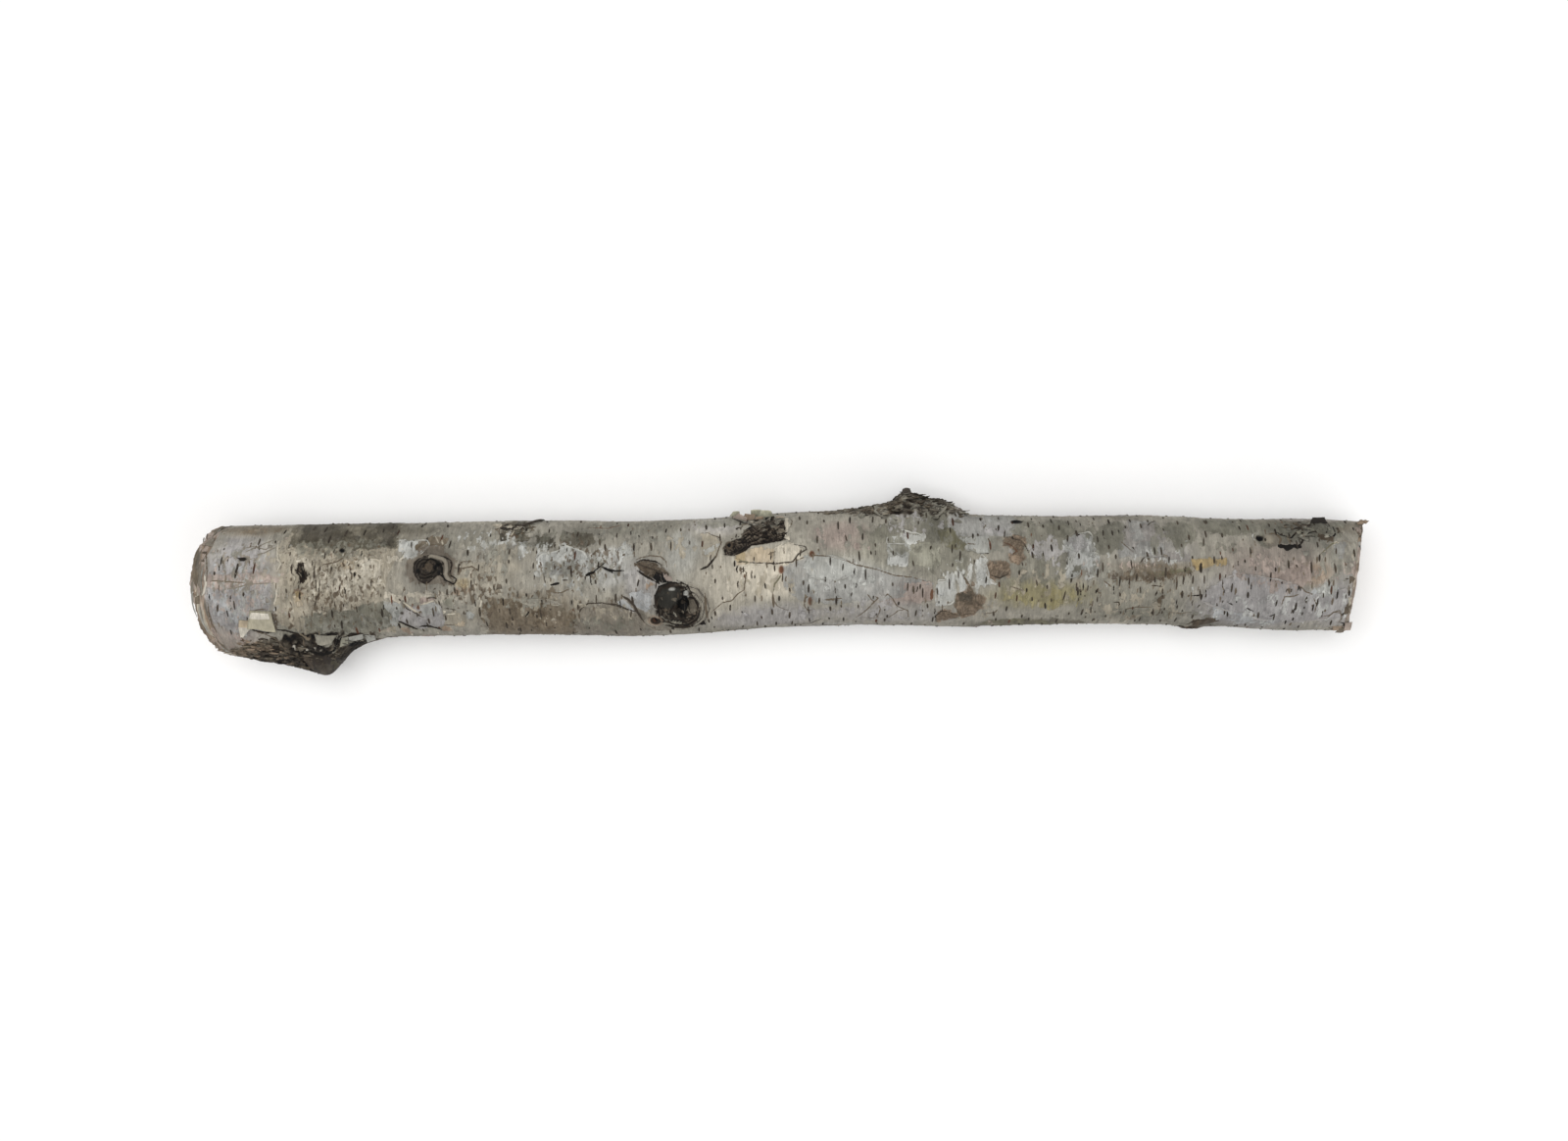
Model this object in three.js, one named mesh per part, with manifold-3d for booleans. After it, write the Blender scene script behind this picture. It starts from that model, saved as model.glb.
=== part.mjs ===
import * as THREE from "three";
import { mergeVertices } from "three/addons/utils/BufferGeometryUtils.js";
import Module from "manifold-3d";

// A cut length of birch branch lying on its side. Millimetres and degrees.
// +X runs along the branch, +Y is the side with the burl, +Z is up.
// The origin is on the ground under the middle of the branch.
// Angles round the trunk start at its top and grow towards +Y; a height is measured out from the bark.

// The trunk's centre line and radius
const TRUNK = [
  { x: -228, y: -2.8, z: 26.6, r: 25.1 },
  { x: -200, y: -1.9, z: 26.0, r: 24.4 },
  { x: -168, y: 0.8, z: 24.6, r: 23.1 },
  { x: -146, y: 1.8, z: 24.0, r: 22.3 },
  { x: -94, y: 2.3, z: 24.1, r: 22.1 },
  { x: -63, y: 2.1, z: 24.2, r: 21.9 },
  { x: -40, y: 3.1, z: 24.5, r: 22.4 },
  { x: -9, y: 5.2, z: 24.6, r: 22.3 },
  { x: 6, y: 5.8, z: 24.6, r: 22.5 },
  { x: 75, y: 5.4, z: 23.8, r: 21.7 },
  { x: 98, y: 5.2, z: 23.6, r: 21.1 },
  { x: 152, y: 5.0, z: 23.2, r: 20.9 },
  { x: 175, y: 4.2, z: 23.2, r: 21.3 },
  { x: 191, y: 3.7, z: 23.4, r: 21.9 },
  { x: 208, y: 3.4, z: 23.6, r: 21.8 },
  { x: 228, y: 2.3, z: 23.6, r: 21.7 },
];

// The two saw cuts: where each crosses the centre line, and how far it leans for each mm in Y and Z
const LEFT_CUT = { x: -221, leanY: -0.06, leanZ: -0.24 };
const RIGHT_CUT = { x: 222.1, leanY: 0.148, leanZ: -0.227 };

// Broken side branch and burl: a height profile along X, fading out round the trunk
const SPUR = {
  angle: -93,
  halfWidth: 15,
  profile: [
    [-220, 0],
    [-209, 2.6],
    [-199, 5.2],
    [-188, 9.4],
    [-182, 12.3],
    [-178.6, 11.6],
    [-172.5, 5],
    [-167, 2.3],
    [-157, 0],
  ],
};
const BURL = {
  angle: 92,
  halfWidth: 13,
  profile: [
    [12, 0],
    [29, 2],
    [38, 3.9],
    [43.5, 7.2],
    [46, 8.4],
    [52, 6.6],
    [60, 5.2],
    [65, 3],
    [71, 0],
  ],
};

// Rounded swellings and pits: half sizes along the branch and round it, and the height
const SWELLINGS = [
  // knot with the tendril
  { x: -136.4, angle: 11, along: 9, around: 9, height: 2 },
  { x: -136.8, angle: 10, along: 3.2, around: 3.2, height: -1.8 },
  // small scar
  { x: -185.3, angle: 12, along: 4, around: 6, height: 1 },
  { x: -185.3, angle: 12, along: 1.8, around: 3, height: -1 },
  // great knot, its hollow and its small eye
  { x: -43, angle: -28, along: 10.5, around: 11, height: 3.2 },
  { x: -45.5, angle: -19, along: 4, around: 4, height: -1.8 },
  { x: -40, angle: -31, along: 3.4, around: 3.8, height: -4 },
  { x: -51.3, angle: -44, along: 4, around: 4, height: 1.4 },
  { x: -51.3, angle: -44, along: 1.8, around: 1.8, height: -2 },
  // knot near the right end
  { x: 196, angle: 44, along: 13, around: 8, height: 1 },
  { x: 207.4, angle: 49, along: 4, around: 4, height: 1 },
  // dark hole beside it
  { x: 180.5, angle: 40, along: 2, around: 2.2, height: -1.4 },
  // scabs
  { x: 82, angle: 12, along: 8, around: 7, height: 0.7 },
  { x: 69, angle: -33, along: 8, around: 6, height: 0.7 },
  // nub on the lower edge
  { x: 157, angle: -88, along: 5, around: 6, height: 1.4 },
  // knots and a hollow on the hidden side
  { x: 112, angle: 138, along: 9, around: 8, height: 2.6 },
  { x: 112, angle: 138, along: 3, around: 3, height: -3 },
  { x: -96, angle: -128, along: 8, around: 7, height: 2 },
  { x: -96, angle: -128, along: 2.8, around: 2.8, height: -2.2 },
  { x: -20, angle: -118, along: 14, around: 8, height: -1.2 },
];

// Low knots that the branch lies on, each trimmed to a small flat at the ground
const FEET = [
  { x: -165, angle: -160 },
  { x: 165, angle: -159 },
  { x: 8, angle: 160 },
];
const FOOT_HALF_SIZE = 8;
const FOOT_TRIM = 0.6;

// Ridges of torn and rolled bark, from one place to another
const RIDGES = [
  // rolled bark above the great knot
  { from: [-58, 13], to: [-47, -1], halfWidth: 2.6, height: 1.8 },
  // torn scar under the curls
  { from: [-24, 22], to: [-13, 37], halfWidth: 3.2, height: 1.3 },
  { from: [-13, 41], to: [-2, 49], halfWidth: 5, height: 1.7 },
  // the same kind of scar on the hidden side
  { from: [58, -142], to: [78, -125], halfWidth: 3.6, height: 1.5 },
];

// Slow waves of the whole surface: height, mm along for each radian, turns round, phase
const WAVES = [
  [0.32, 31, 2, 0.7],
  [0.24, 17, -1, 2.1],
  [0.2, 52, 3, 0.2],
  [0.16, 11, 4, 1.4],
];

// Strips of bark torn loose: where the root is, which way the strip runs, its size and how far it curls
const BLADE = 0.8;
const CURLS = [
  // paper beside the left end
  { x: -202, angle: -27, heading: -75, length: 11, width: 17, bend: 95 },
  { x: -208, angle: -41, heading: -115, length: 6, width: 6, bend: 60 },
  // scales on the broken side branch
  { x: -178, angle: -58, heading: -60, length: 6, width: 9, bend: 50 },
  { x: -168, angle: -63, heading: -30, length: 6, width: 7, bend: 50 },
  // curls above the torn scar
  { x: -21, angle: 60, heading: 105, length: 9, width: 8, bend: 45 },
  { x: -13, angle: 54, heading: 80, length: 10, width: 9, bend: 60 },
  { x: -4, angle: 56, heading: 75, length: 8, width: 9, bend: 45 },
  // scales on the burl
  { x: 38, angle: 68, heading: 160, length: 7, width: 8, bend: 45 },
  { x: 55, angle: 66, heading: 30, length: 8, width: 7, bend: 40 },
  { x: 46, angle: 108, heading: 95, length: 8, width: 9, bend: 50 },
  // flake and flap by the right end
  { x: 205, angle: 54, heading: 85, length: 6, width: 7, bend: 45 },
  { x: 213, angle: -67, heading: -95, length: 8, width: 8, bend: 38 },
  // strips on the hidden side
  { x: 118, angle: 150, heading: 200, length: 12, width: 12, bend: 45 },
  { x: -70, angle: -150, heading: 20, length: 12, width: 10, bend: 60 },
  { x: -120, angle: 118, heading: 100, length: 10, width: 13, bend: 85 },
];
const CURL_SINK = 1.4;
const TIP_TAPER = 0.35;
const CURL_STEPS = 5;
const CURL_ROW_REACH = [0.78, 1, 0.88];

// Dried tendril that hooks round the first knot: places on the bark and height above it
const TENDRIL = {
  thickness: 2.3,
  sides: 6,
  steps: 14,
  route: [
    [-141, 19, 0],
    [-136.6, 23, 1.8],
    [-132.6, 20.5, 2.2],
    [-130.2, 15, 2.2],
    [-130.4, 7, 1.9],
    [-129.6, 1.5, 1.4],
    [-126.6, -2, 0.4],
  ],
};
// Splinter left at the top of the right-hand cut
const SPLINTER = { x: 217, angle: 58, heading: 18, rise: 16, length: 10, thickness: 2.6, sides: 5 };

// How finely the trunk is divided, and how closely a ring is brought to its leaning plane
const LEAN_PASSES = 4;
const SIDES = 42;
const FINE_STEP = 3.2;
const PLAIN_STEP = 7;
const BUSY_STRETCHES = [
  [-218, -156],
  [-148, -124],
  [-64, 6],
  [26, 74],
  [150, 172],
  [178, 214],
];
const GROUND = { length: 600, width: 200, depth: 20 };

const BARK = new THREE.MeshStandardMaterial({ color: 0xaaa596, roughness: 0.85, metalness: 0 });
const DEG = Math.PI / 180;
const WELD = 1e-3;

// A value that runs smoothly through rows of a table
function along(rows, x, column) {
  const last = rows.length - 1;
  let i = 0;
  while (i < last - 1 && rows[i + 1].x < x) i++;
  const slope = (k) => {
    const a = rows[Math.max(k - 1, 0)];
    const b = rows[Math.min(k + 1, last)];
    return (b[column] - a[column]) / (b.x - a.x);
  };
  const span = rows[i + 1].x - rows[i].x;
  const t = THREE.MathUtils.clamp((x - rows[i].x) / span, 0, 1);
  const rise = t * t * (3 - 2 * t);
  return (
    rows[i][column] * (1 - rise) +
    rows[i + 1][column] * rise +
    span * slope(i) * t * (1 - t) ** 2 -
    span * slope(i + 1) * t * t * (1 - t)
  );
}

// The shortest way round from one angle to another, in degrees
function turnBetween(a, b) {
  return THREE.MathUtils.euclideanModulo(a - b + 180, 360) - 180;
}

function bell(distance) {
  return Math.exp(-distance * distance);
}

// Height of a stub or burl whose profile runs along the branch
function stubHeight({ angle, halfWidth, profile }, x, a, r) {
  const rows = profile.map(([px, height]) => ({ x: px, height }));
  if (x <= rows[0].x || x >= rows[rows.length - 1].x) return 0;
  const away = turnBetween(a, angle) * DEG * r;
  return Math.max(0, along(rows, x, "height")) * bell(away / halfWidth);
}

function swellingHeight(s, x, a, r) {
  return s.height * bell(Math.hypot((x - s.x) / s.along, (turnBetween(a, s.angle) * DEG * r) / s.around));
}

function ridgeHeight({ from, to, halfWidth, height }, x, a, r) {
  const run = new THREE.Vector2(to[0] - from[0], turnBetween(to[1], from[1]) * DEG * r);
  const here = new THREE.Vector2(x - from[0], turnBetween(a, from[1]) * DEG * r);
  const t = THREE.MathUtils.clamp(here.dot(run) / run.lengthSq(), 0, 1);
  return height * bell(here.distanceTo(run.multiplyScalar(t)) / halfWidth);
}

// Height that takes a low knot just below the ground, so that the trim leaves a flat
function footHeight(foot, x, a, r) {
  const drop = -Math.cos(foot.angle * DEG);
  const bare = along(TRUNK, foot.x, "r") + waveHeight(foot.x, foot.angle);
  const height = (along(TRUNK, foot.x, "z") + FOOT_TRIM) / drop - bare;
  const knot = { ...foot, along: FOOT_HALF_SIZE, around: FOOT_HALF_SIZE, height };
  return swellingHeight(knot, x, a, r);
}

function waveHeight(x, a) {
  const wave = ([height, reach, turns, phase]) => height * Math.sin(x / reach + turns * a * DEG + phase);
  return WAVES.reduce((sum, w) => sum + wave(w), 0);
}

// A point out from the centre line, raised above the bark by a given height
function place(x, a, raised = 0) {
  const r = along(TRUNK, x, "r");
  const sum = (list, height) => list.reduce((total, item) => total + height(item, x, a, r), 0);
  const reach =
    r +
    waveHeight(x, a) +
    sum([SPUR, BURL], stubHeight) +
    sum(SWELLINGS, swellingHeight) +
    sum(RIDGES, ridgeHeight) +
    sum(FEET, footHeight) +
    raised;
  return new THREE.Vector3(
    x,
    along(TRUNK, x, "y") + reach * Math.sin(a * DEG),
    along(TRUNK, x, "z") + reach * Math.cos(a * DEG),
  );
}

// How far the leaning cut stands from its own centre at a point
function lean(cut, p) {
  const y = p.y - along(TRUNK, cut.x, "y");
  const z = p.z - along(TRUNK, cut.x, "z");
  return cut.leanY * y + cut.leanZ * z;
}

// Where the rings of the trunk cross its centre line
function ringPlaces() {
  const places = [LEFT_CUT.x];
  const busy = (x) => BUSY_STRETCHES.some(([a, b]) => x >= a && x < b);
  const end = RIGHT_CUT.x - FINE_STEP / 2;
  for (let x = LEFT_CUT.x; x < end; x += busy(x) ? FINE_STEP : PLAIN_STEP) {
    if (x > LEFT_CUT.x) places.push(x);
  }
  places.push(RIGHT_CUT.x);
  return places;
}

// One ring, leaning part way between the two cuts
function ring(x0) {
  const share = (x0 - LEFT_CUT.x) / (RIGHT_CUT.x - LEFT_CUT.x);
  return Array.from({ length: SIDES }, (_, i) => {
    const a = (360 * i) / SIDES;
    let p = place(x0, a);
    for (let pass = 0; pass < LEAN_PASSES; pass++) {
      p = place(x0 + (1 - share) * lean(LEFT_CUT, p) + share * lean(RIGHT_CUT, p), a);
    }
    return p;
  });
}

function geometryOf(points, faces) {
  const geometry = new THREE.BufferGeometry().setFromPoints(points);
  return geometry.setIndex(faces.flat());
}

function trunkGeometry() {
  const rings = ringPlaces().map(ring);
  const points = rings.flat();
  const faces = [];
  for (let k = 0; k + 1 < rings.length; k++) {
    for (let i = 0; i < SIDES; i++) {
      const [a, b] = [k * SIDES + i, k * SIDES + ((i + 1) % SIDES)];
      faces.push([a, a + SIDES, b], [b, a + SIDES, b + SIDES]);
    }
  }
  [LEFT_CUT, RIGHT_CUT].forEach((cut, side) => {
    const first = side * (rings.length - 1) * SIDES;
    const middle = points.length;
    points.push(new THREE.Vector3(cut.x, along(TRUNK, cut.x, "y"), along(TRUNK, cut.x, "z")));
    for (let i = 0; i < SIDES; i++) {
      const [a, b] = [first + i, first + ((i + 1) % SIDES)];
      faces.push(side ? [middle, b, a] : [middle, a, b]);
    }
  });
  return geometryOf(points, faces);
}

// The bark's own directions at a place: along the branch, round it and out from it
function directions(a, heading) {
  const out = new THREE.Vector3(0, Math.sin(a * DEG), Math.cos(a * DEG));
  const round = new THREE.Vector3(0, Math.cos(a * DEG), -Math.sin(a * DEG));
  const run = new THREE.Vector3(1, 0, 0).multiplyScalar(Math.cos(heading * DEG));
  run.addScaledVector(round, Math.sin(heading * DEG));
  return { out, run, across: new THREE.Vector3().crossVectors(out, run) };
}

// A thin blade that leaves the bark along an arc, with its root sunk in
function curlGeometry({ x, angle, heading, length, width, bend }) {
  const { out, run, across } = directions(angle, heading);
  const root = place(x, angle, -CURL_SINK);
  const radius = length / (bend * DEG);
  const lastRow = CURL_ROW_REACH.length - 1;
  const points = [];
  for (const face of [0, 1]) {
    for (let i = 0; i <= CURL_STEPS; i++) {
      const share = i / CURL_STEPS;
      const reach = radius - face * BLADE;
      const half = (width / 2) * (1 - TIP_TAPER * share ** 2);
      CURL_ROW_REACH.forEach((rowReach, j) => {
        const turned = bend * DEG * share * rowReach;
        const p = root.clone().addScaledVector(run, reach * Math.sin(turned));
        p.addScaledVector(out, radius - reach * Math.cos(turned));
        points.push(p.addScaledVector(across, half * ((2 * j) / lastRow - 1)));
      });
    }
  }
  return geometryOf(points, bladeFaces(CURL_STEPS, lastRow));
}

// Both faces of a grid of points and the rim between them
function bladeFaces(steps, rows) {
  const at = (face, i, j) => (face * (steps + 1) + i) * (rows + 1) + j;
  const faces = [];
  const quad = (a, b, c, d) => faces.push([a, b, c], [a, c, d]);
  for (let i = 0; i < steps; i++) {
    for (let j = 0; j < rows; j++) {
      quad(at(0, i, j), at(0, i, j + 1), at(0, i + 1, j + 1), at(0, i + 1, j));
      quad(at(1, i, j), at(1, i + 1, j), at(1, i + 1, j + 1), at(1, i, j + 1));
    }
    quad(at(0, i, 0), at(0, i + 1, 0), at(1, i + 1, 0), at(1, i, 0));
    quad(at(0, i, rows), at(1, i, rows), at(1, i + 1, rows), at(0, i + 1, rows));
  }
  for (let j = 0; j < rows; j++) {
    quad(at(0, 0, j), at(1, 0, j), at(1, 0, j + 1), at(0, 0, j + 1));
    quad(at(0, steps, j), at(0, steps, j + 1), at(1, steps, j + 1), at(1, steps, j));
  }
  return faces;
}

function tendrilGeometry() {
  const curve = new THREE.CatmullRomCurve3(TENDRIL.route.map(([x, a, raised]) => place(x, a, raised)));
  const half = TENDRIL.thickness / 2;
  const section = new THREE.Shape(new THREE.EllipseCurve(0, 0, half, half).getPoints(TENDRIL.sides));
  return new THREE.ExtrudeGeometry(section, { steps: TENDRIL.steps, extrudePath: curve });
}

function splinterGeometry() {
  const { x, angle, heading, rise, length, thickness, sides } = SPLINTER;
  const { out, run } = directions(angle, heading);
  const way = run.multiplyScalar(Math.cos(rise * DEG)).addScaledVector(out, Math.sin(rise * DEG));
  const geometry = new THREE.ConeGeometry(thickness / 2, length, sides).translate(0, length / 2, 0);
  geometry.applyQuaternion(new THREE.Quaternion().setFromUnitVectors(new THREE.Vector3(0, 1, 0), way));
  const root = place(x, angle, -thickness / 2);
  return geometry.translate(root.x, root.y, root.z);
}

const wasm = await Module();
wasm.setup();

function solid(geometry) {
  const bare = geometry.clone();
  bare.deleteAttribute("normal");
  bare.deleteAttribute("uv");
  const merged = mergeVertices(bare, WELD);
  return new wasm.Manifold(
    new wasm.Mesh({
      numProp: 3,
      vertProperties: merged.attributes.position.array,
      triVerts: new Uint32Array(merged.index.array),
    }),
  );
}

function geometryFrom(manifold) {
  const { vertProperties, triVerts } = manifold.getMesh();
  const geometry = new THREE.BufferGeometry();
  geometry.setAttribute("position", new THREE.BufferAttribute(vertProperties, 3));
  geometry.setIndex(new THREE.BufferAttribute(triVerts, 1));
  geometry.computeVertexNormals();
  return geometry;
}

function ground() {
  return new THREE.BoxGeometry(GROUND.length, GROUND.width, GROUND.depth).translate(0, 0, -GROUND.depth / 2);
}

function branch() {
  const pieces = [...CURLS.map(curlGeometry), tendrilGeometry(), splinterGeometry()];
  const grown = pieces.reduce((whole, piece) => whole.add(solid(piece)), solid(trunkGeometry()));
  const mesh = new THREE.Mesh(geometryFrom(grown.subtract(solid(ground()))), BARK);
  mesh.name = "birch_branch";
  return mesh;
}

const group = new THREE.Group();
group.add(branch());
export default group;
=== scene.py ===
import itertools
import math

import bpy
import numpy as np
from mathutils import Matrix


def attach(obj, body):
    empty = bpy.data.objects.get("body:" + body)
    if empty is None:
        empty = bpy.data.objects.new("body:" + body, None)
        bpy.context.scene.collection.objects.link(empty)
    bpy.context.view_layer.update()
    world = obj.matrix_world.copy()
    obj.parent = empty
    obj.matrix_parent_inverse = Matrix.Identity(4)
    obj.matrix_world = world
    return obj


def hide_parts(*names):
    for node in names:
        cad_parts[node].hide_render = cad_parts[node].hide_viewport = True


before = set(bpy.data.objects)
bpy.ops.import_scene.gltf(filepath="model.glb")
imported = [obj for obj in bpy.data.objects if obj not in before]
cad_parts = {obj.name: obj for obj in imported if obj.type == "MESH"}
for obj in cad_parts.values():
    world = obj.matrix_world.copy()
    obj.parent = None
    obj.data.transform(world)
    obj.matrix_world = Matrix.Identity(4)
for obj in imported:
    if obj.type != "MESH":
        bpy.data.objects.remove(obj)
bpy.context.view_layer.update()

# A cut length of birch branch lying on its side. Tables hold millimetres and degrees.
# +X runs along the branch, +Y is the side with the burl, +Z is up.
# Angles round the trunk start at its top and grow towards +Y; a height is measured out from the bark.
# Half sizes round the branch are in degrees where a table says so, and else in mm.
MM = 0.001
DEG = math.pi / 180
NODE = "birch_branch"
BODY = "root"
MEAN_RADIUS = 22
GREATEST_RADIUS = 25
MM_PER_DEGREE = MEAN_RADIUS * DEG

# The trunk's centre line and radius: x, y, z, r
TRUNK = np.array([
    (-228, -2.8, 26.6, 25.1), (-200, -1.9, 26.0, 24.4), (-168, 0.8, 24.6, 23.1), (-146, 1.8, 24.0, 22.3),
    (-94, 2.3, 24.1, 22.1), (-63, 2.1, 24.2, 21.9), (-40, 3.1, 24.5, 22.4), (-9, 5.2, 24.6, 22.3),
    (6, 5.8, 24.6, 22.5), (75, 5.4, 23.8, 21.7), (98, 5.2, 23.6, 21.1), (152, 5.0, 23.2, 20.9),
    (175, 4.2, 23.2, 21.3), (191, 3.7, 23.4, 21.9), (208, 3.4, 23.6, 21.8), (228, 2.3, 23.6, 21.7),
])
Y, Z, R = 1, 2, 3

# The two saw cuts: where each crosses the centre line, and how far it leans for each mm in Y and Z
LEFT_CUT = (-219.7, -0.06, -0.24)
RIGHT_CUT = (221.4, 0.148, -0.227)

# How many rounds it takes to find the places beside a leaning cut
LEAN_ROUNDS = 4

# The bark frayed by the saw, in mm at the left and the right cut, and how far in along the branch it fades
LEFT_FRAY = 1.2
RIGHT_FRAY = 0.45
FRAY_REACH = 4

# Inner bark laid bare beside the cuts: cut, direction in from it along X, width and its change in mm
BARE_RIMS = ((LEFT_CUT, 1, 4.8, 1.3), (RIGHT_CUT, -1, 1.3, 0.6))

# Broken side branch and burl: angle, half width round the trunk, and a height profile along X
STUBS = [
    (-93, 15, np.array([
        (-220, 0), (-209, 2.6), (-199, 5.2), (-188, 9.4), (-182, 12.3), (-178.6, 11.6), (-172.5, 5),
        (-167, 2.3), (-157, 0),
    ])),
    (92, 13, np.array([
        (12, 0), (29, 2), (38, 3.9), (43.5, 7.2), (46, 8.4), (52, 6.6), (60, 5.2), (65, 3), (71, 0),
    ])),
]

# Rounded swellings and pits: x, angle, half size along and round the branch, height
SWELLINGS = [
    (-136.4, 11, 9, 9, 2), (-136.8, 10, 3.2, 3.2, -1.8), (-185.3, 12, 4, 6, 1), (-185.3, 12, 1.8, 3, -1),
    (-43, -28, 10.5, 11, 3.2), (-45.5, -19, 4, 4, -1.8), (-40, -31, 3.4, 3.8, -4), (-51.3, -44, 4, 4, 1.4),
    (-51.3, -44, 1.8, 1.8, -2), (196, 44, 13, 8, 1), (207.4, 49, 4, 4, 1), (180.5, 40, 2, 2.2, -1.4),
    (82, 12, 8, 7, 0.7), (69, -33, 8, 6, 0.7), (157, -88, 5, 6, 1.4), (112, 138, 9, 8, 2.6),
    (112, 138, 3, 3, -3), (-96, -128, 8, 7, 2), (-96, -128, 2.8, 2.8, -2.2), (-20, -118, 14, 8, -1.2),
]

# Low knots that the branch lies on, each trimmed to a small flat at the ground: x, angle
FEET = [(-165, -160), (165, -159), (8, 160)]
FOOT_HALF_SIZE = 8
FOOT_TRIM = 0.6

# Ridges of torn and rolled bark: from x, angle, to x, angle, half width, height
RIDGES = [
    (-58, 13, -47, -1, 2.6, 1.8), (-24, 22, -13, 37, 3.2, 1.3), (-13, 41, -2, 49, 5, 1.7),
    (58, -142, 78, -125, 3.6, 1.5),
]

# Slow waves of the whole surface: height, mm along for each radian, turns round, phase
WAVES = [(0.32, 31, 2, 0.7), (0.24, 17, -1, 2.1), (0.2, 52, 3, 0.2), (0.16, 11, 4, 1.4)]

# Colours of the bark and the wood, as 8-bit screen values
INK = {
    "skin": (141, 136, 124),
    "lavender": (147, 143, 139),
    "blue_white": (164, 164, 161),
    "white": (171, 170, 163),
    "cream": (172, 164, 148),
    "beige": (145, 137, 121),
    "grey": (128, 125, 114),
    "slate": (135, 133, 127),
    "mist": (149, 148, 141),
    "sage": (135, 132, 118),
    "olive": (112, 109, 97),
    "khaki": (104, 100, 82),
    "dark_olive": (94, 89, 77),
    "algae": (82, 77, 67),
    "moss": (131, 123, 92),
    "tan": (142, 125, 107),
    "honey": (163, 149, 127),
    "golden": (150, 133, 100),
    "pink": (147, 134, 124),
    "purple": (130, 125, 119),
    "taupe": (121, 114, 102),
    "brown": (107, 97, 82),
    "umber": (92, 82, 69),
    "rust": (96, 71, 55),
    "stub": (68, 62, 55),
    "disc": (60, 58, 52),
    "knot": (58, 51, 43),
    "deep": (32, 27, 22),
    "soot": (19, 17, 14),
    "ridge": (104, 97, 85),
    "ash": (132, 128, 116),
    "hood": (118, 108, 95),
    "parchment": (154, 148, 129),
    "bone": (190, 184, 171),
    "chalk": (180, 173, 157),
    "rosy": (161, 147, 136),
    "lichen": (172, 170, 150),
    "amber": (160, 141, 104),
    "bark_brown": (128, 112, 95),
    "wood": (172, 148, 116),
    "late_wood": (140, 112, 82),
    "wood_stain": (128, 104, 80),
    "pale_wood": (186, 170, 146),
    "check": (64, 49, 38),
    "pith": (88, 64, 46),
    "inner_bark": (112, 80, 58),
    "bark_crumb": (74, 54, 42),
    "bark_line": (60, 44, 34),
    "pore": (76, 68, 58),
    "red_pore": (94, 66, 52),
}

# Soft stains of the skin: colour, x, angle, half size along in mm, half size round in degrees, strength
WASHES = [
    ("lavender", -209, 5, 14, 62, 1), ("brown", -206, 68, 14, 14, 0.7), ("pink", -214, -52, 12, 20, 0.5),
    ("beige", -174, 0, 24, 52, 0.75), ("olive", -172, -38, 22, 15, 0.9),
    ("dark_olive", -166, 62, 34, 22, 0.7), ("beige", -118, 18, 16, 36, 0.6), ("grey", -125, 40, 14, 20, 0.5),
    ("brown", -98, -44, 20, 30, 0.85), ("blue_white", -68, 12, 11, 22, 0.5),
    ("beige", -70, -48, 14, 26, 0.7), ("lavender", -55, -8, 9, 26, 0.7), ("olive", -60, 62, 26, 14, 0.5),
    ("mist", -41, 25, 7, 27, 0.6), ("cream", -24, -18, 14, 40, 0.5), ("lavender", -28, 56, 12, 18, 0.6),
    ("cream", -5, -4, 17, 28, 0.9), ("lavender", -8, -55, 22, 20, 0.8),
    ("blue_white", 24, -14, 19, 24, 0.65), ("pink", 20, 36, 11, 18, 0.8), ("olive", 36, 20, 12, 26, 0.6),
    ("olive", 58, 24, 16, 34, 0.75), ("pink", 42, -25, 12, 14, 0.9), ("lavender", 38, -52, 26, 18, 0.6),
    ("lavender", 76, 52, 14, 15, 0.8), ("olive", 92, -10, 12, 34, 0.5), ("moss", 97, -25, 20, 15, 0.75),
    ("olive", 102, 30, 16, 36, 0.6), ("dark_olive", 95, -76, 24, 15, 0.8), ("olive", 132, -46, 26, 36, 0.45),
    ("purple", 134, 48, 9, 24, 0.7), ("lavender", 140, 22, 15, 16, 0.5), ("brown", 140, 1, 16, 9, 0.6),
    ("lavender", 178, -40, 24, 42, 0.9), ("pink", 184, 10, 20, 24, 0.55), ("olive", 186, 62, 38, 16, 0.7),
    ("lavender", 212, -35, 12, 36, 0.8), ("tan", 199, 1, 8, 12, 0.75), ("brown", 205, 64, 22, 18, 0.4),
]

# Layers with torn edges: colour, x, angle, half size along in mm, half size round in degrees, lift in mm
PATCHES = [
    ("blue_white", -56, -26, 3.8, 14, 0.15), ("grey", -24, 60, 9, 9, 0), ("brown", 133, -60, 3, 4, 0.1),
    ("pink", 190, -6, 9, 8, 0), ("blue_white", 176, -46, 13, 18, 0.12),
    ("blue_white", 204, -30, 7, 15, 0.12), ("lavender", -208, -10, 12, 30, 0.08),
    ("beige", -66, -38, 12, 10, 0.1),
]

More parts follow.
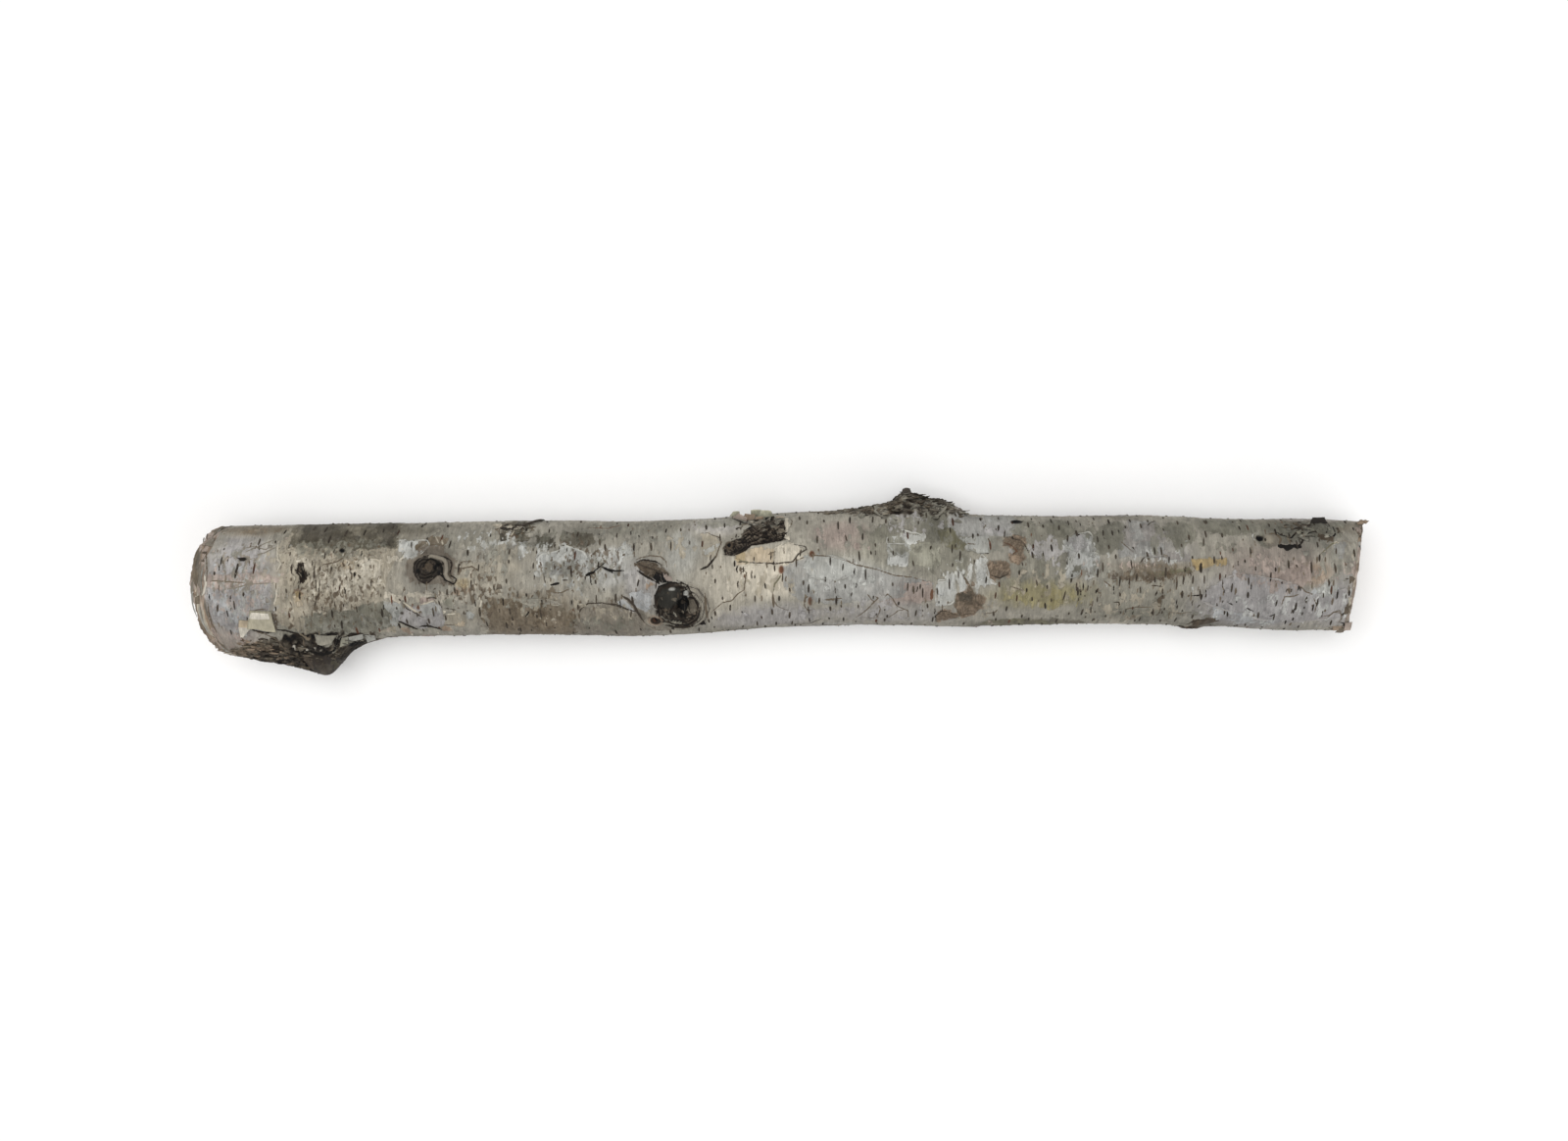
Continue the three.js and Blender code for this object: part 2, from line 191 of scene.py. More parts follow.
# Layers with drawn outlines, and one patch of painted shade: colour, lift in mm, raggedness in mm, outline as
# x and angle
BLOCKS = [
    ("beige", -0.15, 0.5, [
        (-190, 80), (-191, 67), (-192.1, 55), (-195, 49), (-195, 40), (-194.2, 27), (-192.7, 22),
        (-194.1, 15), (-193.7, 4), (-193.9, -7), (-195, -15), (-195.5, -32), (-184, -48), (-168, -58),
        (-152, -62), (-151.5, -40), (-155, -20), (-152.5, 5), (-149.5, 24), (-151, 40), (-150.5, 74),
        (-160, 88), (-176, 84),
    ]),
    ("dark_olive", 0, 1.3, [
        (-191, 84), (-186, 92), (-178, 86), (-169, 96), (-160, 88), (-151, 92), (-150.2, 60), (-150, 32),
        (-155, 34), (-159, 31), (-178, 36), (-186, 42), (-190.5, 40),
    ]),
    ("algae", 0, 1.6, [(-189, 84), (-181, 92), (-175, 80), (-171.6, 45), (-179, 43), (-187, 46)]),
    ("algae", 0, 1.6, [(-161, 80), (-153, 86), (-151, 60), (-151, 36), (-156, 38), (-159, 56)]),
    ("olive", 0, 0.9, [
        (-184, -47), (-185, -28), (-172, -24), (-155, -21), (-153, -34), (-152.6, -52), (-160, -62),
    ]),
    ("pink", 0.05, 0.3, [
        (-222, 14), (-210, 14), (-200, 15), (-193, 8), (-193.5, 5), (-200, 5), (-208, 3), (-215, 1),
        (-222, 5),
    ]),
    ("rosy", 0.08, 0.25, [(-219, 6.5), (-209.4, 8), (-200, 11), (-193.6, 8), (-200.6, 7), (-209.3, 4)]),
    # Painted shade beside the right side of the curled flap at the left end; it also sinks the bark a little.
    ("umber", -0.1, 0.3, [(-196.9, -19), (-194.8, -25), (-195.1, -41), (-196.7, -41), (-196.8, -28)]),
    ("honey", 0.05, 0.3, [(-170.8, 19), (-168.5, 22), (-166, 20), (-165.5, 12), (-167.7, 11), (-169.8, 11)]),
    ("cream", 0.18, 0.4, [
        (-164.9, 10), (-162.3, 14), (-161.4, 20), (-159.3, 21), (-155.9, 18), (-155.5, 5), (-156.4, 9),
        (-157.3, 3), (-158.1, 2), (-158.6, 10), (-159.4, 6), (-160.3, 7), (-163, 7),
    ]),
    ("chalk", 0.2, 0.2, [
        (-178.3, 6), (-177.2, 3), (-175, 3), (-173.5, 5), (-173.3, 3), (-174.2, 2), (-174.5, -1), (-175, -3),
        (-175.8, -1), (-177.2, 0), (-178, 2),
    ]),
    ("chalk", 0.2, 0.2, [(-181.2, 13), (-179.4, 12), (-179.5, 9), (-180.5, 10)]),
    ("cream", 0.15, 0.2, [(-173.2, -2), (-172.1, -3), (-171.2, -7), (-171.6, -9), (-172.5, -6)]),
    ("chalk", 0.2, 0.2, [(-165.7, 4), (-164.5, 2), (-164.3, -1), (-165.4, -1)]),
    ("cream", 0.15, 0.3, [
        (-172.2, -22), (-170.3, -21), (-168, -23), (-167.8, -27), (-169.2, -28), (-172.1, -26),
    ]),
    ("cream", 0.15, 0.2, [(-181.7, -25), (-178.7, -24), (-177.6, -24), (-178.8, -26), (-181.2, -26)]),
    ("cream", 0.18, 0.4, [(-153.6, 24), (-149.2, 25), (-150.2, 19), (-152.3, 18), (-152.8, 12)]),
    ("skin", 0.05, 0.5, [(-128, 31), (-113.7, 35), (-113.2, 17), (-127.5, 16)]),
    ("white", 0.3, 0.35, [
        (-149.5, 32), (-149.4, 44), (-144.6, 43), (-139, 41), (-137.6, 33), (-141.4, 23), (-145, 19),
        (-147, 23),
    ]),
    ("brown", -0.1, 0.5, [
        (-143, 30), (-141, 26), (-138.4, 34), (-134.7, 35), (-132.3, 33), (-131, 44), (-136, 50), (-141, 44),
    ]),
    ("dark_olive", -0.1, 0.5, [(-105.8, 50), (-101.6, 52), (-99.5, 42), (-100.5, 37), (-104.2, 38)]),
    ("dark_olive", -0.1, 0.5, [(-97.2, 47), (-90.5, 44), (-89.3, 32), (-92, 30), (-96.2, 32)]),
    ("dark_olive", -0.12, 0.4, [(-87, 52), (-75.7, 54), (-74.7, 39), (-78.2, 32), (-85.4, 34), (-87.7, 42)]),
    ("umber", 0.1, 0.7, [(-111.7, 72), (-101.5, 76), (-100, 54), (-105.4, 40), (-108, 47), (-111.2, 49)]),
    ("white", 0.25, 0.3, [(-103.5, 38), (-100.5, 37), (-100.8, 24), (-102.5, 19), (-103.8, 27)]),
    ("skin", 0.1, 0.3, [(-108, 45), (-105, 43), (-105, 29), (-107.5, 31)]),
    ("slate", 0, 0.4, [(-80, 25), (-76.8, 24), (-74.3, 6), (-91.6, 3), (-91.6, 10), (-81, 14)]),
    ("white", 0.25, 0.4, [
        (-86, 33), (-79.3, 28), (-77.4, 22), (-74.3, 9), (-81, 14), (-85.6, 12), (-89.3, 18), (-92.2, 13),
        (-91.6, 10), (-94, 6), (-95.8, 10), (-95.3, 20), (-94.2, 24), (-88.3, 27),
    ]),
    ("brown", 0, 3.2, [
        (-115.6, -19), (-105, -19), (-92, -28), (-83, -44), (-80, -62), (-84, -84), (-93, -92), (-103, -82),
        (-111, -94), (-117, -76), (-115, -58), (-116, -45),
    ]),
    ("skin", 0.15, 0.4, [(-105, -21), (-91.8, -22), (-87, -28), (-97.8, -26), (-102.6, -24)]),
    ("taupe", 0, 2.6, [
        (-80, -34), (-64.5, -19), (-59.3, -31), (-55.5, -54), (-52, -70), (-57, -84), (-66, -92), (-73, -80),
        (-80, -84), (-82, -60),
    ]),
    ("blue_white", 0.15, 0.3, [(-63.9, -21), (-59.3, -31), (-58, -36), (-63, -33), (-65.8, -26)]),
    ("taupe", 0, 0.4, [
        (-63.3, -22), (-58.7, -33), (-58, -56), (-54.6, -67), (-44.7, -61), (-51.6, -44), (-56.3, -34),
    ]),
    ("mist", 0.15, 0.4, [(-67.6, 24), (-66, 32), (-63, 40), (-60, 35), (-59.2, 24), (-64.5, 21)]),
    ("slate", 0.05, 0.8, [
        (-3, 3), (8, 12), (8, -6), (18, -8), (26, -4), (25.4, 4), (33, 0), (40, -6), (47, -8), (55, -14),
        (50, -26), (36, -32), (20, -36), (4, -34), (-2, -16),
    ]),
    ("mist", 0.12, 0.35, [
        (7, 12), (12, 14), (16.5, 12), (22, 8), (25.4, 4), (26, -5), (18, -10), (8, -8), (5, 2),
    ]),
    ("sage", 0, 0.3, [(46, 26), (57, 29), (57, 1), (45.5, 4)]),
    ("grey", 0, 0.2, [(38, 61), (41.7, 62), (41.4, 47), (37.8, 46)]),
    ("grey", 0.05, 0.2, [(43.5, 62), (51.4, 63), (51, 47), (43.2, 47)]),
    ("mist", 0.08, 0.2, [(37.5, 26), (46, 26), (45.2, 4), (37.4, 4)]),
    ("white", 0.1, 0.25, [(37.7, 13), (44.6, 13), (44.6, 4), (37.7, 4)]),
    ("white", 0.12, 0.25, [
        (37.6, 34), (42.4, 34), (42.8, 41), (46.7, 37), (51.8, 38), (51.7, 30), (46.5, 26), (37.5, 26),
    ]),
    ("olive", -0.1, 0.2, [
        (51.7, 69), (61.3, 70), (60.7, 45), (57.6, 43), (57, 29), (52, 29), (51.8, 38), (51, 38),
    ]),
    ("slate", 0.05, 0.25, [
        (62, 73), (86.2, 82), (90.2, 59), (89, 41), (81.6, 38), (64.7, 37), (63, 45), (61, 48),
    ]),
    ("mist", 0.1, 0.25, [(64.7, 35), (76.8, 38), (76.4, 18), (71.6, 17), (70.4, 21), (67.7, 19), (67.8, 28)]),
    ("grey", 0, 0.25, [(76.8, 38), (82, 38), (81.5, 18), (76.4, 18)]),
    ("khaki", 0, 0.5, [
        (57.3, 42), (60.7, 49), (63, 43), (64.7, 35), (67.5, 27), (67, 22), (63.8, 21), (60.3, 24),
        (57.4, 31),
    ]),
    ("white", 0.15, 0.35, [
        (71.2, 8), (73.4, 15), (75.6, 10), (75, 6), (75.7, -8), (78.7, -13), (74, -16), (71.6, -15),
        (71.2, -5),
    ]),
    ("white", 0.3, 0.2, [
        (57, -11), (59.6, -11), (59.8, -1), (60.7, -2), (61, -7), (62, -3), (62.8, -5), (63.2, -18),
        (64, -23), (62.8, -32), (60, -38), (56.3, -38), (56, -21),
    ]),
    ("white", 0.2, 0.2, [(64.6, -5), (66.7, -5), (67, -8), (67.7, -15), (67, -21), (65, -23)]),
    ("pink", 0, 0.4, [(44, -14), (54, -13), (55, -31), (50, -36), (44, -32)]),
    ("khaki", 0, 0.5, [(74, -75), (77, -62), (89, -61), (98.4, -66), (106, -74), (98, -88), (80, -88)]),
    ("olive", -0.08, 0.2, [
        (100, 68), (106.6, 68), (110, 53), (110.2, 47), (105.8, 36), (102.4, 39), (101, 49), (99, 53),
    ]),
    ("mist", 0.15, 0.3, [
        (110, 42), (115, 43), (116.4, 39), (116.2, 27), (117, 23), (115.4, 20), (119, 16), (118.7, 9),
        (117.2, 4), (113.2, 3), (110.2, -5), (105.2, -8), (105.2, -2), (107.2, 6), (108.3, 14), (110.6, 18),
        (105.5, 27), (105, 31),
    ]),
    ("white", 0.1, 0.3, [(109, 16), (118, 15), (117.5, 5), (113, 4), (108.5, 6)]),
    ("olive", -0.1, 0.2, [
        (122, 60), (127, 64), (130, 58), (129.8, 47), (129, 37), (127.8, 33), (125.6, 26), (123.4, 18),
        (119.3, 17), (117.4, 21), (116.3, 27), (116.7, 39), (119.8, 49),
    ]),
    ("slate", 0, 0.2, [(131.4, 66), (140, 65), (138, 49), (138.5, 38), (132.8, 32), (130.5, 39)]),
    ("slate", 0.1, 0.2, [
        (126.8, 34), (129.6, 27), (132.4, 18), (139, 17), (142.8, 16), (135.3, 15), (130.3, 15), (126.3, 14),
        (126, 23),
    ]),
    ("slate", 0.05, 0.2, [(132.8, 32), (138.4, 34), (144.2, 30), (143.4, 19), (139, 17), (132.4, 18)]),
    ("purple", 0, 0.4, [(139, 17), (151, 22), (153.3, 17), (153.2, 10), (144.2, 9), (136.3, 14)]),
    ("mist", 0.1, 0.3, [(144.3, 12), (148.3, 12), (148.2, 8), (144.7, 6)]),
    ("taupe", 0, 0.8, [
        (133.2, 7), (136.3, 16), (139.3, 14), (143.3, 10), (144.2, 4), (142.2, -2), (138.2, -2), (135.2, -5),
        (130.3, -11), (125.2, -8), (119.2, -2), (115.2, -8), (113.2, -2), (115.2, 3), (125.2, -3),
    ]),
    ("khaki", 0, 0.5, [
        (136.2, -1), (143.2, -1), (152.7, 4), (154.2, -1), (148.2, -3), (143.2, -5), (139.2, -8),
    ]),
    ("golden", 0.08, 0.2, [(154, 13), (160, 14), (167.2, 14), (167, 9), (160.6, 5), (155.6, 1), (154.4, 6)]),
    ("amber", 0, 0.4, [(154.4, 12), (158.6, 13), (159, 7), (156, 2), (154.6, 6)]),
    ("olive", -0.1, 0.2, [
        (146.2, 60), (153.2, 65), (155.5, 55), (155, 35), (152.7, 29), (149.5, 24), (147, 27), (147, 38),
        (144.2, 42), (144, 50),
    ]),
    ("olive", 0, 0.3, [(160.6, 70), (180, 74), (180, 48), (171.3, 42), (161.4, 45), (158.4, 53)]),
    ("umber", 0.1, 0.3, [
        (140.3, -31), (143.2, -28), (143.7, -36), (143, -45), (143.4, -59), (141.8, -58), (141.4, -41),
    ]),
    ("sage", 0.1, 0.2, [(135.5, -49), (139.5, -47), (140, -59), (136.6, -60)]),
    ("lavender", 0.1, 0.5, [
        (171.5, 0), (192.3, -9), (200.5, -20), (212.3, -14), (214, -45), (195, -57), (174.2, -48),
        (158.3, -33), (160, -17),
    ]),
    ("pink", 0.05, 0.2, [(192.4, 15), (203.6, 0), (194.7, -4), (188.8, 1)]),
    ("olive", 0.05, 0.4, [(210.8, 68), (214, 74), (216.1, 67), (214.4, 56), (212.5, 57), (210.5, 60)]),
    ("slate", 0.08, 0.3, [(208.1, 32), (213.4, 35), (212.3, 26), (211.3, 17), (207.8, 18)]),
    ("rosy", 0.08, 0.35, [(211.5, 13), (216.1, 15), (216.5, 7), (215.9, 0), (211.7, 3)]),
    ("brown", -0.1, 0.4, [(216.7, 17), (218.6, 14), (218.4, 7), (216.5, 6), (216, 11)]),
    ("mist", 0.1, 0.3, [(201.6, -12), (205.1, -6), (208.8, -13), (207.5, -20), (203.8, -24), (201.9, -20)]),
    ("brown", 0.1, 0.4, [(210.2, -66), (213.1, -62), (214.8, -63), (216, -76), (214, -84), (211, -80)]),
]

# Cracks and peel lines, and a few lines of painted shadow: width in mm, colour, depth in mm, route as x and
# angle
LINES = [
    (0.55, "umber", 0.2, [(-178.8, 20), (-176.1, 19), (-173.8, 20), (-172.2, 21), (-170.4, 24), (-168, 25)]),
    (0.35, "knot", 0.1, [(-179.9, 6), (-179.7, -1), (-179.5, -7)]),
    (0.45, "knot", 0.15, [
        (-178.3, 4), (-178.2, 1), (-178.7, -7), (-178.9, -10), (-179.7, -14), (-180.4, -19), (-180.7, -21),
    ]),
    (0.6, "chalk", -0.15, [(-179, 6), (-178.8, 0), (-179, -6)]),
    (0.6, "cream", -0.15, [(-158.7, -3), (-154.4, -3), (-153.6, -9)]),
    (0.6, "knot", 0.1, [(-174.3, 17), (-174.1, 14), (-174.4, 10)]),
    (0.9, "deep", 0.2, [(-165.5, 10), (-165.3, 7), (-165.4, 5)]),
    (0.8, "knot", 0.1, [(-164.4, 17), (-163.9, 14)]),
    (0.5, "knot", 0.1, [(-159.1, 1), (-159.1, -6)]),
    (0.5, "umber", 0.1, [(-159.6, 17), (-159.3, 11)]),
    (0.6, "umber", 0.1, [(-174.7, -16), (-174.6, -25)]),
    (0.5, "umber", 0.1, [(-172.5, -22), (-172.8, -26)]),
    (0.5, "umber", 0.1, [(-158.2, -6), (-157.3, -10)]),
    (0.5, "umber", 0.1, [(-169.7, -6), (-169.8, -12)]),
    (0.4, "umber", 0.1, [(-173.5, -8), (-172.7, -12), (-172, -16)]),
    (0.4, "umber", 0.1, [(-171.1, -8), (-170.1, -14), (-168.7, -20)]),
    (0.7, "deep", 0.15, [(-205.7, 28), (-208, 28), (-210.2, 30)]),
    (0.8, "deep", 0.3, [(-196.6, -40), (-192.4, -42), (-186.2, -48)]),
    (0.45, "brown", 0.1, [(-219.5, 9), (-213.8, 8), (-204.3, 6)]),
    (0.45, "taupe", 0.1, [(-213.7, 1), (-209.3, 2), (-204.3, 5), (-199.9, 5), (-194.2, 5)]),
    (0.35, "taupe", 0.08, [(-209.6, 39), (-204.7, 42), (-199.7, 38), (-195.7, 45)]),
    (0.35, "taupe", 0.08, [(-207.4, 35), (-202.8, 42), (-196.2, 51)]),
    (0.35, "taupe", 0.08, [(-204, 31), (-200, 34), (-195.4, 41)]),
    (0.6, "chalk", -0.15, [(-195.3, 48), (-195.3, 40), (-194.5, 27), (-193, 22), (-194.4, 15)]),
    (0.5, "chalk", -0.12, [(-194, 4), (-194.2, -7), (-195.3, -15)]),
    (0.5, "umber", 0.2, [(-206.9, -56), (-204.2, -58), (-200.9, -54), (-200.2, -60)]),
    (0.5, "umber", 0.2, [(-204, -41), (-199.9, -45), (-196.5, -51), (-193.7, -63), (-191.2, -70)]),
    (0.8, "bone", -0.15, [(-221.5, 16), (-220.4, 7), (-221.3, -1), (-222.5, -4)]),
    (0.45, "umber", 0.15, [(-220.9, 52), (-221.5, 33), (-220.3, 16), (-220.4, 3)]),
    (0.45, "umber", 0.15, [(-220, -9), (-219.9, -20), (-219.6, -31), (-218.3, -41)]),
    (0.5, "umber", 0.15, [(-125.7, 16), (-124, 17), (-120.4, 17)]),
    (0.55, "umber", 0.15, [(-127.7, 10), (-124.5, 10), (-121, 12), (-119, 9), (-119.7, 7)]),
    (0.5, "cream", -0.25, [(-107, 45), (-105.4, 55), (-104.3, 64)]),
    (1.3, "soot", 0.6, [(-77.4, 3), (-76.4, 5), (-74.3, 6.5)]),
    (0.9, "soot", 0.5, [(-75, 6), (-72, 13), (-69, 9), (-66, 8), (-62.6, 8.5)]),
    (0.5, "soot", 0.3, [(-69, 9), (-66.8, 5)]),
    (0.5, "soot", 0.3, [(-72, 13), (-70.6, 16)]),
    (1.0, "soot", 0.3, [(-90.8, -7), (-87.4, -5)]),
    (0.4, "knot", 0.1, [(-86.5, -2), (-84.4, -2)]),
    (0.7, "soot", 0.3, [(-101.2, -41), (-100, -37), (-99.4, -32)]),
    (0.55, "knot", 0.25, [(-80.8, -42), (-80, -34), (-77, -27), (-71.5, -26), (-66.7, -29), (-62, -34)]),
    (0.5, "rust", 0.2, [(-78.4, 63), (-70, 61), (-64.8, 70)]),
    (0.35, "umber", 0.1, [(-83.8, -11), (-87, -15), (-90.5, -15)]),
    (0.6, "knot", 0.2, [(-69.4, -27), (-65.8, -28), (-61.7, -33), (-58, -36)]),
    (1.1, "knot", 0.4, [(-64.2, -18), (-61.5, -22), (-59, -30), (-57.6, -39), (-55.5, -52)]),
    (0.6, "umber", 0.25, [(-56.5, -48), (-50.3, -66), (-43, -63)]),
    (0.4, "umber", 0.15, [(-58.5, 18), (-56.7, 21), (-53, 23), (-49, 21), (-46.8, 15), (-46.5, 8)]),
    (0.55, "deep", 0.2, [(-43, -3), (-38.7, -9), (-36.2, -22), (-33.8, -36)]),
    (0.5, "umber", 0.15, [(-59.3, 31), (-59, 20)]),
    (0.9, "deep", 0.2, [(-34.2, 5), (-31, 8), (-28, 17)]),
    (0.4, "knot", 0.2, [
        (-0.5, 25), (6, 22), (6.7, 19), (3.4, 14), (1.3, 7), (-4.7, 6), (-13, 8), (-20.2, 10),
    ]),
    (0.5, "umber", 0.15, [
        (-19.3, 7), (-16.3, -1), (-17.2, -18), (-19.6, -22), (-22, -29), (-25.4, -30), (-30.2, -41),
    ]),
    (0.6, "khaki", 0.1, [(-3, -4), (-3.5, -7), (-5.6, -14), (-6.2, -24)]),
    (1.0, "umber", 0.2, [(-6.2, -24), (-6, -41)]),
    (0.4, "umber", 0.1, [(-5.6, -33), (-4.7, -39), (-1.7, -45), (1, -47)]),
    (0.35, "umber", 0.1, [(7.6, -27), (5.8, -32), (5.8, -40), (7, -46), (10.3, -45)]),
    (0.4, "knot", 0.15, [(1, -73), (8, -74), (10.4, -67), (12.5, -63)]),
    (0.35, "umber", 0.1, [(13.6, -32), (20.5, -30)]),
    (0.9, "umber", 0.3, [(-32.2, -18), (-31.8, -34), (-31.3, -51)]),
    (0.4, "umber", 0.1, [(25.3, -62), (28.2, -51), (32.2, -36), (34, -30), (32.7, -28)]),
    (0.4, "umber", 0.1, [(34, -36), (35, -44), (33.8, -60), (27.7, -60)]),
    (0.45, "umber", 0.1, [
        (36, -30), (37.5, -25), (39.4, -30), (41.3, -40), (45.6, -46), (46, -56), (44.7, -62),
    ]),
    (0.4, "umber", 0.1, [(37.4, -61), (42, -46), (44.4, -45)]),
    (0.4, "umber", 0.1, [(29.7, -25), (31.6, -32), (32.8, -36)]),
    (0.35, "umber", 0.1, [(13, -32), (19, -33)]),
    (0.4, "umber", 0.1, [(74.6, -49), (77, -50), (79.4, -47), (80.2, -42)]),
    (0.4, "knot", 0.1, [(73.4, 17), (76.4, 17)]),
    (0.35, "umber", 0.1, [(67.8, 28), (71.7, 27)]),
    (0.9, "umber", 0.2, [(65.5, -3), (67.3, -10), (69, -18), (70.5, -23)]),
    (1.2, "rust", 0.2, [(54.5, -20), (54.4, -32)]),
    (0.35, "umber", 0.1, [(84.2, -16), (87.8, -19), (89.7, -21)]),
    (0.45, "umber", 0.15, [(129.3, -46), (133.7, -44), (140.3, -43)]),
    (0.45, "umber", 0.15, [(147.3, -68), (146.7, -51), (151.4, -53), (155.7, -50)]),
    (0.5, "umber", 0.15, [(142.7, -69), (148.6, -73)]),
    (0.5, "knot", 0.1, [(138.3, -16), (143, -17)]),
    (0.8, "deep", 0.2, [(154, -27), (158, -26), (158, -32)]),
    (0.5, "knot", 0.1, [(157, -43), (157.8, -38)]),
    (0.5, "umber", 0.1, [(126.8, 33), (132.4, 18)]),
    (0.4, "knot", 0.1, [(133.7, 7), (135.3, 13), (136.8, 16)]),
    (0.5, "knot", 0.1, [(138.4, 56), (139.8, 62), (142, 66)]),
    (0.45, "knot", 0.1, [(124.4, -36), (127, -36)]),
    (0.5, "umber", 0.1, [(120.3, -11), (123.4, -18)]),
    (0.7, "umber", 0.1, [(154.2, 7), (155.2, 2)]),
    (0.35, "umber", 0.1, [(188.3, -35), (189.2, -23), (192.6, -22), (194.5, -20)]),
    (0.35, "umber", 0.1, [(194.3, -10), (197, -17), (200.5, -20)]),
    (0.35, "umber", 0.1, [(200, -22), (201.8, -31), (201.6, -41)]),
    (0.4, "umber", 0.1, [(202.5, -53), (207.2, -48), (209, -40), (211.6, -41), (212.7, -48), (212, -57)]),
    (0.6, "deep", 0.15, [(167.8, -32), (170.5, -36)]),
    (0.6, "deep", 0.15, [(175.6, -38), (178.3, -42)]),
    (0.6, "deep", 0.15, [(184.5, -47), (187, -44)]),
    (0.6, "khaki", 0.1, [(202.5, 20), (208, 33), (210.2, 35)]),
    (0.4, "umber", 0.1, [
        (-2, 4), (8, 13), (16.5, 12), (22, 8), (25.4, 4), (33, 0), (40, -6), (47, -8), (55, -14),
    ]),
    # Painted shadow: a thin dark line along the top edge of the curled flap at the left end, and a dark line
    # under its lower edge.
    (0.5, "umber", 0.15, [(-204.1, -19), (-200.2, -18), (-197.4, -19)]),
    (0.9, "deep", 0.4, [(-205.4, -37), (-204, -40), (-199.8, -43), (-196.2, -43)]),
    (0.8, "soot", 0.3, [(219.8, 53), (219.7, 49)]),
    (1.2, "soot", 0.3, [(218.3, 34), (219, 32), (219, 28)]),
    (0.7, "umber", 0.15, [(211.9, 14), (212.2, 8)]),
    (0.6, "umber", 0.15, [(208.4, 9), (208.3, 3)]),
    (0.7, "umber", 0.15, [(213.5, -10), (213.5, -19)]),
    (0.8, "deep", 0.15, [(209.3, -14), (209.1, -25)]),
    (0.6, "umber", 0.15, [(215.7, -13), (215.7, -19)]),
    (0.7, "umber", 0.15, [(201.4, 18), (201.1, 12)]),
    (0.7, "umber", 0.15, [(204.5, 18), (204.3, 12)]),
    (0.7, "knot", 0.1, [(211.9, -3), (213.2, -3)]),
    (0.8, "knot", 0.1, [(214.7, -2), (215.6, -4)]),
    (0.45, "umber", 0.15, [(203.7, -51), (206, -46), (208, -44), (208.9, -40), (211.2, -38), (212.5, -44)]),
    (0.45, "taupe", 0.1, [(211.1, 36), (213, 38), (214.4, 36), (215.4, 33)]),
    (0.7, "soot", 0.4, [(212.6, -56), (214.4, -58), (215, -64), (215.8, -56)]),
    (0.6, "deep", 0.4, [(215.2, -68), (215.9, -60), (216.8, -56)]),
    (0.45, "chalk", -0.15, [(208.4, 31), (208.9, 34), (209.6, 35), (210.6, 34)]),
]

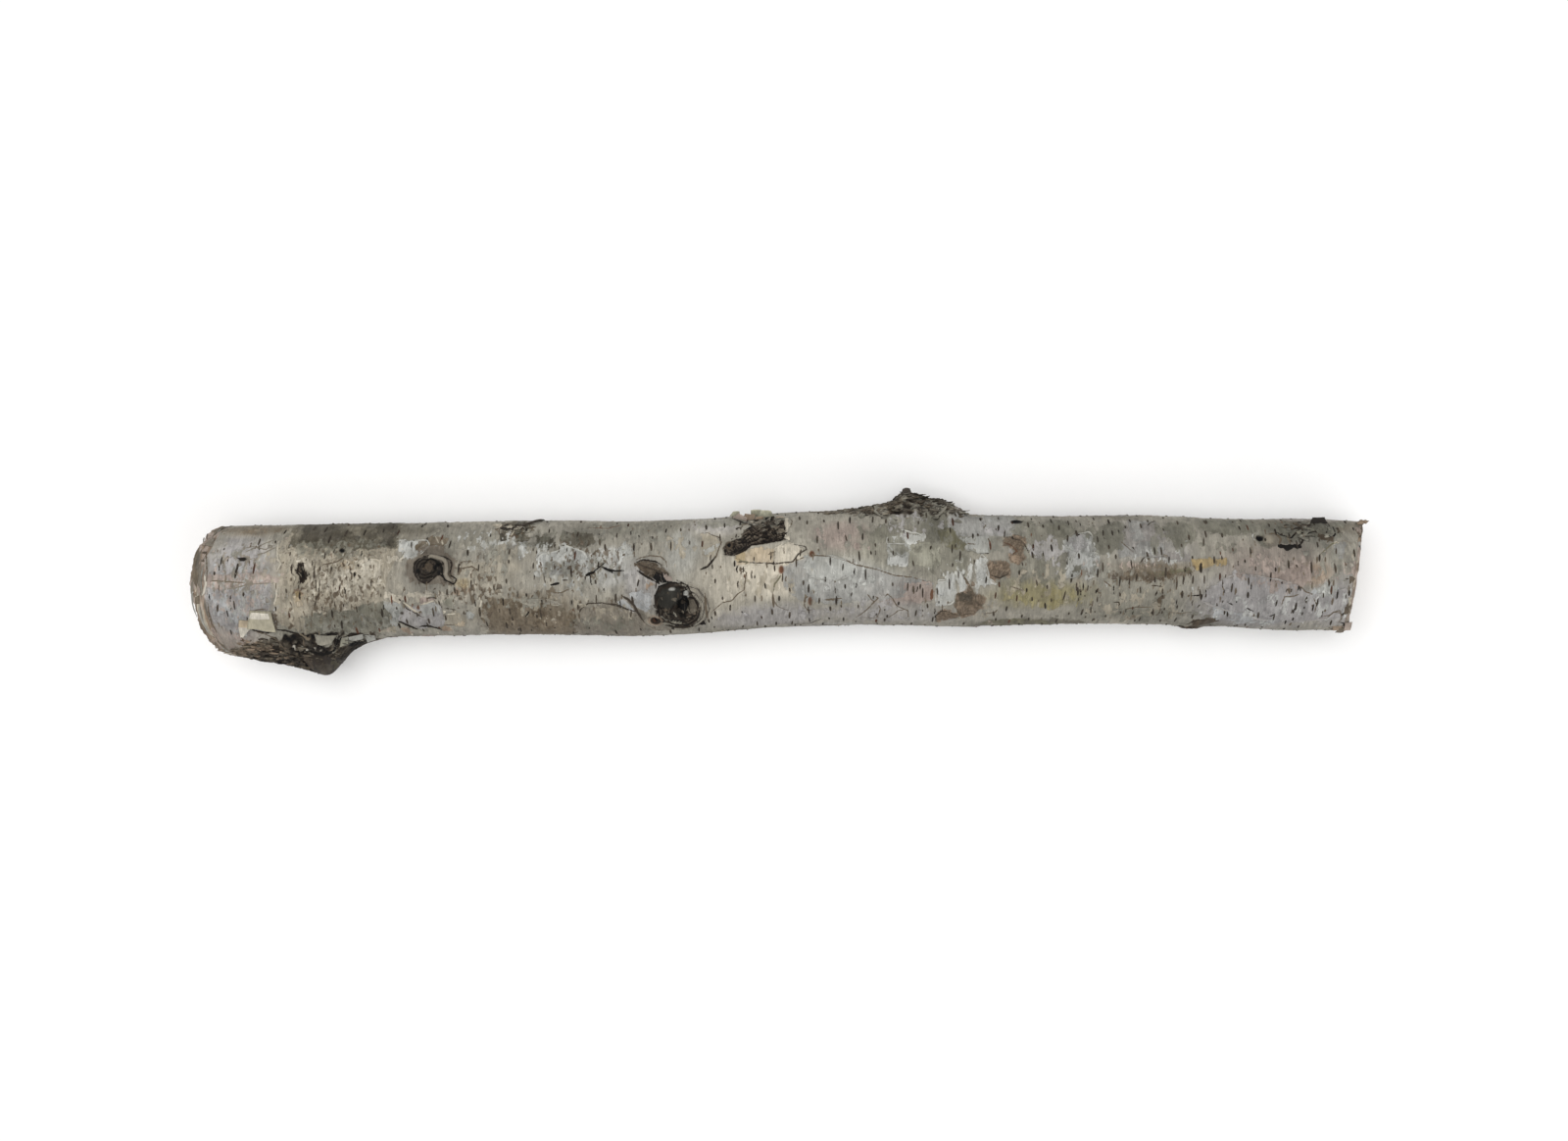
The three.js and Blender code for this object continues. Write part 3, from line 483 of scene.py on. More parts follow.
# Stretches of ragged flecks and blocks: colour, x, angle, half size along in mm, half size round in degrees,
# cover, width of one fleck in mm
SCUFFS = [
    ("cream", -170, 0, 16, 26, 0.7, 1.6), ("cream", -160, 8, 10, 18, 0.6, 2.2),
    ("beige", -172, -20, 20, 16, 0.7, 2.4), ("olive", -172, 36, 22, 18, 0.7, 3.0),
    ("algae", -172, 52, 22, 12, 0.6, 3.0), ("grey", -165, -45, 24, 16, 0.6, 3.2),
    ("cream", -136, -18, 16, 9, 0.7, 1.7), ("cream", -122, -4, 5, 14, 0.6, 1.6),
    ("white", -128, -45, 6, 12, 0.5, 1.8), ("tan", -124, -10, 5, 8, 0.6, 1.5),
    ("white", -116, 44, 14, 18, 0.6, 2.4), ("grey", -114, 20, 14, 34, 0.6, 3.0),
    ("dark_olive", -106, 62, 8, 20, 0.8, 2.6), ("olive", -95, 42, 12, 16, 0.7, 3.0),
    ("white", -92, 26, 12, 14, 0.65, 2.4), ("grey", -88, 8, 16, 16, 0.6, 3.5),
    ("brown", -98, -46, 22, 24, 0.75, 3.0), ("beige", -92, -30, 18, 18, 0.6, 2.4),
    ("olive", -80, 48, 14, 14, 0.6, 2.6), ("grey", -74, 8, 12, 24, 0.6, 3.2),
    ("white", -68, 24, 10, 12, 0.6, 2.0), ("olive", -70, -52, 16, 18, 0.65, 2.8),
    ("beige", -66, -38, 14, 14, 0.6, 2.2), ("grey", -55, 50, 18, 18, 0.6, 3.2),
    ("beige", -42, 28, 10, 24, 0.5, 3.0), ("cream", -22, -10, 12, 26, 0.5, 3.5),
    ("grey", -26, 58, 14, 12, 0.5, 2.6), ("beige", -6, -14, 18, 26, 0.5, 3.2),
    ("lavender", -4, -50, 24, 20, 0.5, 3.6), ("white", 24, -14, 18, 18, 0.4, 3.0),
    ("grey", 20, 32, 16, 22, 0.5, 3.4), ("pink", 24, 30, 16, 18, 0.4, 3.6),
    ("lavender", 34, -46, 24, 18, 0.5, 3.4), ("olive", 40, 34, 16, 26, 0.65, 4.5),
    ("lavender", 48, 50, 20, 20, 0.5, 3.6), ("olive", 62, 16, 14, 28, 0.6, 4.5),
    ("white", 66, -14, 10, 28, 0.6, 2.2), ("lavender", 76, 52, 16, 18, 0.5, 4.0),
    ("beige", 72, -44, 14, 18, 0.55, 2.6), ("olive", 98, 46, 16, 24, 0.7, 5.0),
    ("lavender", 104, 20, 20, 28, 0.55, 4.5), ("olive", 100, -4, 20, 20, 0.6, 4.0),
    ("beige", 98, -20, 22, 26, 0.5, 3.0), ("moss", 98, -32, 22, 16, 0.6, 2.6),
    ("dark_olive", 98, -70, 26, 14, 0.6, 3.0), ("white", 113, 14, 10, 28, 0.6, 3.0),
    ("olive", 122, 36, 12, 26, 0.65, 4.5), ("grey", 124, -8, 14, 20, 0.6, 4.0),
    ("white", 138, 18, 18, 12, 0.55, 2.6), ("brown", 140, -2, 18, 14, 0.7, 2.0),
    ("purple", 136, 46, 12, 24, 0.6, 4.0), ("olive", 146, 40, 12, 28, 0.6, 4.5),
    ("beige", 132, -40, 28, 34, 0.5, 3.4), ("olive", 140, -60, 26, 22, 0.6, 3.2),
    ("olive", 172, 38, 16, 24, 0.6, 4.0), ("pink", 186, -4, 18, 22, 0.6, 3.0),
    ("lavender", 176, -40, 22, 34, 0.5, 4.0), ("white", 180, -46, 24, 26, 0.4, 2.4),
    ("grey", 196, 46, 24, 24, 0.65, 3.4), ("grey", 208, 10, 14, 30, 0.5, 2.6),
    ("white", 208, -34, 12, 28, 0.45, 2.6), ("grey", -208, 30, 14, 26, 0.5, 2.6),
    ("blue_white", -208, -10, 14, 40, 0.5, 3.4), ("pink", -210, -48, 12, 22, 0.5, 2.4),
    ("beige", -197, 24, 3, 34, 0.6, 1.8), ("brown", -206, 66, 14, 12, 0.6, 2.6),
    ("rosy", -208, 2, 13, 44, 0.55, 1.5), ("mist", -206, -8, 13, 50, 0.5, 1.7),
    ("taupe", -209, 20, 12, 30, 0.45, 1.4), ("umber", -172, -4, 18, 36, 0.42, 1.1),
    ("chalk", -166, 6, 16, 20, 0.45, 1.2), ("umber", -124, -12, 18, 34, 0.42, 1.2),
    ("umber", -98, -38, 18, 26, 0.42, 1.3), ("mist", -84, 6, 14, 26, 0.5, 1.5),
    ("umber", -76, 20, 16, 26, 0.4, 1.2), ("rosy", 130, 6, 14, 4, 0.6, 1.2),
    ("umber", 134, -6, 18, 7, 0.45, 1.3), ("rosy", 186, 6, 16, 20, 0.45, 1.4),
    ("mist", 20, -8, 20, 22, 0.5, 2.2), ("brown", -100, -14, 18, 8, 0.5, 2.2),
    ("grey", -100, -25, 18, 8, 0.5, 2.2),
]

# Lighter and darker stretches of the skin: x, angle, half size along in mm, half size round in degrees, gain
TONES = [
    (-208, 34, 13, 17, 1.07), (-208, -18, 12, 24, 0.97), (-204, 7, 16, 8, 1.04), (-205, 64, 14, 12, 1.09),
    (-172, 60, 20, 21, 1.08), (-169, -2, 15, 27, 0.97), (-173, -38, 21, 17, 0.93), (-139, -36, 16, 20, 0.93),
    (-136, 10, 10, 26, 0.87), (-95, 41, 5, 9, 0.86), (-80, 48, 8, 16, 0.93), (-87, 19, 9, 15, 0.93),
    (-104, 31, 4, 13, 0.95), (-55, -28, 4, 16, 0.87), (-41, 25, 6, 27, 1.03), (-28, 55, 10, 20, 1.11),
    (-6, -5, 14, 26, 1.06), (25, -10, 17, 26, 1.1), (44, 29, 7, 9, 1.07), (56, 47, 5, 17, 0.92),
    (76, 54, 14, 16, 1.05), (61, 11, 11, 19, 1.05), (32, 21, 5, 16, 1.05), (47, -24, 8, 14, 0.95),
    (73, -3, 3, 13, 0.96), (112, 17, 7, 27, 0.9), (161, 8, 7, 8, 0.96), (173, -41, 18, 41, 0.94),
    (184, 11, 16, 23, 0.91), (198, 47, 12, 26, 0.85), (140, -50, 5, 24, 0.95), (41, 11, 5, 10, 0.95),
    (60, -22, 4, 21, 0.96), (199, 2, 6, 10, 0.99), (148, 49, 5, 17, 0.96), (124, 41, 7, 23, 0.97),
    (-70, -47, 13, 25, 0.97), (-107, 60, 7, 18, 1.05), (-67, 26, 8, 9, 1.05), (56, 8, 4, 10, 0.97),
    (-98, -52, 20, 26, 1.04), (98, -72, 26, 14, 1.04),
]

# The whole skin: contrast, and what the dark places have more of it; painted light: how much lighter the side
# with the burl gets and how much darker the other; darkest screen value; and gain of red, green and blue
CONTRAST = 1.1
DARK_CONTRAST = 0.12
PAINTED_SIDE_LIGHT = 0.04
DARKEST = 10
WHOLE_TONE = (1.01, 1.015, 1.025)

# Half the width in mm of the thinnest line that the division of the bark can show
THINNEST = 0.25

# How far in mm a place lies inside a layer or a line where there is none
NO_LAYER = -5.0

# Short cracks round the branch, in crowds: x, angle, half size along in mm, half size round in degrees,
# how many, longest in mm, widest in mm
CHAPPED = [
    (-207, -4, 13, 50, 26, 3.0, 0.5), (-174, 2, 20, 30, 34, 3.0, 0.6), (-172, -40, 20, 14, 14, 3.0, 0.6),
    (-128, -20, 20, 24, 22, 3.5, 0.6), (-98, -38, 18, 26, 28, 3.5, 0.7), (-88, 14, 14, 22, 20, 3.0, 0.6),
    (-66, -4, 10, 30, 12, 3.0, 0.6), (-26, -16, 12, 34, 12, 3.5, 0.7), (-4, -14, 16, 32, 14, 3.2, 0.7),
    (24, -14, 20, 32, 10, 3.2, 0.7), (60, -40, 14, 22, 14, 3.0, 0.6), (100, -14, 16, 22, 12, 3.0, 0.6),
    (131, -15, 20, 12, 30, 4.5, 0.6), (160, -10, 10, 26, 22, 4.0, 0.6), (132, -46, 24, 24, 24, 3.5, 0.6),
    (186, 4, 16, 22, 14, 3.0, 0.8), (184, -34, 24, 30, 20, 3.6, 0.9), (192, 52, 20, 20, 20, 4.0, 0.6),
    (-60, 52, 30, 18, 16, 3.0, 0.6), (100, 50, 30, 22, 18, 3.4, 0.6),
]

# Share of each colour among the short cracks
CHAPPED_INKS = {"umber": 0.36, "knot": 0.26, "deep": 0.18, "rust": 0.04, "brown": 0.16}

# Corky bark: x, angle, half size along in mm, half size round in degrees, depth in mm, dark and light colour,
# pale share
CORKY = [
    (-201, -78, 17, 27, 0.5, "umber", "tan", 0.4), (-184, -86, 26, 32, 0.7, "deep", "ridge", 0.2),
    (-184, -54, 14, 9, 0.7, "deep", "ridge", 0.35), (-168, -64, 9, 9, 0.6, "knot", "ash", 0.9),
    (45, 84, 23, 24, 0.8, "knot", "ash", 0.7), (28, 79, 19, 13, 0.4, "umber", "ash", 0.6),
    (46, 108, 26, 20, 0.9, "knot", "ridge", 0.3), (68, -134, 13, 9, 0.9, "knot", "ridge", 0.3),
    (157, -88, 6, 8, 0.5, "knot", "tan", 0.6),
]

# How finely the bark is divided: along it, and round it more closely on the upper side
RINGS = 1072
UPPER_REACH = 100
UPPER_SIDES = 210
LOWER_SIDES = 110
SIDE_ANGLES = np.concatenate((
    np.linspace(-UPPER_REACH, UPPER_REACH, UPPER_SIDES + 1),
    np.linspace(UPPER_REACH, 360 - UPPER_REACH, LOWER_SIDES + 1)[1:-1],
))
SIDES = len(SIDE_ANGLES)
SEAM = int(np.searchsorted(SIDE_ANGLES, 180))
STRETCHES = ("bark_left", "bark_mid_left", "bark_mid_right", "bark_right")

# The sawn ends: steps from the middle out, mean radius, width of a ring, number of drying checks, half width
# of the widest, and thickness of the bark
END_STEPS = 40
END_RADIUS = 22.5
RING_WIDTH = 1.35
CHECKS = 15
WIDEST_CHECK = 0.34
BARK_THICKNESS = 2.0

# Colour of the bottom of the fissures, as linear light
FISSURE_COLOUR = (0.012, 0.010, 0.008, 1)

# How chipped the skin is, from 0 to 1, at places along the branch
WORN_AT = (-230, -197, -192, -52, -45, 22, 30, 60, 150, 160, 230)
WORN = (0.55, 0.6, 1, 1, 0.6, 0.6, 0.65, 0.6, 0.6, 0.6, 0.6)


def along(rows, x, column):
    """A value that runs smoothly through rows of a table whose first column is x."""
    xs, values = rows[:, 0], rows[:, column]
    last = len(xs) - 1
    ahead, behind = np.minimum(np.arange(last + 1) + 1, last), np.maximum(np.arange(last + 1) - 1, 0)
    slopes = (values[ahead] - values[behind]) / (xs[ahead] - xs[behind])
    i = np.clip(np.searchsorted(xs, x) - 1, 0, last - 1)
    span = xs[i + 1] - xs[i]
    t = np.clip((x - xs[i]) / span, 0, 1)
    rise = t * t * (3 - 2 * t)
    bend = slopes[i] * t * (1 - t) ** 2 - slopes[i + 1] * t * t * (1 - t)
    return values[i] * (1 - rise) + values[i + 1] * rise + span * bend


def turn_between(a, b):
    """The shortest way round from one angle to another, in degrees."""
    return (a - b + 180) % 360 - 180


def bell(distance):
    """A bump that is 1 high at no distance and fades out."""
    return np.exp(-distance * distance)


def smooth(value, low, high):
    """A rise from 0 to 1, or a fall where low is the greater."""
    t = np.clip((value - low) / (high - low), 0, 1)
    return t * t * (3 - 2 * t)


def mix(colour, other, share):
    """Colours carried towards others by a share at each place."""
    colour = np.asarray(colour, float)
    return colour + (np.asarray(other, float) - colour) * np.asarray(share)[..., None]


lattice_draw = np.random.default_rng(11)
SHUFFLED = lattice_draw.permutation(256)
SLOPES = lattice_draw.normal(size=(256, 3))
SLOPES /= np.linalg.norm(SLOPES, axis=1)[:, None]
NOISE_GAIN = 1.5


def noise(p, size, seed):
    """Smooth noise of about -1 to 1 at points in mm, with bumps of that size in mm."""
    q = p / np.asarray(size, float) + 19.7 * (seed + 1)
    cell = np.floor(q).astype(np.int64)
    f = q - cell
    ease = f ** 3 * (f * (f * 6 - 15) + 10)
    total = np.zeros(len(p))
    for corner in itertools.product((0, 1), repeat=3):
        at = (cell + corner) & 255
        pick = SHUFFLED[(SHUFFLED[(SHUFFLED[at[:, 0]] + at[:, 1]) & 255] + at[:, 2]) & 255]
        weight = np.prod(np.where(corner, ease, 1 - ease), axis=1)
        total += weight * ((f - corner) * SLOPES[pick]).sum(axis=1)
    return total * NOISE_GAIN


def form_height(x, a, r):
    """Height of the trunk's own form above its plain radius, as in the solid."""
    total = sum(h * np.sin(x / reach + turns * a * DEG + phase) for h, reach, turns, phase in WAVES)
    for angle, half, profile in STUBS:
        inside = (x > profile[0, 0]) & (x < profile[-1, 0])
        height = np.maximum(0, along(profile, x, 1)) * bell(turn_between(a, angle) * DEG * r / half)
        total = total + np.where(inside, height, 0)
    for sx, angle, half_along, half_around, height in SWELLINGS + [foot_swelling(*f) for f in FEET]:
        away = np.hypot((x - sx) / half_along, turn_between(a, angle) * DEG * r / half_around)
        total = total + height * bell(away)
    for x0, a0, x1, a1, half, height in RIDGES:
        total = total + height * bell(line_distance(x, a, r, [(x0, a0), (x1, a1)])[0] / half)
    return total


def foot_swelling(x, angle):
    """The swelling that takes a low knot just below the ground."""
    at = np.array([float(x)])
    bare = along(TRUNK, at, R) + sum(
        h * np.sin(at / reach + turns * angle * DEG + phase) for h, reach, turns, phase in WAVES)
    height = (along(TRUNK, at, Z) + FOOT_TRIM) / -math.cos(angle * DEG) - bare
    return x, angle, FOOT_HALF_SIZE, FOOT_HALF_SIZE, float(height[0])


def line_distance(x, a, r, route):
    """Distance in mm along the bark to a line of (x, angle) places, and how far along it, from 0 to 1."""
    nearest, share = np.full(len(x), 1e9), np.zeros(len(x))
    last = len(route) - 1
    for k, ((x0, a0), (x1, a1)) in enumerate(zip(route, route[1:])):
        run_x, run_v = x1 - x0, turn_between(a1, a0) * DEG * r
        here_x, here_v = x - x0, turn_between(a, a0) * DEG * r
        t = np.clip((here_x * run_x + here_v * run_v) / (run_x ** 2 + run_v ** 2), 0, 1)
        away = np.hypot(here_x - t * run_x, here_v - t * run_v)
        closer = away < nearest
        nearest = np.where(closer, away, nearest)
        share = np.where(closer, (k + t) / last, share)
    return nearest, share


def middle_and_half(values):
    """The middle of a run of values, and half of how far it spreads."""
    return (min(values) + max(values)) / 2, (max(values) - min(values)) / 2


def outward(a):
    """Directions out of the trunk at angles round it."""
    return np.stack((np.zeros_like(a), np.sin(a * DEG), np.cos(a * DEG)), axis=1)


def on_form(x, a):
    """Points on the trunk's own form, without the relief of its bark."""
    r = along(TRUNK, x, R)
    axis = np.stack((x, along(TRUNK, x, Y), along(TRUNK, x, Z)), axis=1)
    return axis + outward(a) * (r + form_height(x, a, r))[:, None]


class Bark:
    """The finished bark at places given in mm along the branch and degrees round it."""

    def __init__(self, x, a):
        self.x, self.a = np.asarray(x, float).ravel(), np.asarray(a, float).ravel()
        self.r = along(TRUNK, self.x, R)
        self.out = outward(self.a)
        self.form = on_form(self.x, self.a)
        self.lumps = noise(self.form, 8, 1)
        self.warp = noise(self.form, 3.4, 2)
        self.warp2 = noise(self.form, 3.4, 3)
        self.streak = noise(self.form, (1.5, 9, 9), 4)
        self.fine = noise(self.form, 1.5, 5)
        self.height = 0.2 * self.lumps + 0.1 * self.warp + 0.07 * self.streak + 0.05 * self.fine
        self.paint()
        self.points = self.form + self.out * self.height[:, None]
        self.points[:, 2] = np.maximum(self.points[:, 2], 0)

    def paint(self):
        """Colours and relief, from the plain skin to its marks."""
        self.under = np.tile(np.array(INK["skin"], float), (len(self.x), 1))
        self.over = self.under.copy()
        self.peel = np.full(len(self.x), NO_LAYER)
        self.rough = np.zeros(len(self.x))
        self.crack = np.full(len(self.x), NO_LAYER)
        self.line = np.tile(np.array(INK["deep"], float), (len(self.x), 1))
        self.stain()
        self.tear()
        self.blocks(BLOCKS)
        self.scuff()
        self.cork()
        self.strokes(LINES + SHORT_CRACKS)
        for knot in KNOTS:
            knot(self)
        self.cut_rims()
        self.tune()

    def blocks(self, rows):
        """Torn layers, each given as in BLOCKS."""
        for ink, lift, ragged, places in rows:
            self.block(places, ink, lift, ragged)

    def strokes(self, rows):
        """Lines, each given as in LINES."""
        for width, ink, depth, route in rows:
            self.stroke(route, width, ink, depth)

    def window(self, x, angle, half_along, half_around):
        """The places near a spot, and their distances from it in mm along and round the branch."""
        u, v = self.x - x, turn_between(self.a, angle) * DEG * self.r
        i = np.nonzero((np.abs(u) < half_along) & (np.abs(v) < half_around))[0]
        return i, u[i], v[i]

    def oval(self, x, angle, half_along, half_deg, reach):
        """The places within a reach of an oval spot, and how far out each is, with 1 at its rim."""
        half_around = half_deg * DEG * MEAN_RADIUS
        i, u, v = self.window(x, angle, reach * half_along, reach * half_around)
        return i, np.hypot(u / half_along, v / half_around)

    def outline(self, places, ragged):
        """The places in and round a drawn outline, and how far in mm each lies inside it."""
        (middle, half), (mid_angle, swing) = [middle_and_half(values) for values in zip(*places)]
        i, _, _ = self.window(middle, mid_angle, half + 3, swing * DEG * GREATEST_RADIUS + 3)
        x = self.x[i] + ragged * 0.8 * self.warp[i]
        turn = turn_between(self.a[i], mid_angle) + ragged * 2 * self.warp2[i]
        closed = [(px, pa - mid_angle) for px, pa in places]
        closed.append(closed[0])
        inside = np.zeros(len(i), bool)
        for (x0, a0), (x1, a1) in zip(closed, closed[1:]):
            at = x0 + (turn - a0) * (x1 - x0) / (a1 - a0 if a1 != a0 else 1)
            inside ^= ((a0 > turn) != (a1 > turn)) & (x < at)
        away = line_distance(x, turn, self.r[i], closed)[0]
        torn = noise(self.form[i], (1.6, 2.6, 2.6), 90) + 0.5 * self.fine[i]
        return i, np.where(inside, away, -away) + 0.7 * ragged * torn

    def block(self, places, ink, lift, ragged, strength=0.9, rough=None, calm=0):
        """A torn layer with a drawn outline; calm takes away that share of the relief under it."""
        i, inside = self.outline(places, ragged)
        if len(i) == 0:
            return
        share = smooth(inside, -0.25, 0.25)
        self.height[i] -= calm * share * (self.height[i] - 0.15 * self.lumps[i])
        if rough is not None:
            self.rough[i] = self.rough[i] * (1 - share) + rough * share
        self.layer(i, inside, ink, lift, strength)

    def fissure(self, places, heading, pitch, depth, dark, light, stretch, strength=1):
        """Wavy cracks that run along a heading inside a drawn outline."""
        i, inside = self.outline(places, 0.5)
        if len(i) == 0:
            return
        share = smooth(inside, -0.3, 0.3)
        u, v = self.x[i], self.a[i] * DEG * self.r[i]
        lengthwise = u * math.cos(heading * DEG) + v * math.sin(heading * DEG)
        across = v * math.cos(heading * DEG) - u * math.sin(heading * DEG) + 0.5 * self.warp[i]
        wave = noise(np.stack((lengthwise / stretch, across, 0 * u), axis=1), pitch, 92)
        shade = smooth(np.abs(wave) + 0.1 * self.fine[i], 0.02, 0.5)
        colour = mix(INK[dark], INK[light], shade * 0.85)
        self.cover(i, colour, strength * share)
        if strength == 1:
            self.peel[i] = np.where(inside > 0.3, NO_LAYER, self.peel[i])
        self.height[i] += share * depth * (shade - 0.6)
        self.rough[i] = np.maximum(self.rough[i], 0.35 * share)

    def stain(self):
        """Soft washes of colour."""
        for ink, x, angle, half_along, half_deg, strength in WASHES + HIDDEN_WASHES:
            i, away = self.oval(x, angle, half_along, half_deg, 2)
            away = away + 0.22 * self.warp[i] + 0.12 * self.streak[i]
            self.under[i] = mix(self.under[i], INK[ink], strength * smooth(away, 1.35, 0.45))

    def layer(self, i, inside, ink, lift, strength=0.85):
        """Lays a torn layer over the places i, where inside is mm in from its edge."""
        keep = inside > -1.5
        i, inside = i[keep], inside[keep]
        shown = (self.peel[i] > 0)[:, None]
        self.under[i] = np.where(shown, self.over[i], self.under[i])
        tint = 5 * self.lumps[i] + 6 * self.warp2[i] + 5 * self.streak[i]
        share = np.clip(strength + 0.25 * self.warp[i], 0, 1)
        self.over[i] = mix(self.under[i], INK[ink], share) + tint[:, None]
        self.peel[i] = inside
        self.height[i] += lift * smooth(inside, -0.3, 0.3)

    def tear(self):
        """Layers with torn edges."""
        for seed, (ink, x, angle, half_along, half_deg, lift) in enumerate(PATCHES + HIDDEN_PATCHES):
            half_around = half_deg * DEG * MEAN_RADIUS
            least = min(half_along, half_around)
            bite = min(1.5, 0.34 * least)
            i, u, v = self.window(x, angle, half_along + 5, half_around + 6)
            if len(i) == 0:
                continue
            u = np.abs(u + (0.6 + 0.1 * half_along) * self.warp[i]) / half_along
            v = np.abs(v + (0.6 + 0.1 * half_around) * self.warp2[i] + 0.9 * self.streak[i]) / half_around
            torn = noise(self.form[i], (2.4, 3.6, 3.6), 100 + seed)
            torn = torn + 0.5 * self.fine[i] + 0.35 * self.streak[i]
            inside = (1 - (u ** 2.8 + v ** 2.8) ** (1 / 2.8)) * least + bite * torn
            self.layer(i, inside, ink, lift)

    def scuff(self):
        """Stretches of ragged flecks and blocks."""
        for seed, row in enumerate(SCUFFS + HIDDEN_SCUFFS):
            ink, x, angle, half_along, half_deg, cover, size = row
            i, away = self.oval(x, angle, half_along, half_deg, 1.3)
            if len(i) == 0:
                continue
            p = self.form[i]
            flecks = noise(p, (size, 2 * size, 2 * size), 20 + seed)
            flecks = flecks + 0.4 * noise(p, (0.6 * size, size, size), 220 + seed)
            flecks += 0.3 * self.streak[i] + 0.15 * self.fine[i]
            inside = 0.5 * size * (flecks - 1 + 1.5 * cover * smooth(away, 1.25, 0.4))
            keep = inside > -0.3
            self.layer(i[keep], inside[keep], ink, 0.05 + 0.02 * size, 0.8)

    def cork(self):
        """Dark fissured bark."""
        for x, angle, half_along, half_deg, depth, dark, light, pale in CORKY:
            i, away = self.oval(x, angle, half_along, half_deg, 1.4)
            if len(i) == 0:
                continue
            away = away + 0.25 * self.warp[i] + 0.18 * self.streak[i]
            share = smooth(away, 1.06, 0.92)
            p = self.form[i]
            fissures = 1 - np.abs(noise(p, (4.6, 2.6, 2.6), 60) + 0.3 * self.fine[i]) * 1.7
            plates = noise(p, (3.0, 1.8, 1.8), 61) + 0.35 * self.fine[i]
            crack = smooth(fissures, 0.6, 0.98)
            shade = np.clip(0.5 + 0.42 * plates - 0.55 * crack + 0.3 * noise(p, 7, 62), 0, 1)
            colour = mix(INK[dark], INK[light], shade)
            colour = mix(colour, INK["brown"], 0.5 * smooth(noise(p, 5, 64), -0.1, 0.4))
            bleached = smooth(noise(p, (3, 4, 4), 63) + 0.35 * plates, 0.18, 0.4)
            colour = mix(colour, INK["ash"], pale * bleached)
            self.cover(i, colour, share)
            self.height[i] += share * depth * (0.35 * plates - 0.75 * crack + 0.35)
            self.rough[i] = np.maximum(self.rough[i], share)

    def cover(self, i, colour, share):
        """Paints over both the skin and its torn layers."""
        self.under[i] = mix(self.under[i], colour, share)
        self.over[i] = mix(self.over[i], colour, share)

    def disc(self, x, angle, half_along, half_around, ink, strength, depth=0, edge=0.25, rough=0,
             wobble=0.12):
        """A filled round of colour, sunk by a depth in mm."""
        i, u, v = self.window(x, angle, 2 * half_along + 2, 2 * half_around + 2)
        if len(i) == 0:
            return
        away = np.hypot(u / half_along, v / half_around) + wobble * self.warp[i] + 0.5 * wobble * self.fine[i]
        share = strength * smooth(away, 1 + edge, 1 - edge)
        self.cover(i, INK[ink], share)
        self.height[i] -= depth * smooth(away, 1.2, 0.3)
        self.rough[i] = np.maximum(self.rough[i] * (1 - share), rough * share)

    def rings(self, x, angle, reach, pitch, height, start):
        """Ridges round a spot, out to a reach in mm from a share of it."""
        i, u, v = self.window(x, angle, 1.3 * reach, 1.3 * reach)
        if len(i) == 0:
            return
        away = np.hypot(u, v) + 0.5 * self.warp[i] + 0.2 * self.fine[i]
        share = smooth(away, reach, reach * 0.8) * smooth(away, start * reach, (start + 0.15) * reach)
        wave = np.sin(2 * math.pi * away / pitch)
        self.height[i] += height * wave * share
        # The ring colours are partly the knot's own ring lines and partly painted light: lighter on the
        # raised ridges and darker in the grooves.
        self.cover(i, INK["ridge"], 0.6 * share * smooth(wave, 0.2, 1))
        self.cover(i, INK["deep"], 0.6 * share * smooth(-wave, 0.2, 1))

    def stroke(self, route, width, ink, depth, taper=0.6, wander=0.15):
        """A line along places on the bark, sunk by a depth in mm, or raised if it is negative."""
        (middle, half), (mid_angle, swing) = [middle_and_half(values) for values in zip(*route)]
        i, _, _ = self.window(middle, mid_angle, half + 3, swing * DEG * MEAN_RADIUS + 4)
        if len(i) == 0:
            return
        away, share = line_distance(self.x[i], self.a[i], self.r[i], route)
        off = np.abs(2 * share - 1)
        half = np.maximum(width / 2 * (1 - taper * off ** 2), THINNEST * (1 - off ** 6))
        inside = half - away - wander * self.fine[i] * width
        near = inside > np.maximum(self.crack[i], -1.2)
        self.crack[i] = np.where(near, inside, self.crack[i])
        self.line[i] = np.where(near[:, None], INK[ink], self.line[i])
        self.height[i] -= depth * smooth(away, half * 1.9 + 0.1, half * 0.3)

    def tune(self):
        """Lighter and darker stretches, the contrast of the whole skin, and painted light that lightens the
        side with the burl and darkens the other.
        """
        for x, angle, half_along, half_deg, gain in TONES:
            i, away = self.oval(x, angle, half_along, half_deg, 1.4)
            change = 1 + (gain - 1) * smooth(away + 0.1 * self.warp[i], 1.35, 0.65)
            self.under[i] *= change[:, None]
            self.over[i] *= change[:, None]
        # Painted light and shade: the side with the burl is lightened and the other side darkened.
        upper = 1 + PAINTED_SIDE_LIGHT * np.sin(self.a * DEG)[:, None]
        self.under, self.over = upper * sharpened(self.under), upper * sharpened(self.over)

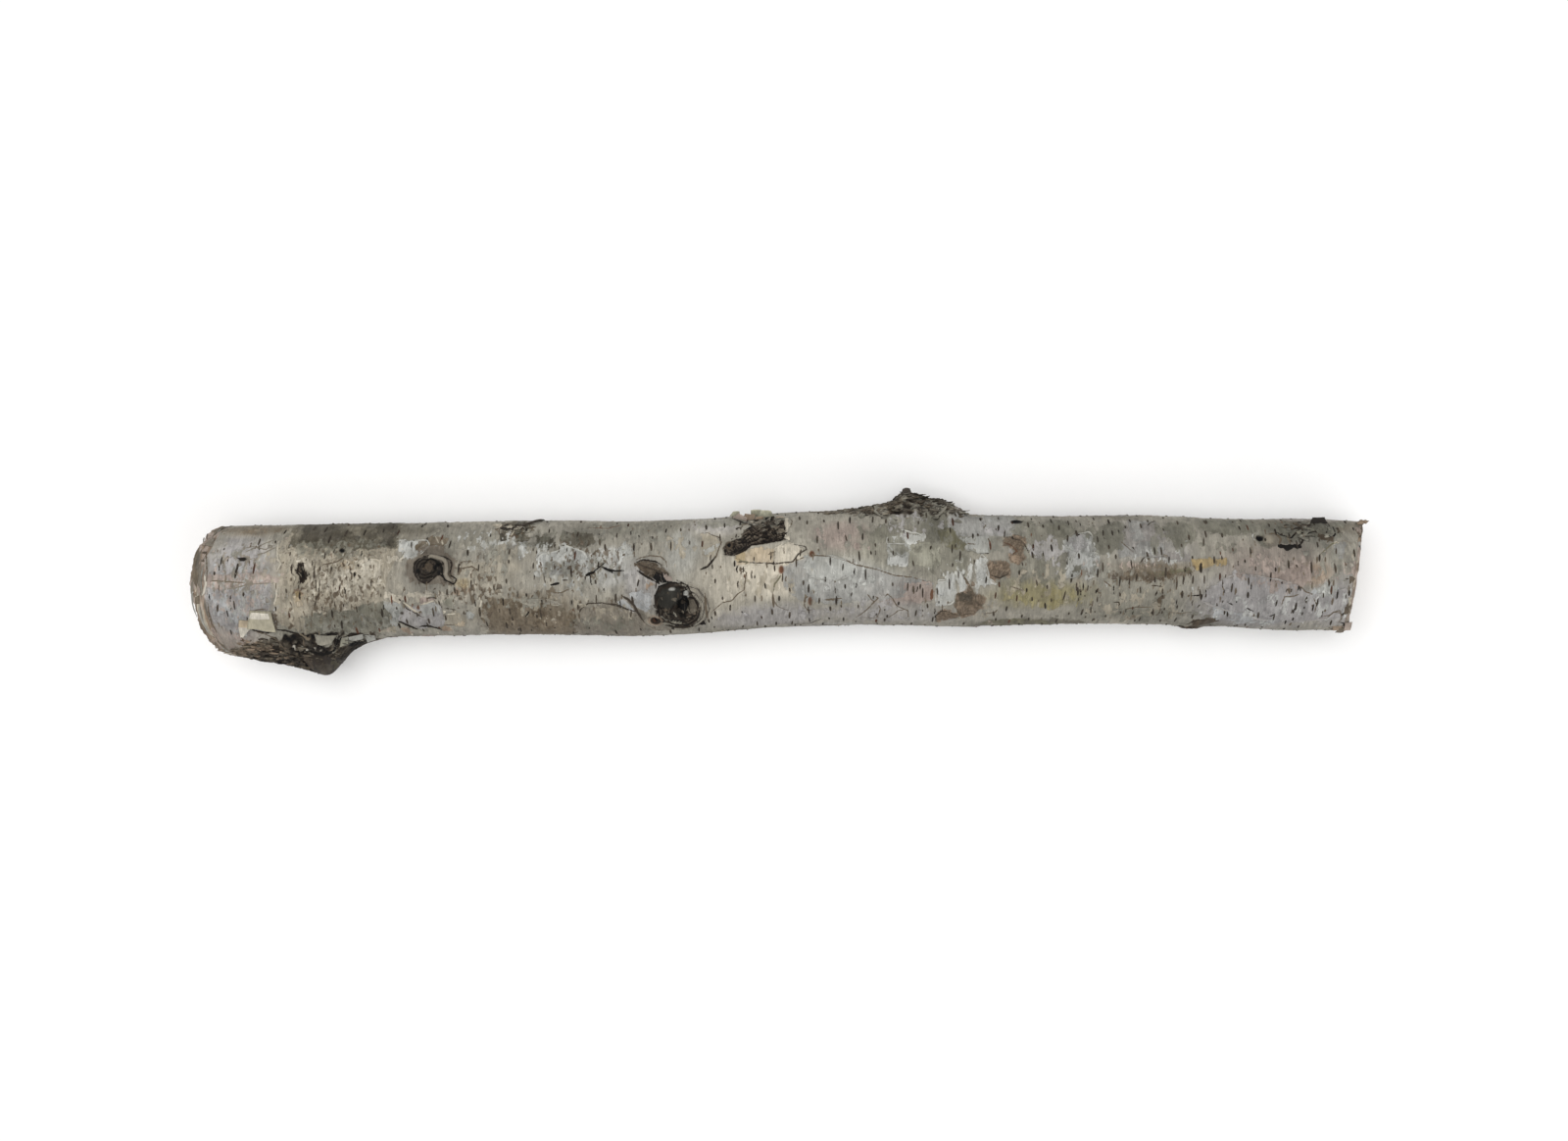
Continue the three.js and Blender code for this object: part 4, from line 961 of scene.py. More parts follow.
    def cut_rims(self):
        """Brown inner bark laid bare beside the saw cuts."""
        for cut, side, reach, spread in BARE_RIMS:
            away = in_from_cut(cut, side, self.x, self.form)
            i = np.nonzero(away < 12)[0]
            p = self.form[i]
            ragged = reach + spread * noise(p, (9, 5, 5), 70) + 0.35 * self.fine[i]
            bare = smooth(away[i], ragged + 0.35, ragged - 0.35)
            layers = noise(p, (1.0, 8, 8), 71) + 0.35 * noise(p, (4, 1.4, 1.4), 72)
            shade = 0.5 + 0.5 * layers
            browned = smooth(noise(p, (6, 5, 5), 73), -0.15, 0.35)
            colour = mix(INK["rosy"], INK["tan"], 0.8 * browned)
            colour = mix(colour, INK["brown"], 0.8 * smooth(shade, 0.45, 0.15))
            colour = mix(colour, INK["bone"], 0.6 * smooth(shade, 0.7, 0.95))
            colour = mix(colour, INK["umber"], 0.7 * browned * smooth(away[i] + 0.8 * self.warp[i], 1.6, 0.4))
            self.cover(i, colour, 0.85 * bare)
            self.height[i] -= 0.3 * bare - 0.2 * bare * layers
            self.rough[i] = np.maximum(self.rough[i], 0.15 * bare)


def sharpened(colours):
    """Colours with more contrast to the plain skin, most of all the dark ones."""
    skin = np.array(INK["skin"], float)
    dark = smooth((colours - skin).mean(axis=1), -25, -60)[:, None]
    return WHOLE_TONE * np.maximum(skin + (CONTRAST + DARK_CONTRAST * dark) * (colours - skin), DARKEST)


def small_scar(b):
    """Narrow dark scar with a rust stain below it."""
    b.blocks([
        ("cream", 0.25, 0.3, [
            (-185.5, 26), (-183.6, 26), (-182, 20), (-181.9, 14), (-183.5, 15), (-184.4, 18), (-184.8, 23),
        ]),
        ("chalk", 0.2, 0.3, [(-187.5, 25), (-185.7, 24), (-185.6, 22), (-187.5, 23)]),
    ])
    b.block([
        (-187.3, 21), (-186.4, 21), (-184.7, 19), (-184, 14), (-182.6, 10), (-183.2, 6), (-184.4, 4),
        (-185.4, 3), (-186, -2), (-186.3, 2), (-185.7, 5), (-185.2, 7), (-186.1, 11), (-187.5, 14),
        (-187.1, 18),
    ], "knot", -0.3, 0.3, 1, rough=0.8)
    b.strokes([
        (0.7, "soot", 0.5, [(-186.6, 18), (-185, 15), (-184.6, 10), (-183.8, 7)]),
        (0.5, "soot", 0.4, [(-186.6, 15), (-185.2, 11), (-184.6, 5)]),
        (0.35, "umber", -0.1, [(-186, 19), (-185.6, 13)]),
        (0.4, "knot", 0.1, [(-188.4, 21), (-188.2, 18)]),
        (0.4, "knot", 0.1, [(-189, 18), (-188.8, 15)]),
        (0.5, "chalk", -0.15, [(-187.6, 11), (-187.5, 5)]),
    ])
    b.block([
        (-187.4, -2), (-185.7, -2), (-184.4, -7), (-184.2, -9), (-186.8, -9), (-187.9, -6),
    ], "rust", 0, 0.6, 0.35)
    b.block([
        (-187.3, -3), (-185.7, -4), (-184.7, -9), (-185.6, -14), (-187.2, -14), (-187.5, -9),
    ], "golden", 0, 0.6, 0.7)
    b.block([(-187.6, -9), (-184.6, -9), (-184.4, -18), (-187.4, -18)], "honey", 0.05, 0.6, 0.6)
    for route in (
        [(-189.2, -13), (-188.9, -18), (-188.8, -21)], [(-184.4, -8), (-184.1, -11), (-184, -13)],
        [(-184.8, -23), (-184.4, -26), (-184.1, -29)], [(-187.8, -4), (-188.4, -8)],
    ):
        b.stroke(route, 0.45, "umber", 0.12)


# The great knot: its whole, the smooth disc, the hollow and its plug, and the lobe above
KNOT_WHOLE = [
    (-51.3, -17), (-49.5, -9), (-45.3, -5), (-41, -7), (-37.3, -15), (-34.6, -27), (-34.2, -40), (-37, -57),
    (-41, -60), (-46, -56), (-49.4, -43), (-51, -30),
]
KNOT_DISC = [
    (-50.4, -17), (-48.3, -10), (-44, -8.5), (-41.3, -12), (-40.8, -20), (-42.4, -27), (-46.4, -31),
    (-49.6, -27),
]
KNOT_HOLE = [(-42.6, -24), (-39.6, -19), (-38.2, -24), (-38.3, -36), (-40.8, -43), (-42.4, -35)]
KNOT_PLUG = [(-38.6, -24), (-36, -23), (-34.6, -32), (-36, -40), (-38.4, -37)]
LOBE = [
    (-58.2, 14), (-56, 18), (-51.3, 15.5), (-48.3, 10), (-45.3, 3), (-46.4, -2), (-49.4, -4), (-54.2, 2),
    (-57.2, 7),
]


def great_knot(b):
    """Great knot with its disc, hollow, small eye and the rolled lobe above it, with painted highlights on
    the disc and painted shadow below the lobe.
    """
    b.block(KNOT_WHOLE, "knot", 0, 0.35, 1, rough=0.5)
    b.rings(-40.4, -35, 12, 1.7, 0.36, start=0.3)
    b.block(KNOT_DISC, "disc", 0.6, 0.25, 1, rough=0.12, calm=0.8)
    b.block(KNOT_HOLE, "soot", -1.4, 0.25, 1, rough=0.1)
    b.block(KNOT_PLUG, "ridge", 0.4, 0.2, 1, rough=0.3)
    for route in (
        [(-50, -34), (-46.5, -42), (-41.5, -46), (-37.5, -45)], [(-50, -27), (-47, -35), (-43, -38)],
        [(-49, -44), (-44.5, -51), (-39, -52)], [(-43, -31), (-41.5, -41), (-37.5, -43), (-35.5, -40)],
    ):
        b.stroke(route, 0.7, "soot", 0.4)
    for route in ([(-49, -38), (-45, -45), (-40, -49)], [(-48, -47), (-43.5, -54)], [(-44, -34), (-43, -40)]):
        b.stroke(route, 0.55, "ash", -0.25)
    b.strokes([
        (0.7, "soot", 0.3, [(-51.2, -18), (-49.6, -9), (-45.2, -5), (-41, -7)]),
        (0.6, "soot", 0.3, [(-40.6, -21), (-40.4, -14), (-38.6, -12)]),
    ])
    # The first three rows are painted highlights on the smooth disc; the rest make the small eye.
    for row in (
        (-44.6, -11.5, 1.3, 0.6, "mist", 0.9, -0.1), (-39.4, -16, 1.1, 1.2, "mist", 0.9, -0.1),
        (-38.6, -19.5, 0.5, 0.6, "mist", 0.9), (-51.3, -44, 3.0, 3.0, "tan", 0.7, -0.3, 0.15),
        (-51.3, -44.5, 2.0, 2.0, "knot", 1, 0.1, 0.15), (-51.1, -44.5, 1.2, 1.1, "rust", 0.9, 0.2, 0.2),
        (-50.9, -45, 0.6, 0.7, "soot", 1, 0.4, 0.2),
    ):
        b.disc(*row)
    b.block([(-54, -2), (-51.2, -6), (-54.3, -12)], "tan", 0.1, 0.2)
    b.block(LOBE, "umber", 0.4, 0.35, 1, rough=0.55)
    b.block([(-49.6, 6), (-46.4, 2), (-45.3, -5), (-49, -6), (-52.4, 0)], "deep", -0.3, 0.35, 1, rough=0.3)
    b.block([(-47.4, 4), (-44.7, 0), (-44.4, -5), (-46.7, -4)], "pink", 0.2, 0.2)
    # The second line, along the lobe's lower edge, is a groove darkened as painted shadow below the lobe.
    b.strokes([
        (0.7, "deep", 0.3, [(-58.6, 15), (-55.6, 18.5), (-51.2, 16.5), (-47.6, 11)]),
        (0.9, "deep", 0.4, [(-58, 8), (-54.6, 1.5), (-50, -5)]),
    ])
    for shift in (0, 1.4, 2.8):
        b.stroke([
            (-57.4 + shift, 13 - shift), (-53.4 + shift, 9.5 - shift), (-50.4 + shift, 6 - 1.5 * shift),
        ], 0.4, "knot", 0.2)


# The round knot under its hood: the bark round it, its dark body and the disc within
KNOT_HALO = [
    (-145.7, 18), (-142.9, 20), (-141, 26), (-138.4, 34), (-134.7, 35), (-132.3, 33), (-131.8, 25),
    (-128.4, 22), (-127.1, 14), (-127.9, 5), (-126.8, 0), (-129.3, -5), (-133.3, -4), (-138.7, -5),
    (-143.6, -3), (-146, 5),
]
KNOT_BODY = [
    (-138.9, 22), (-142.4, 17), (-142.9, 13), (-142.7, 7), (-141.8, 2), (-138.4, -4), (-135.1, 1),
    (-133.3, 4), (-131.9, 3), (-132.5, 14), (-136.2, 20),
]
KNOT_EYE = [(-137.2, 17), (-135.2, 14), (-135.6, 8), (-137.8, 8), (-139.2, 11), (-138.6, 15)]


def tendril_knot(b):
    """Dark round knot under a hood of smooth bark."""
    b.block(KNOT_HALO, "hood", 0, 0.6, 0.8)
    b.block(KNOT_BODY, "stub", -0.1, 0.3, 1, rough=0.4)
    b.rings(-138.6, 9.5, 4.6, 1.25, 0.2, start=0.25)
    b.block(KNOT_EYE, "umber", 0.2, 0.2, 1, rough=0.3)
    # The two dark lines either side of the tendril are sunk grooves, darkened further as painted shadow of
    # the tendril.
    b.stroke([
        (-138.9, 22), (-136.5, 23.4), (-134, 22.4), (-131.1, 21), (-129.1, 18), (-128.5, 14), (-129, 6),
        (-128.7, 3), (-126.8, 0), (-126.9, -3), (-127.7, -5),
    ], 0.6, "deep", 0.25, taper=0.3)
    b.stroke([
        (-138, 19), (-136.2, 20), (-134.3, 17), (-132.8, 14), (-132, 10), (-131.9, 3), (-130.8, -1),
        (-127.9, -5),
    ], 0.8, "soot", 0.45, taper=0.3)
    b.stroke([
        (-138.9, 22), (-140.7, 20), (-142.4, 17), (-142.9, 13), (-142.7, 7), (-141.8, 2), (-140.4, -2),
        (-138.4, -4), (-136.9, -3), (-135.1, 1), (-133.7, 4),
    ], 0.55, "deep", 0.3, taper=0.3)
    for route in (
        [(-137.5, 19), (-139, 15), (-139.5, 10)], [(-141.2, 9), (-140.8, 5), (-140, 0)],
        [(-138.7, 6), (-136.9, 5), (-135.1, 7), (-134, 9)], [(-138.2, 1), (-136.4, 3), (-135.1, 1)],
    ):
        b.stroke(route, 0.45, "soot", 0.25)
    for x, angle in ((-141, 8), (-134.8, 11), (-133.6, 14), (-133.2, 6)):
        b.disc(x, angle, 0.7, 0.9, "soot", 0.9, 0.35, 0.25, wobble=0.3)
    for route in ([(-136.2, 49), (-134.1, 37)], [(-133.6, 44), (-132.6, 36)], [(-139.6, 42), (-138, 35)]):
        b.stroke(route, 0.5, "cream", -0.12)
    b.disc(-124, -5, 2.4, 1.8, "golden", 0.5, 0, 0.4, wobble=0.4)


def torn_sheet(b):
    """Smooth sheet of bark between two long splits, with torn layers round it."""
    b.blocks([
        ("mist", 0.25, 0.3, [
            (-154.9, -21), (-148.2, -23), (-147.3, -30), (-149.1, -39), (-150.8, -53), (-152.8, -51),
            (-152.4, -39), (-153.8, -30),
        ]),
        ("cream", 0.2, 0.4, [
            (-154, -13), (-152.1, -12), (-149.8, -15), (-148, -15), (-146.9, -19), (-148.3, -24),
            (-151.7, -20), (-154.1, -18),
        ]),
    ])
    b.block([
        (-141.2, -26), (-136.2, -22), (-133.3, -25), (-132.6, -31), (-132.4, -40), (-132, -51),
        (-137.7, -56), (-142.5, -56), (-146.4, -50), (-149.1, -44), (-149.5, -40), (-147.3, -30),
        (-146.6, -27),
    ], "lavender", 0.35, 0.3, calm=0.6)
    b.block([
        (-141.2, -26), (-136.2, -22), (-133.3, -25), (-132.8, -33), (-136.6, -36), (-140.2, -38),
    ], "mist", 0.05, 0.6, 0.8)
    b.blocks([
        ("pink", 0.15, 0.3, [
            (-140.9, -17), (-137.9, -18), (-135, -20), (-136.2, -22), (-140.5, -25), (-140.9, -21),
        ]),
        ("sage", 0.1, 0.3, [
            (-132.4, -22), (-130.2, -19), (-127.3, -23), (-128.7, -28), (-130.5, -29), (-132.2, -26),
        ]),
        ("beige", 0.1, 0.4, [
            (-132, -36), (-128, -34), (-124.5, -38), (-124.4, -48), (-128, -51), (-132, -50),
        ]),
        ("tan", 0.1, 0.4, [(-149.7, -55), (-146.8, -56), (-145.6, -66), (-147.7, -70), (-149.5, -61)]),
        ("tan", 0.15, 0.4, [(-134.1, -56), (-132.2, -55), (-129.8, -60), (-131.2, -63), (-134.2, -63)]),
        ("mist", 0.25, 0.3, [(-123.5, -36), (-122.2, -32), (-120.5, -36), (-120.8, -42), (-123.2, -43)]),
        ("honey", 0.2, 0.3, [(-125.3, -43), (-124, -48), (-125.1, -53), (-126.8, -55), (-128.4, -51)]),
    ])
    b.strokes([
        (0.8, "cream", -0.25, [(-147.2, -22.5), (-144.8, -27.5), (-143.2, -31), (-141.2, -34)]),
        (0.5, "knot", 0.25, [(-147.6, -24), (-146, -29), (-144.6, -31.5), (-142.1, -36), (-140.2, -40)]),
        (0.5, "cream", -0.2, [(-140.5, -25), (-138.1, -23), (-135, -20.5)]),
        (0.5, "knot", 0.2, [(-137.9, -18), (-135.5, -18), (-134.4, -19)]),
        (0.5, "knot", 0.2, [(-133.8, -21), (-133.1, -26), (-132.6, -29)]),
        (1.3, "deep", 0.5, [(-149.7, -45), (-147.9, -50), (-146.1, -54), (-144.7, -57), (-143.4, -60)]),
        (1.5, "deep", 0.6, [
            (-142.4, -54), (-140.6, -53), (-138.8, -53), (-137.7, -55), (-136.1, -59), (-134.4, -62),
        ]),
        (0.6, "umber", 0.2, [(-133.9, -52), (-131.4, -52), (-128.4, -52)]),
        (0.5, "knot", 0.15, [(-131.7, -30), (-129.9, -30), (-128.7, -31), (-127, -32)]),
    ])
    for route in (
        [(-146.8, -40), (-146.7, -44), (-146.5, -48)], [(-138.3, -40), (-138.2, -45), (-138.2, -49)],
        [(-131.7, -38), (-131.6, -42), (-131.6, -45)], [(-150, -27), (-149.8, -30)],
        [(-148.7, -19), (-148.2, -21)],
    ):
        b.stroke(route, 0.75, "knot", 0.15)
    for route in (
        [(-132.4, -32), (-131.5, -33), (-132.2, -35)], [(-131.3, -36), (-128.9, -36), (-127.7, -35)],
        [(-118.2, -18), (-117.4, -23), (-118.2, -29)], [(-146.4, -67), (-146.4, -75)],
        [(-136.2, -65), (-136, -71)],
    ):
        b.stroke(route, 0.6, "chalk", -0.2)
    for row in (
        (-141.6, -28, 0.6, 0.9, "rust", 0.9, 0.2, 0.3), (-148.1, -34, 0.7, 0.6, "knot", 0.7, 0.1, 0.4),
    ):
        b.disc(*row)


# The torn scar: its whole, the two parts of the pale strip below it and the scale on its left
SCAR = [
    (-25.1, 23), (-23.3, 30), (-18.3, 33), (-17.1, 41), (-13.5, 46), (-10.5, 45), (-9, 54), (-2.1, 53),
    (-0.9, 37), (-1.2, 29), (-6.9, 27), (-14.6, 25), (-17, 20), (-21.8, 16), (-24.5, 17),
]
STRIP_LEFT = [(-20.6, 17), (-17, 20), (-11, 22), (-5.7, 20), (-5.7, 7), (-15.8, 8), (-20, 7)]
STRIP_RIGHT = [(-5.7, 20), (-1.2, 25), (2.1, 24), (6.3, 19), (2.7, 12), (0.9, 6), (-5.7, 6)]
SCALE_OUTER = [
    (-33.7, 44), (-30.9, 44), (-29.1, 40), (-27, 37), (-26, 31), (-27.8, 24), (-28.4, 18), (-30.1, 16),
    (-33.1, 18),
]
SCALE_INNER = [(-32, 25), (-28.4, 28), (-26.9, 29), (-28.4, 23), (-30.8, 19), (-32.6, 20)]
SCAR_HEADING = 20


def curled_scar(b):
    """Torn fissured scar under the curls, with painted shadow under them."""
    b.block(SCALE_OUTER, "beige", 0.2, 0.3, 0.8)
    b.block(SCALE_INNER, "mist", -0.1, 0.2)
    b.block(STRIP_LEFT, "honey", 0.12, 0.3, 0.85)
    b.block(STRIP_RIGHT, "cream", 0.12, 0.3, 0.85)
    b.block([(-20.4, 15), (-17.4, 17.5), (-16.2, 11), (-19.6, 10)], "golden", 0, 0.4, 0.6)
    b.fissure(SCAR, SCAR_HEADING, 0.5, 0.8, "deep", "hood", 8)
    # Painted shadow: a dark line under the lifted edges of the curls, and dark sunk spots in the hollows
    # under them.
    b.stroke([(-17.1, 39), (-14.4, 46), (-11.4, 45), (-9.9, 55)], 0.9, "soot", 0.5)
    b.block([(-9.7, 63), (-6.4, 66), (-5.1, 57), (-5.1, 51), (-7.4, 55), (-9.4, 56)], "soot", -1.2, 0.3, 1)
    b.block([(-7.7, 56), (-5.4, 55), (-5.1, 52), (-6.7, 52)], "cream", 0.3, 0.2)
    b.block([(-13.4, 57), (-12.6, 64), (-11, 66), (-11.8, 60)], "soot", -0.6, 0.2, 1)
    for row in (
        (-22.9, 26, 1.5, 1.7, "umber", 0.9, -0.2, 0.2), (-22.9, 26, 0.7, 0.8, "soot", 1, 0.4, 0.3),
    ):
        b.disc(*row)
    b.stroke([
        (-25, 18), (-21, 16.4), (-17, 20.6), (-14.4, 25.5), (-6.8, 27.4), (-1.3, 29.5),
    ], 0.7, "deep", 0.3)
    # Painted shadow: a dark sunk line beside the curls.
    b.stroke([(-22.6, 77), (-18.3, 61), (-16, 54), (-13.7, 46)], 1.0, "deep", 0.6, taper=0.3)
    # Painted shadow: dark lines under the free edges of the small curls.
    b.strokes([
        (0.9, "soot", 0.5, [(-5.6, 54), (-1.6, 51.6)]),
        (0.8, "soot", 0.4, [(-13.6, 57), (-9.9, 57)]),
    ])
    b.block([
        (-1.4, 56), (-0.1, 54), (0.1, 47), (-0.6, 42), (-1.1, 32), (-1.6, 32), (-1.2, 44),
    ], "cream", 0.3, 0.25)
    b.strokes([
        (0.5, "umber", 0.2, [(0.2, 56), (1.2, 50), (0.5, 41)]),
        (0.7, "khaki", 0.1, [(-20.6, 14.6), (-19.4, 11), (-15.8, 9), (-17, 7)]),
        (0.35, "taupe", 0.08, [(-5.8, 7), (-5.6, 13), (-5.7, 19)]),
        (0.5, "umber", 0.2, [
            (-33.7, 45), (-31.3, 45), (-29.4, 40.6), (-26.7, 37), (-25.9, 31), (-26.6, 26), (-27.8, 17),
            (-29.8, 12), (-31.9, 7), (-33.7, 5),
        ]),
        (0.5, "brown", 0.1, [(-8, 15), (-5, 18)]),
    ])


def lower_right_knot(b):
    """Cracked knot near the right end, with its scab, hole and eye."""
    b.block([
        (182.2, 62), (185.4, 66), (200.4, 66), (211.3, 64), (211, 42), (198.3, 37), (188, 30), (182, 30),
        (180.8, 42),
    ], "olive", -0.1, 0.9, 0.75)
    for row in (
        (184.6, 36, 3.0, 3.2, "taupe", 0.9, -0.4, 0.15), (184.0, 36, 1.8, 2.0, "beige", 0.7, 0, 0.3),
    ):
        b.disc(*row)
    b.stroke([(184, 43), (186.4, 44), (188.4, 37), (187.4, 30)], 1.0, "umber", 0.2)
    b.stroke([
        (187.4, 46), (188.7, 42), (192.4, 38), (193.7, 42), (194.9, 45.5), (198.8, 44), (203, 48),
        (205, 48.5),
    ], 0.6, "soot", 0.5, taper=0.3)
    b.strokes([
        (0.5, "soot", 0.35, [(188.2, 55), (192.3, 51), (194, 50), (195.4, 52), (198.8, 50), (201.6, 49.5)]),
        (0.4, "deep", 0.2, [(197.6, 40), (201.8, 40)]),
        (0.6, "soot", 0.4, [(206.6, 60), (209.6, 55), (209.8, 45), (208.2, 39), (206, 43), (207.4, 53)]),
        (0.5, "ash", -0.1, [(205.4, 57), (207.6, 52), (207.8, 46)]),
    ])
    b.block([(202.8, 41), (208.8, 40), (208.4, 35.5), (203, 34)], "umber", 0.1, 0.4)
    b.stroke([
        (187.3, 29.5), (189.4, 26.5), (191.4, 27.5), (194.6, 28),
    ], 1.9, "soot", -0.2, taper=0.2, wander=0.5)
    b.stroke([(194.6, 39), (196.8, 35.5), (195.6, 31), (193.6, 28)], 0.7, "deep", 0.2)
    b.disc(180.6, 40, 1.15, 1.4, "deep", 1, 0.4, 0.25, wobble=0.4)
    b.stroke([(178.6, 46), (178, 41), (178.8, 36)], 0.5, "white", -0.1)


# The scabs: heading of the wrinkles, colour, lift in mm, outline as x and angle
SCABS = [
    (100, "bark_brown", 0.3, [
        (81.5, 32), (83, 38), (87.7, 40), (90.6, 35), (90.7, 27), (89, 18), (90, 12), (87.7, 5), (84.7, 10),
        (83.3, 13), (86, 18), (83.7, 25), (81.3, 26),
    ]),
    (60, "bark_brown", 0.3, [
        (75, 5), (78.7, 10), (82.3, 8), (84, 3), (84, -5), (81, -6), (77.5, -10), (76.3, -5),
    ]),
    (80, "bark_brown", 0.3, [
        (63.3, -25), (66.8, -21), (69.2, -15), (70, -21), (73, -25), (75, -28), (74.6, -36), (72.7, -44),
        (70, -51), (67.6, -57), (65, -49), (63.6, -40),
    ]),
    (20, "bark_brown", 0.2, [
        (56.7, -67), (56.6, -54), (58.3, -46), (61.3, -46), (63.2, -51), (67.5, -51), (65.2, -57), (61, -60),
        (58, -63),
    ]),
]


def scabs(b):
    """Wrinkled brown scabs and small dark marks."""
    for heading, ink, lift, places in SCABS:
        b.block(places, ink, lift, 1.5, 0.8)
        b.fissure(places, heading, 0.9, 0.35, "umber", "tan", 2.4, strength=0.65)
    b.block([(84, 16), (88.4, 15), (88, 7), (85, 10)], "tan", 0.1, 0.5)
    b.block([(64.5, -24), (69.5, -21), (70, -31), (65, -31)], "algae", 0, 0.6, 0.7)
    b.strokes([
        (0.5, "knot", 0.25, [
            (56.7, -67), (56.6, -54), (58.3, -46), (61.3, -47), (63.2, -51), (67.5, -51), (72, -46),
        ]),
        (0.5, "rust", 0.25, [(82, 30), (84.6, 27), (87, 20), (85, 16)]),
        (0.45, "knot", 0.25, [(85, 36), (88.6, 33), (90.4, 27), (91.6, 17)]),
        (0.6, "knot", 0.25, [(76, -4), (80, -8), (84, -3)]),
    ])
    b.disc(88.2, 63, 2.2, 1.5, "soot", 1, 0.5, 0.12)
    b.block([(157, -66), (163.6, -57), (166.4, -64), (162.7, -76), (157, -82)], "umber", 0.3, 0.5, rough=0.4)
    b.stroke([(155, -78), (158, -66), (163, -60)], 0.8, "knot", 0.3)
    b.disc(-170.6, 32, 1.1, 0.9, "soot", 1, 0.2, 0.3, wobble=0.4)
    b.disc(-207.6, 28.4, 1.2, 0.8, "soot", 1, 0.2, 0.3, wobble=0.4)
    for row in (
        (8.6, 14, 1.0, 1.2, "rust", 1, 0.1, 0.3), (-3, 0, 1.0, 1.5, "rust", 1, 0.1, 0.3),
        (8, -34, 0.8, 2.2, "rust", 0.8, 0.1, 0.3),
    ):
        b.disc(*row)


# The smooth broken face of the side branch
STUB_FACE = [
    (-188.7, -67), (-185.6, -65), (-182.4, -66), (-178.8, -68), (-177.3, -69), (-175.6, -74), (-174.6, -84),
    (-174.5, -92), (-177, -104), (-181, -112), (-184, -94), (-186.4, -85), (-187.4, -79), (-188.2, -73),
]


def stub(b):
    """The broken side branch: a smooth dark face under a ragged line of torn bark."""
    b.block(STUB_FACE, "stub", 0.1, 0.4, 1, rough=0.08, calm=0.95)
    b.block([
        (-188.5, -67), (-184.5, -66), (-184, -74), (-186, -84), (-188, -84),
    ], "umber", 0, 0.8, 0.6, rough=0.1)
    b.block([
        (-183, -74), (-178.5, -72), (-177.5, -82), (-180, -90), (-182.5, -86),
    ], "ridge", 0, 0.9, 0.4, rough=0.05)
    b.block([(-177.5, -72), (-175.6, -76), (-174.8, -88), (-177, -90)], "khaki", 0, 0.7, 0.45, rough=0.05)
    b.stroke([
        (-190, -64), (-186, -63), (-182, -64), (-178, -66), (-175, -68),
    ], 1.1, "soot", 0.6, taper=0.3, wander=0.6)
    b.stroke([
        (-188.9, -65), (-188.6, -70), (-188, -74), (-187.3, -80), (-186.5, -84), (-184, -92), (-182, -100),
    ], 0.9, "soot", 0.6, taper=0.3, wander=0.4)
    b.block([(-174.8, -58), (-171.9, -57), (-173.5, -63), (-174.7, -64), (-175.4, -60)], "deep", -0.4, 0.3, 1)
    b.block([
        (-170, -68), (-168.2, -69), (-165.8, -78), (-166.1, -86), (-168.1, -81), (-170.2, -76),
    ], "deep", -0.5, 0.3, 1)
    b.block([
        (-181.6, -47), (-181, -53), (-180.7, -57), (-179.1, -59), (-176.9, -61), (-175.2, -57),
        (-173.6, -53), (-175.9, -52), (-178.5, -49), (-179.4, -47),
    ], "ash", 0.1, 0.3, 0.9, rough=0.05)
    b.stroke([(-187, -46), (-184, -51)], 1.0, "brown", -0.4, taper=0.3)
    b.stroke([(-188.2, -46), (-186, -51)], 0.6, "soot", 0.4)
    b.disc(-180.2, -47.5, 0.8, 0.5, "soot", 1, 0.2, 0.3, wobble=0.4)
    for x, angle in ((-187.1, -59), (-182.2, -59), (-185.4, -61), (-190.4, -60)):
        b.disc(x, angle, 0.6, 0.6, "bone", 0.9, -0.25, 0.3, wobble=0.5)


def hidden_knots(b):
    """Knots, a scar and worn feet on the hidden side."""
    for x, angle, reach in ((112, 138, 7.5), (-96, -128, 6.5)):
        b.disc(x, angle, reach, reach, "knot", 1, 0, 0.1, rough=0.6, wobble=0.2)
        b.rings(x, angle, reach, 1.6, 0.3, start=0.25)
        b.disc(x, angle, 0.33 * reach, 0.33 * reach, "soot", 1, 0.8, 0.25)
    for x, angle in FEET:
        b.disc(x, angle, 7, 6, "brown", 0.8, 0, 0.3, rough=0.5, wobble=0.3)
        b.rings(x, angle, 7.5, 1.7, 0.15, start=0.4)
    b.strokes([
        (1.0, "soot", 0.7, [(58, -142), (68, -134), (78, -125)]),
        (0.8, "knot", 0.4, [(-34, -120), (-20, -116), (-8, -121)]),
    ])


# Every knot and drawn mark, in the order they are laid on
KNOTS = [
    small_scar, tendril_knot, torn_sheet, curled_scar, great_knot, lower_right_knot, scabs, stub,
    hidden_knots,
]


# Colours of the bark that the photograph doesn't show
HIDDEN_INKS = ("lavender", "olive", "beige", "white", "grey", "cream", "pink", "dark_olive", "blue_white")


def hidden_layers():
    """Stains, torn layers and flecks for the side that faces the ground and the back."""
    draw = np.random.default_rng(23)
    washes, patches, scuffed = [], [], []
    for x in np.arange(-210, 215, 13.0):
        for angle in (105, 140, 180, 220, 255):
            spot = x + draw.uniform(-6, 6), angle + draw.uniform(-14, 14)
            ink = str(draw.choice(HIDDEN_INKS))
            washes.append((ink, *spot, draw.uniform(9, 22), draw.uniform(14, 34), 0.6))
            if draw.random() < 0.6:
                size = draw.uniform(2.5, 9), draw.uniform(7, 20)
                patches.append((str(draw.choice(HIDDEN_INKS)), *spot, *size, draw.uniform(-0.1, 0.25)))
            if draw.random() < 0.7:
                ink = str(draw.choice(HIDDEN_INKS))
                cover_and_size = draw.uniform(0.45, 0.7), draw.uniform(2, 4)
                scuffed.append((ink, *spot, 12, 30, *cover_and_size))
    return washes, patches, scuffed


HIDDEN_WASHES, HIDDEN_PATCHES, HIDDEN_SCUFFS = hidden_layers()


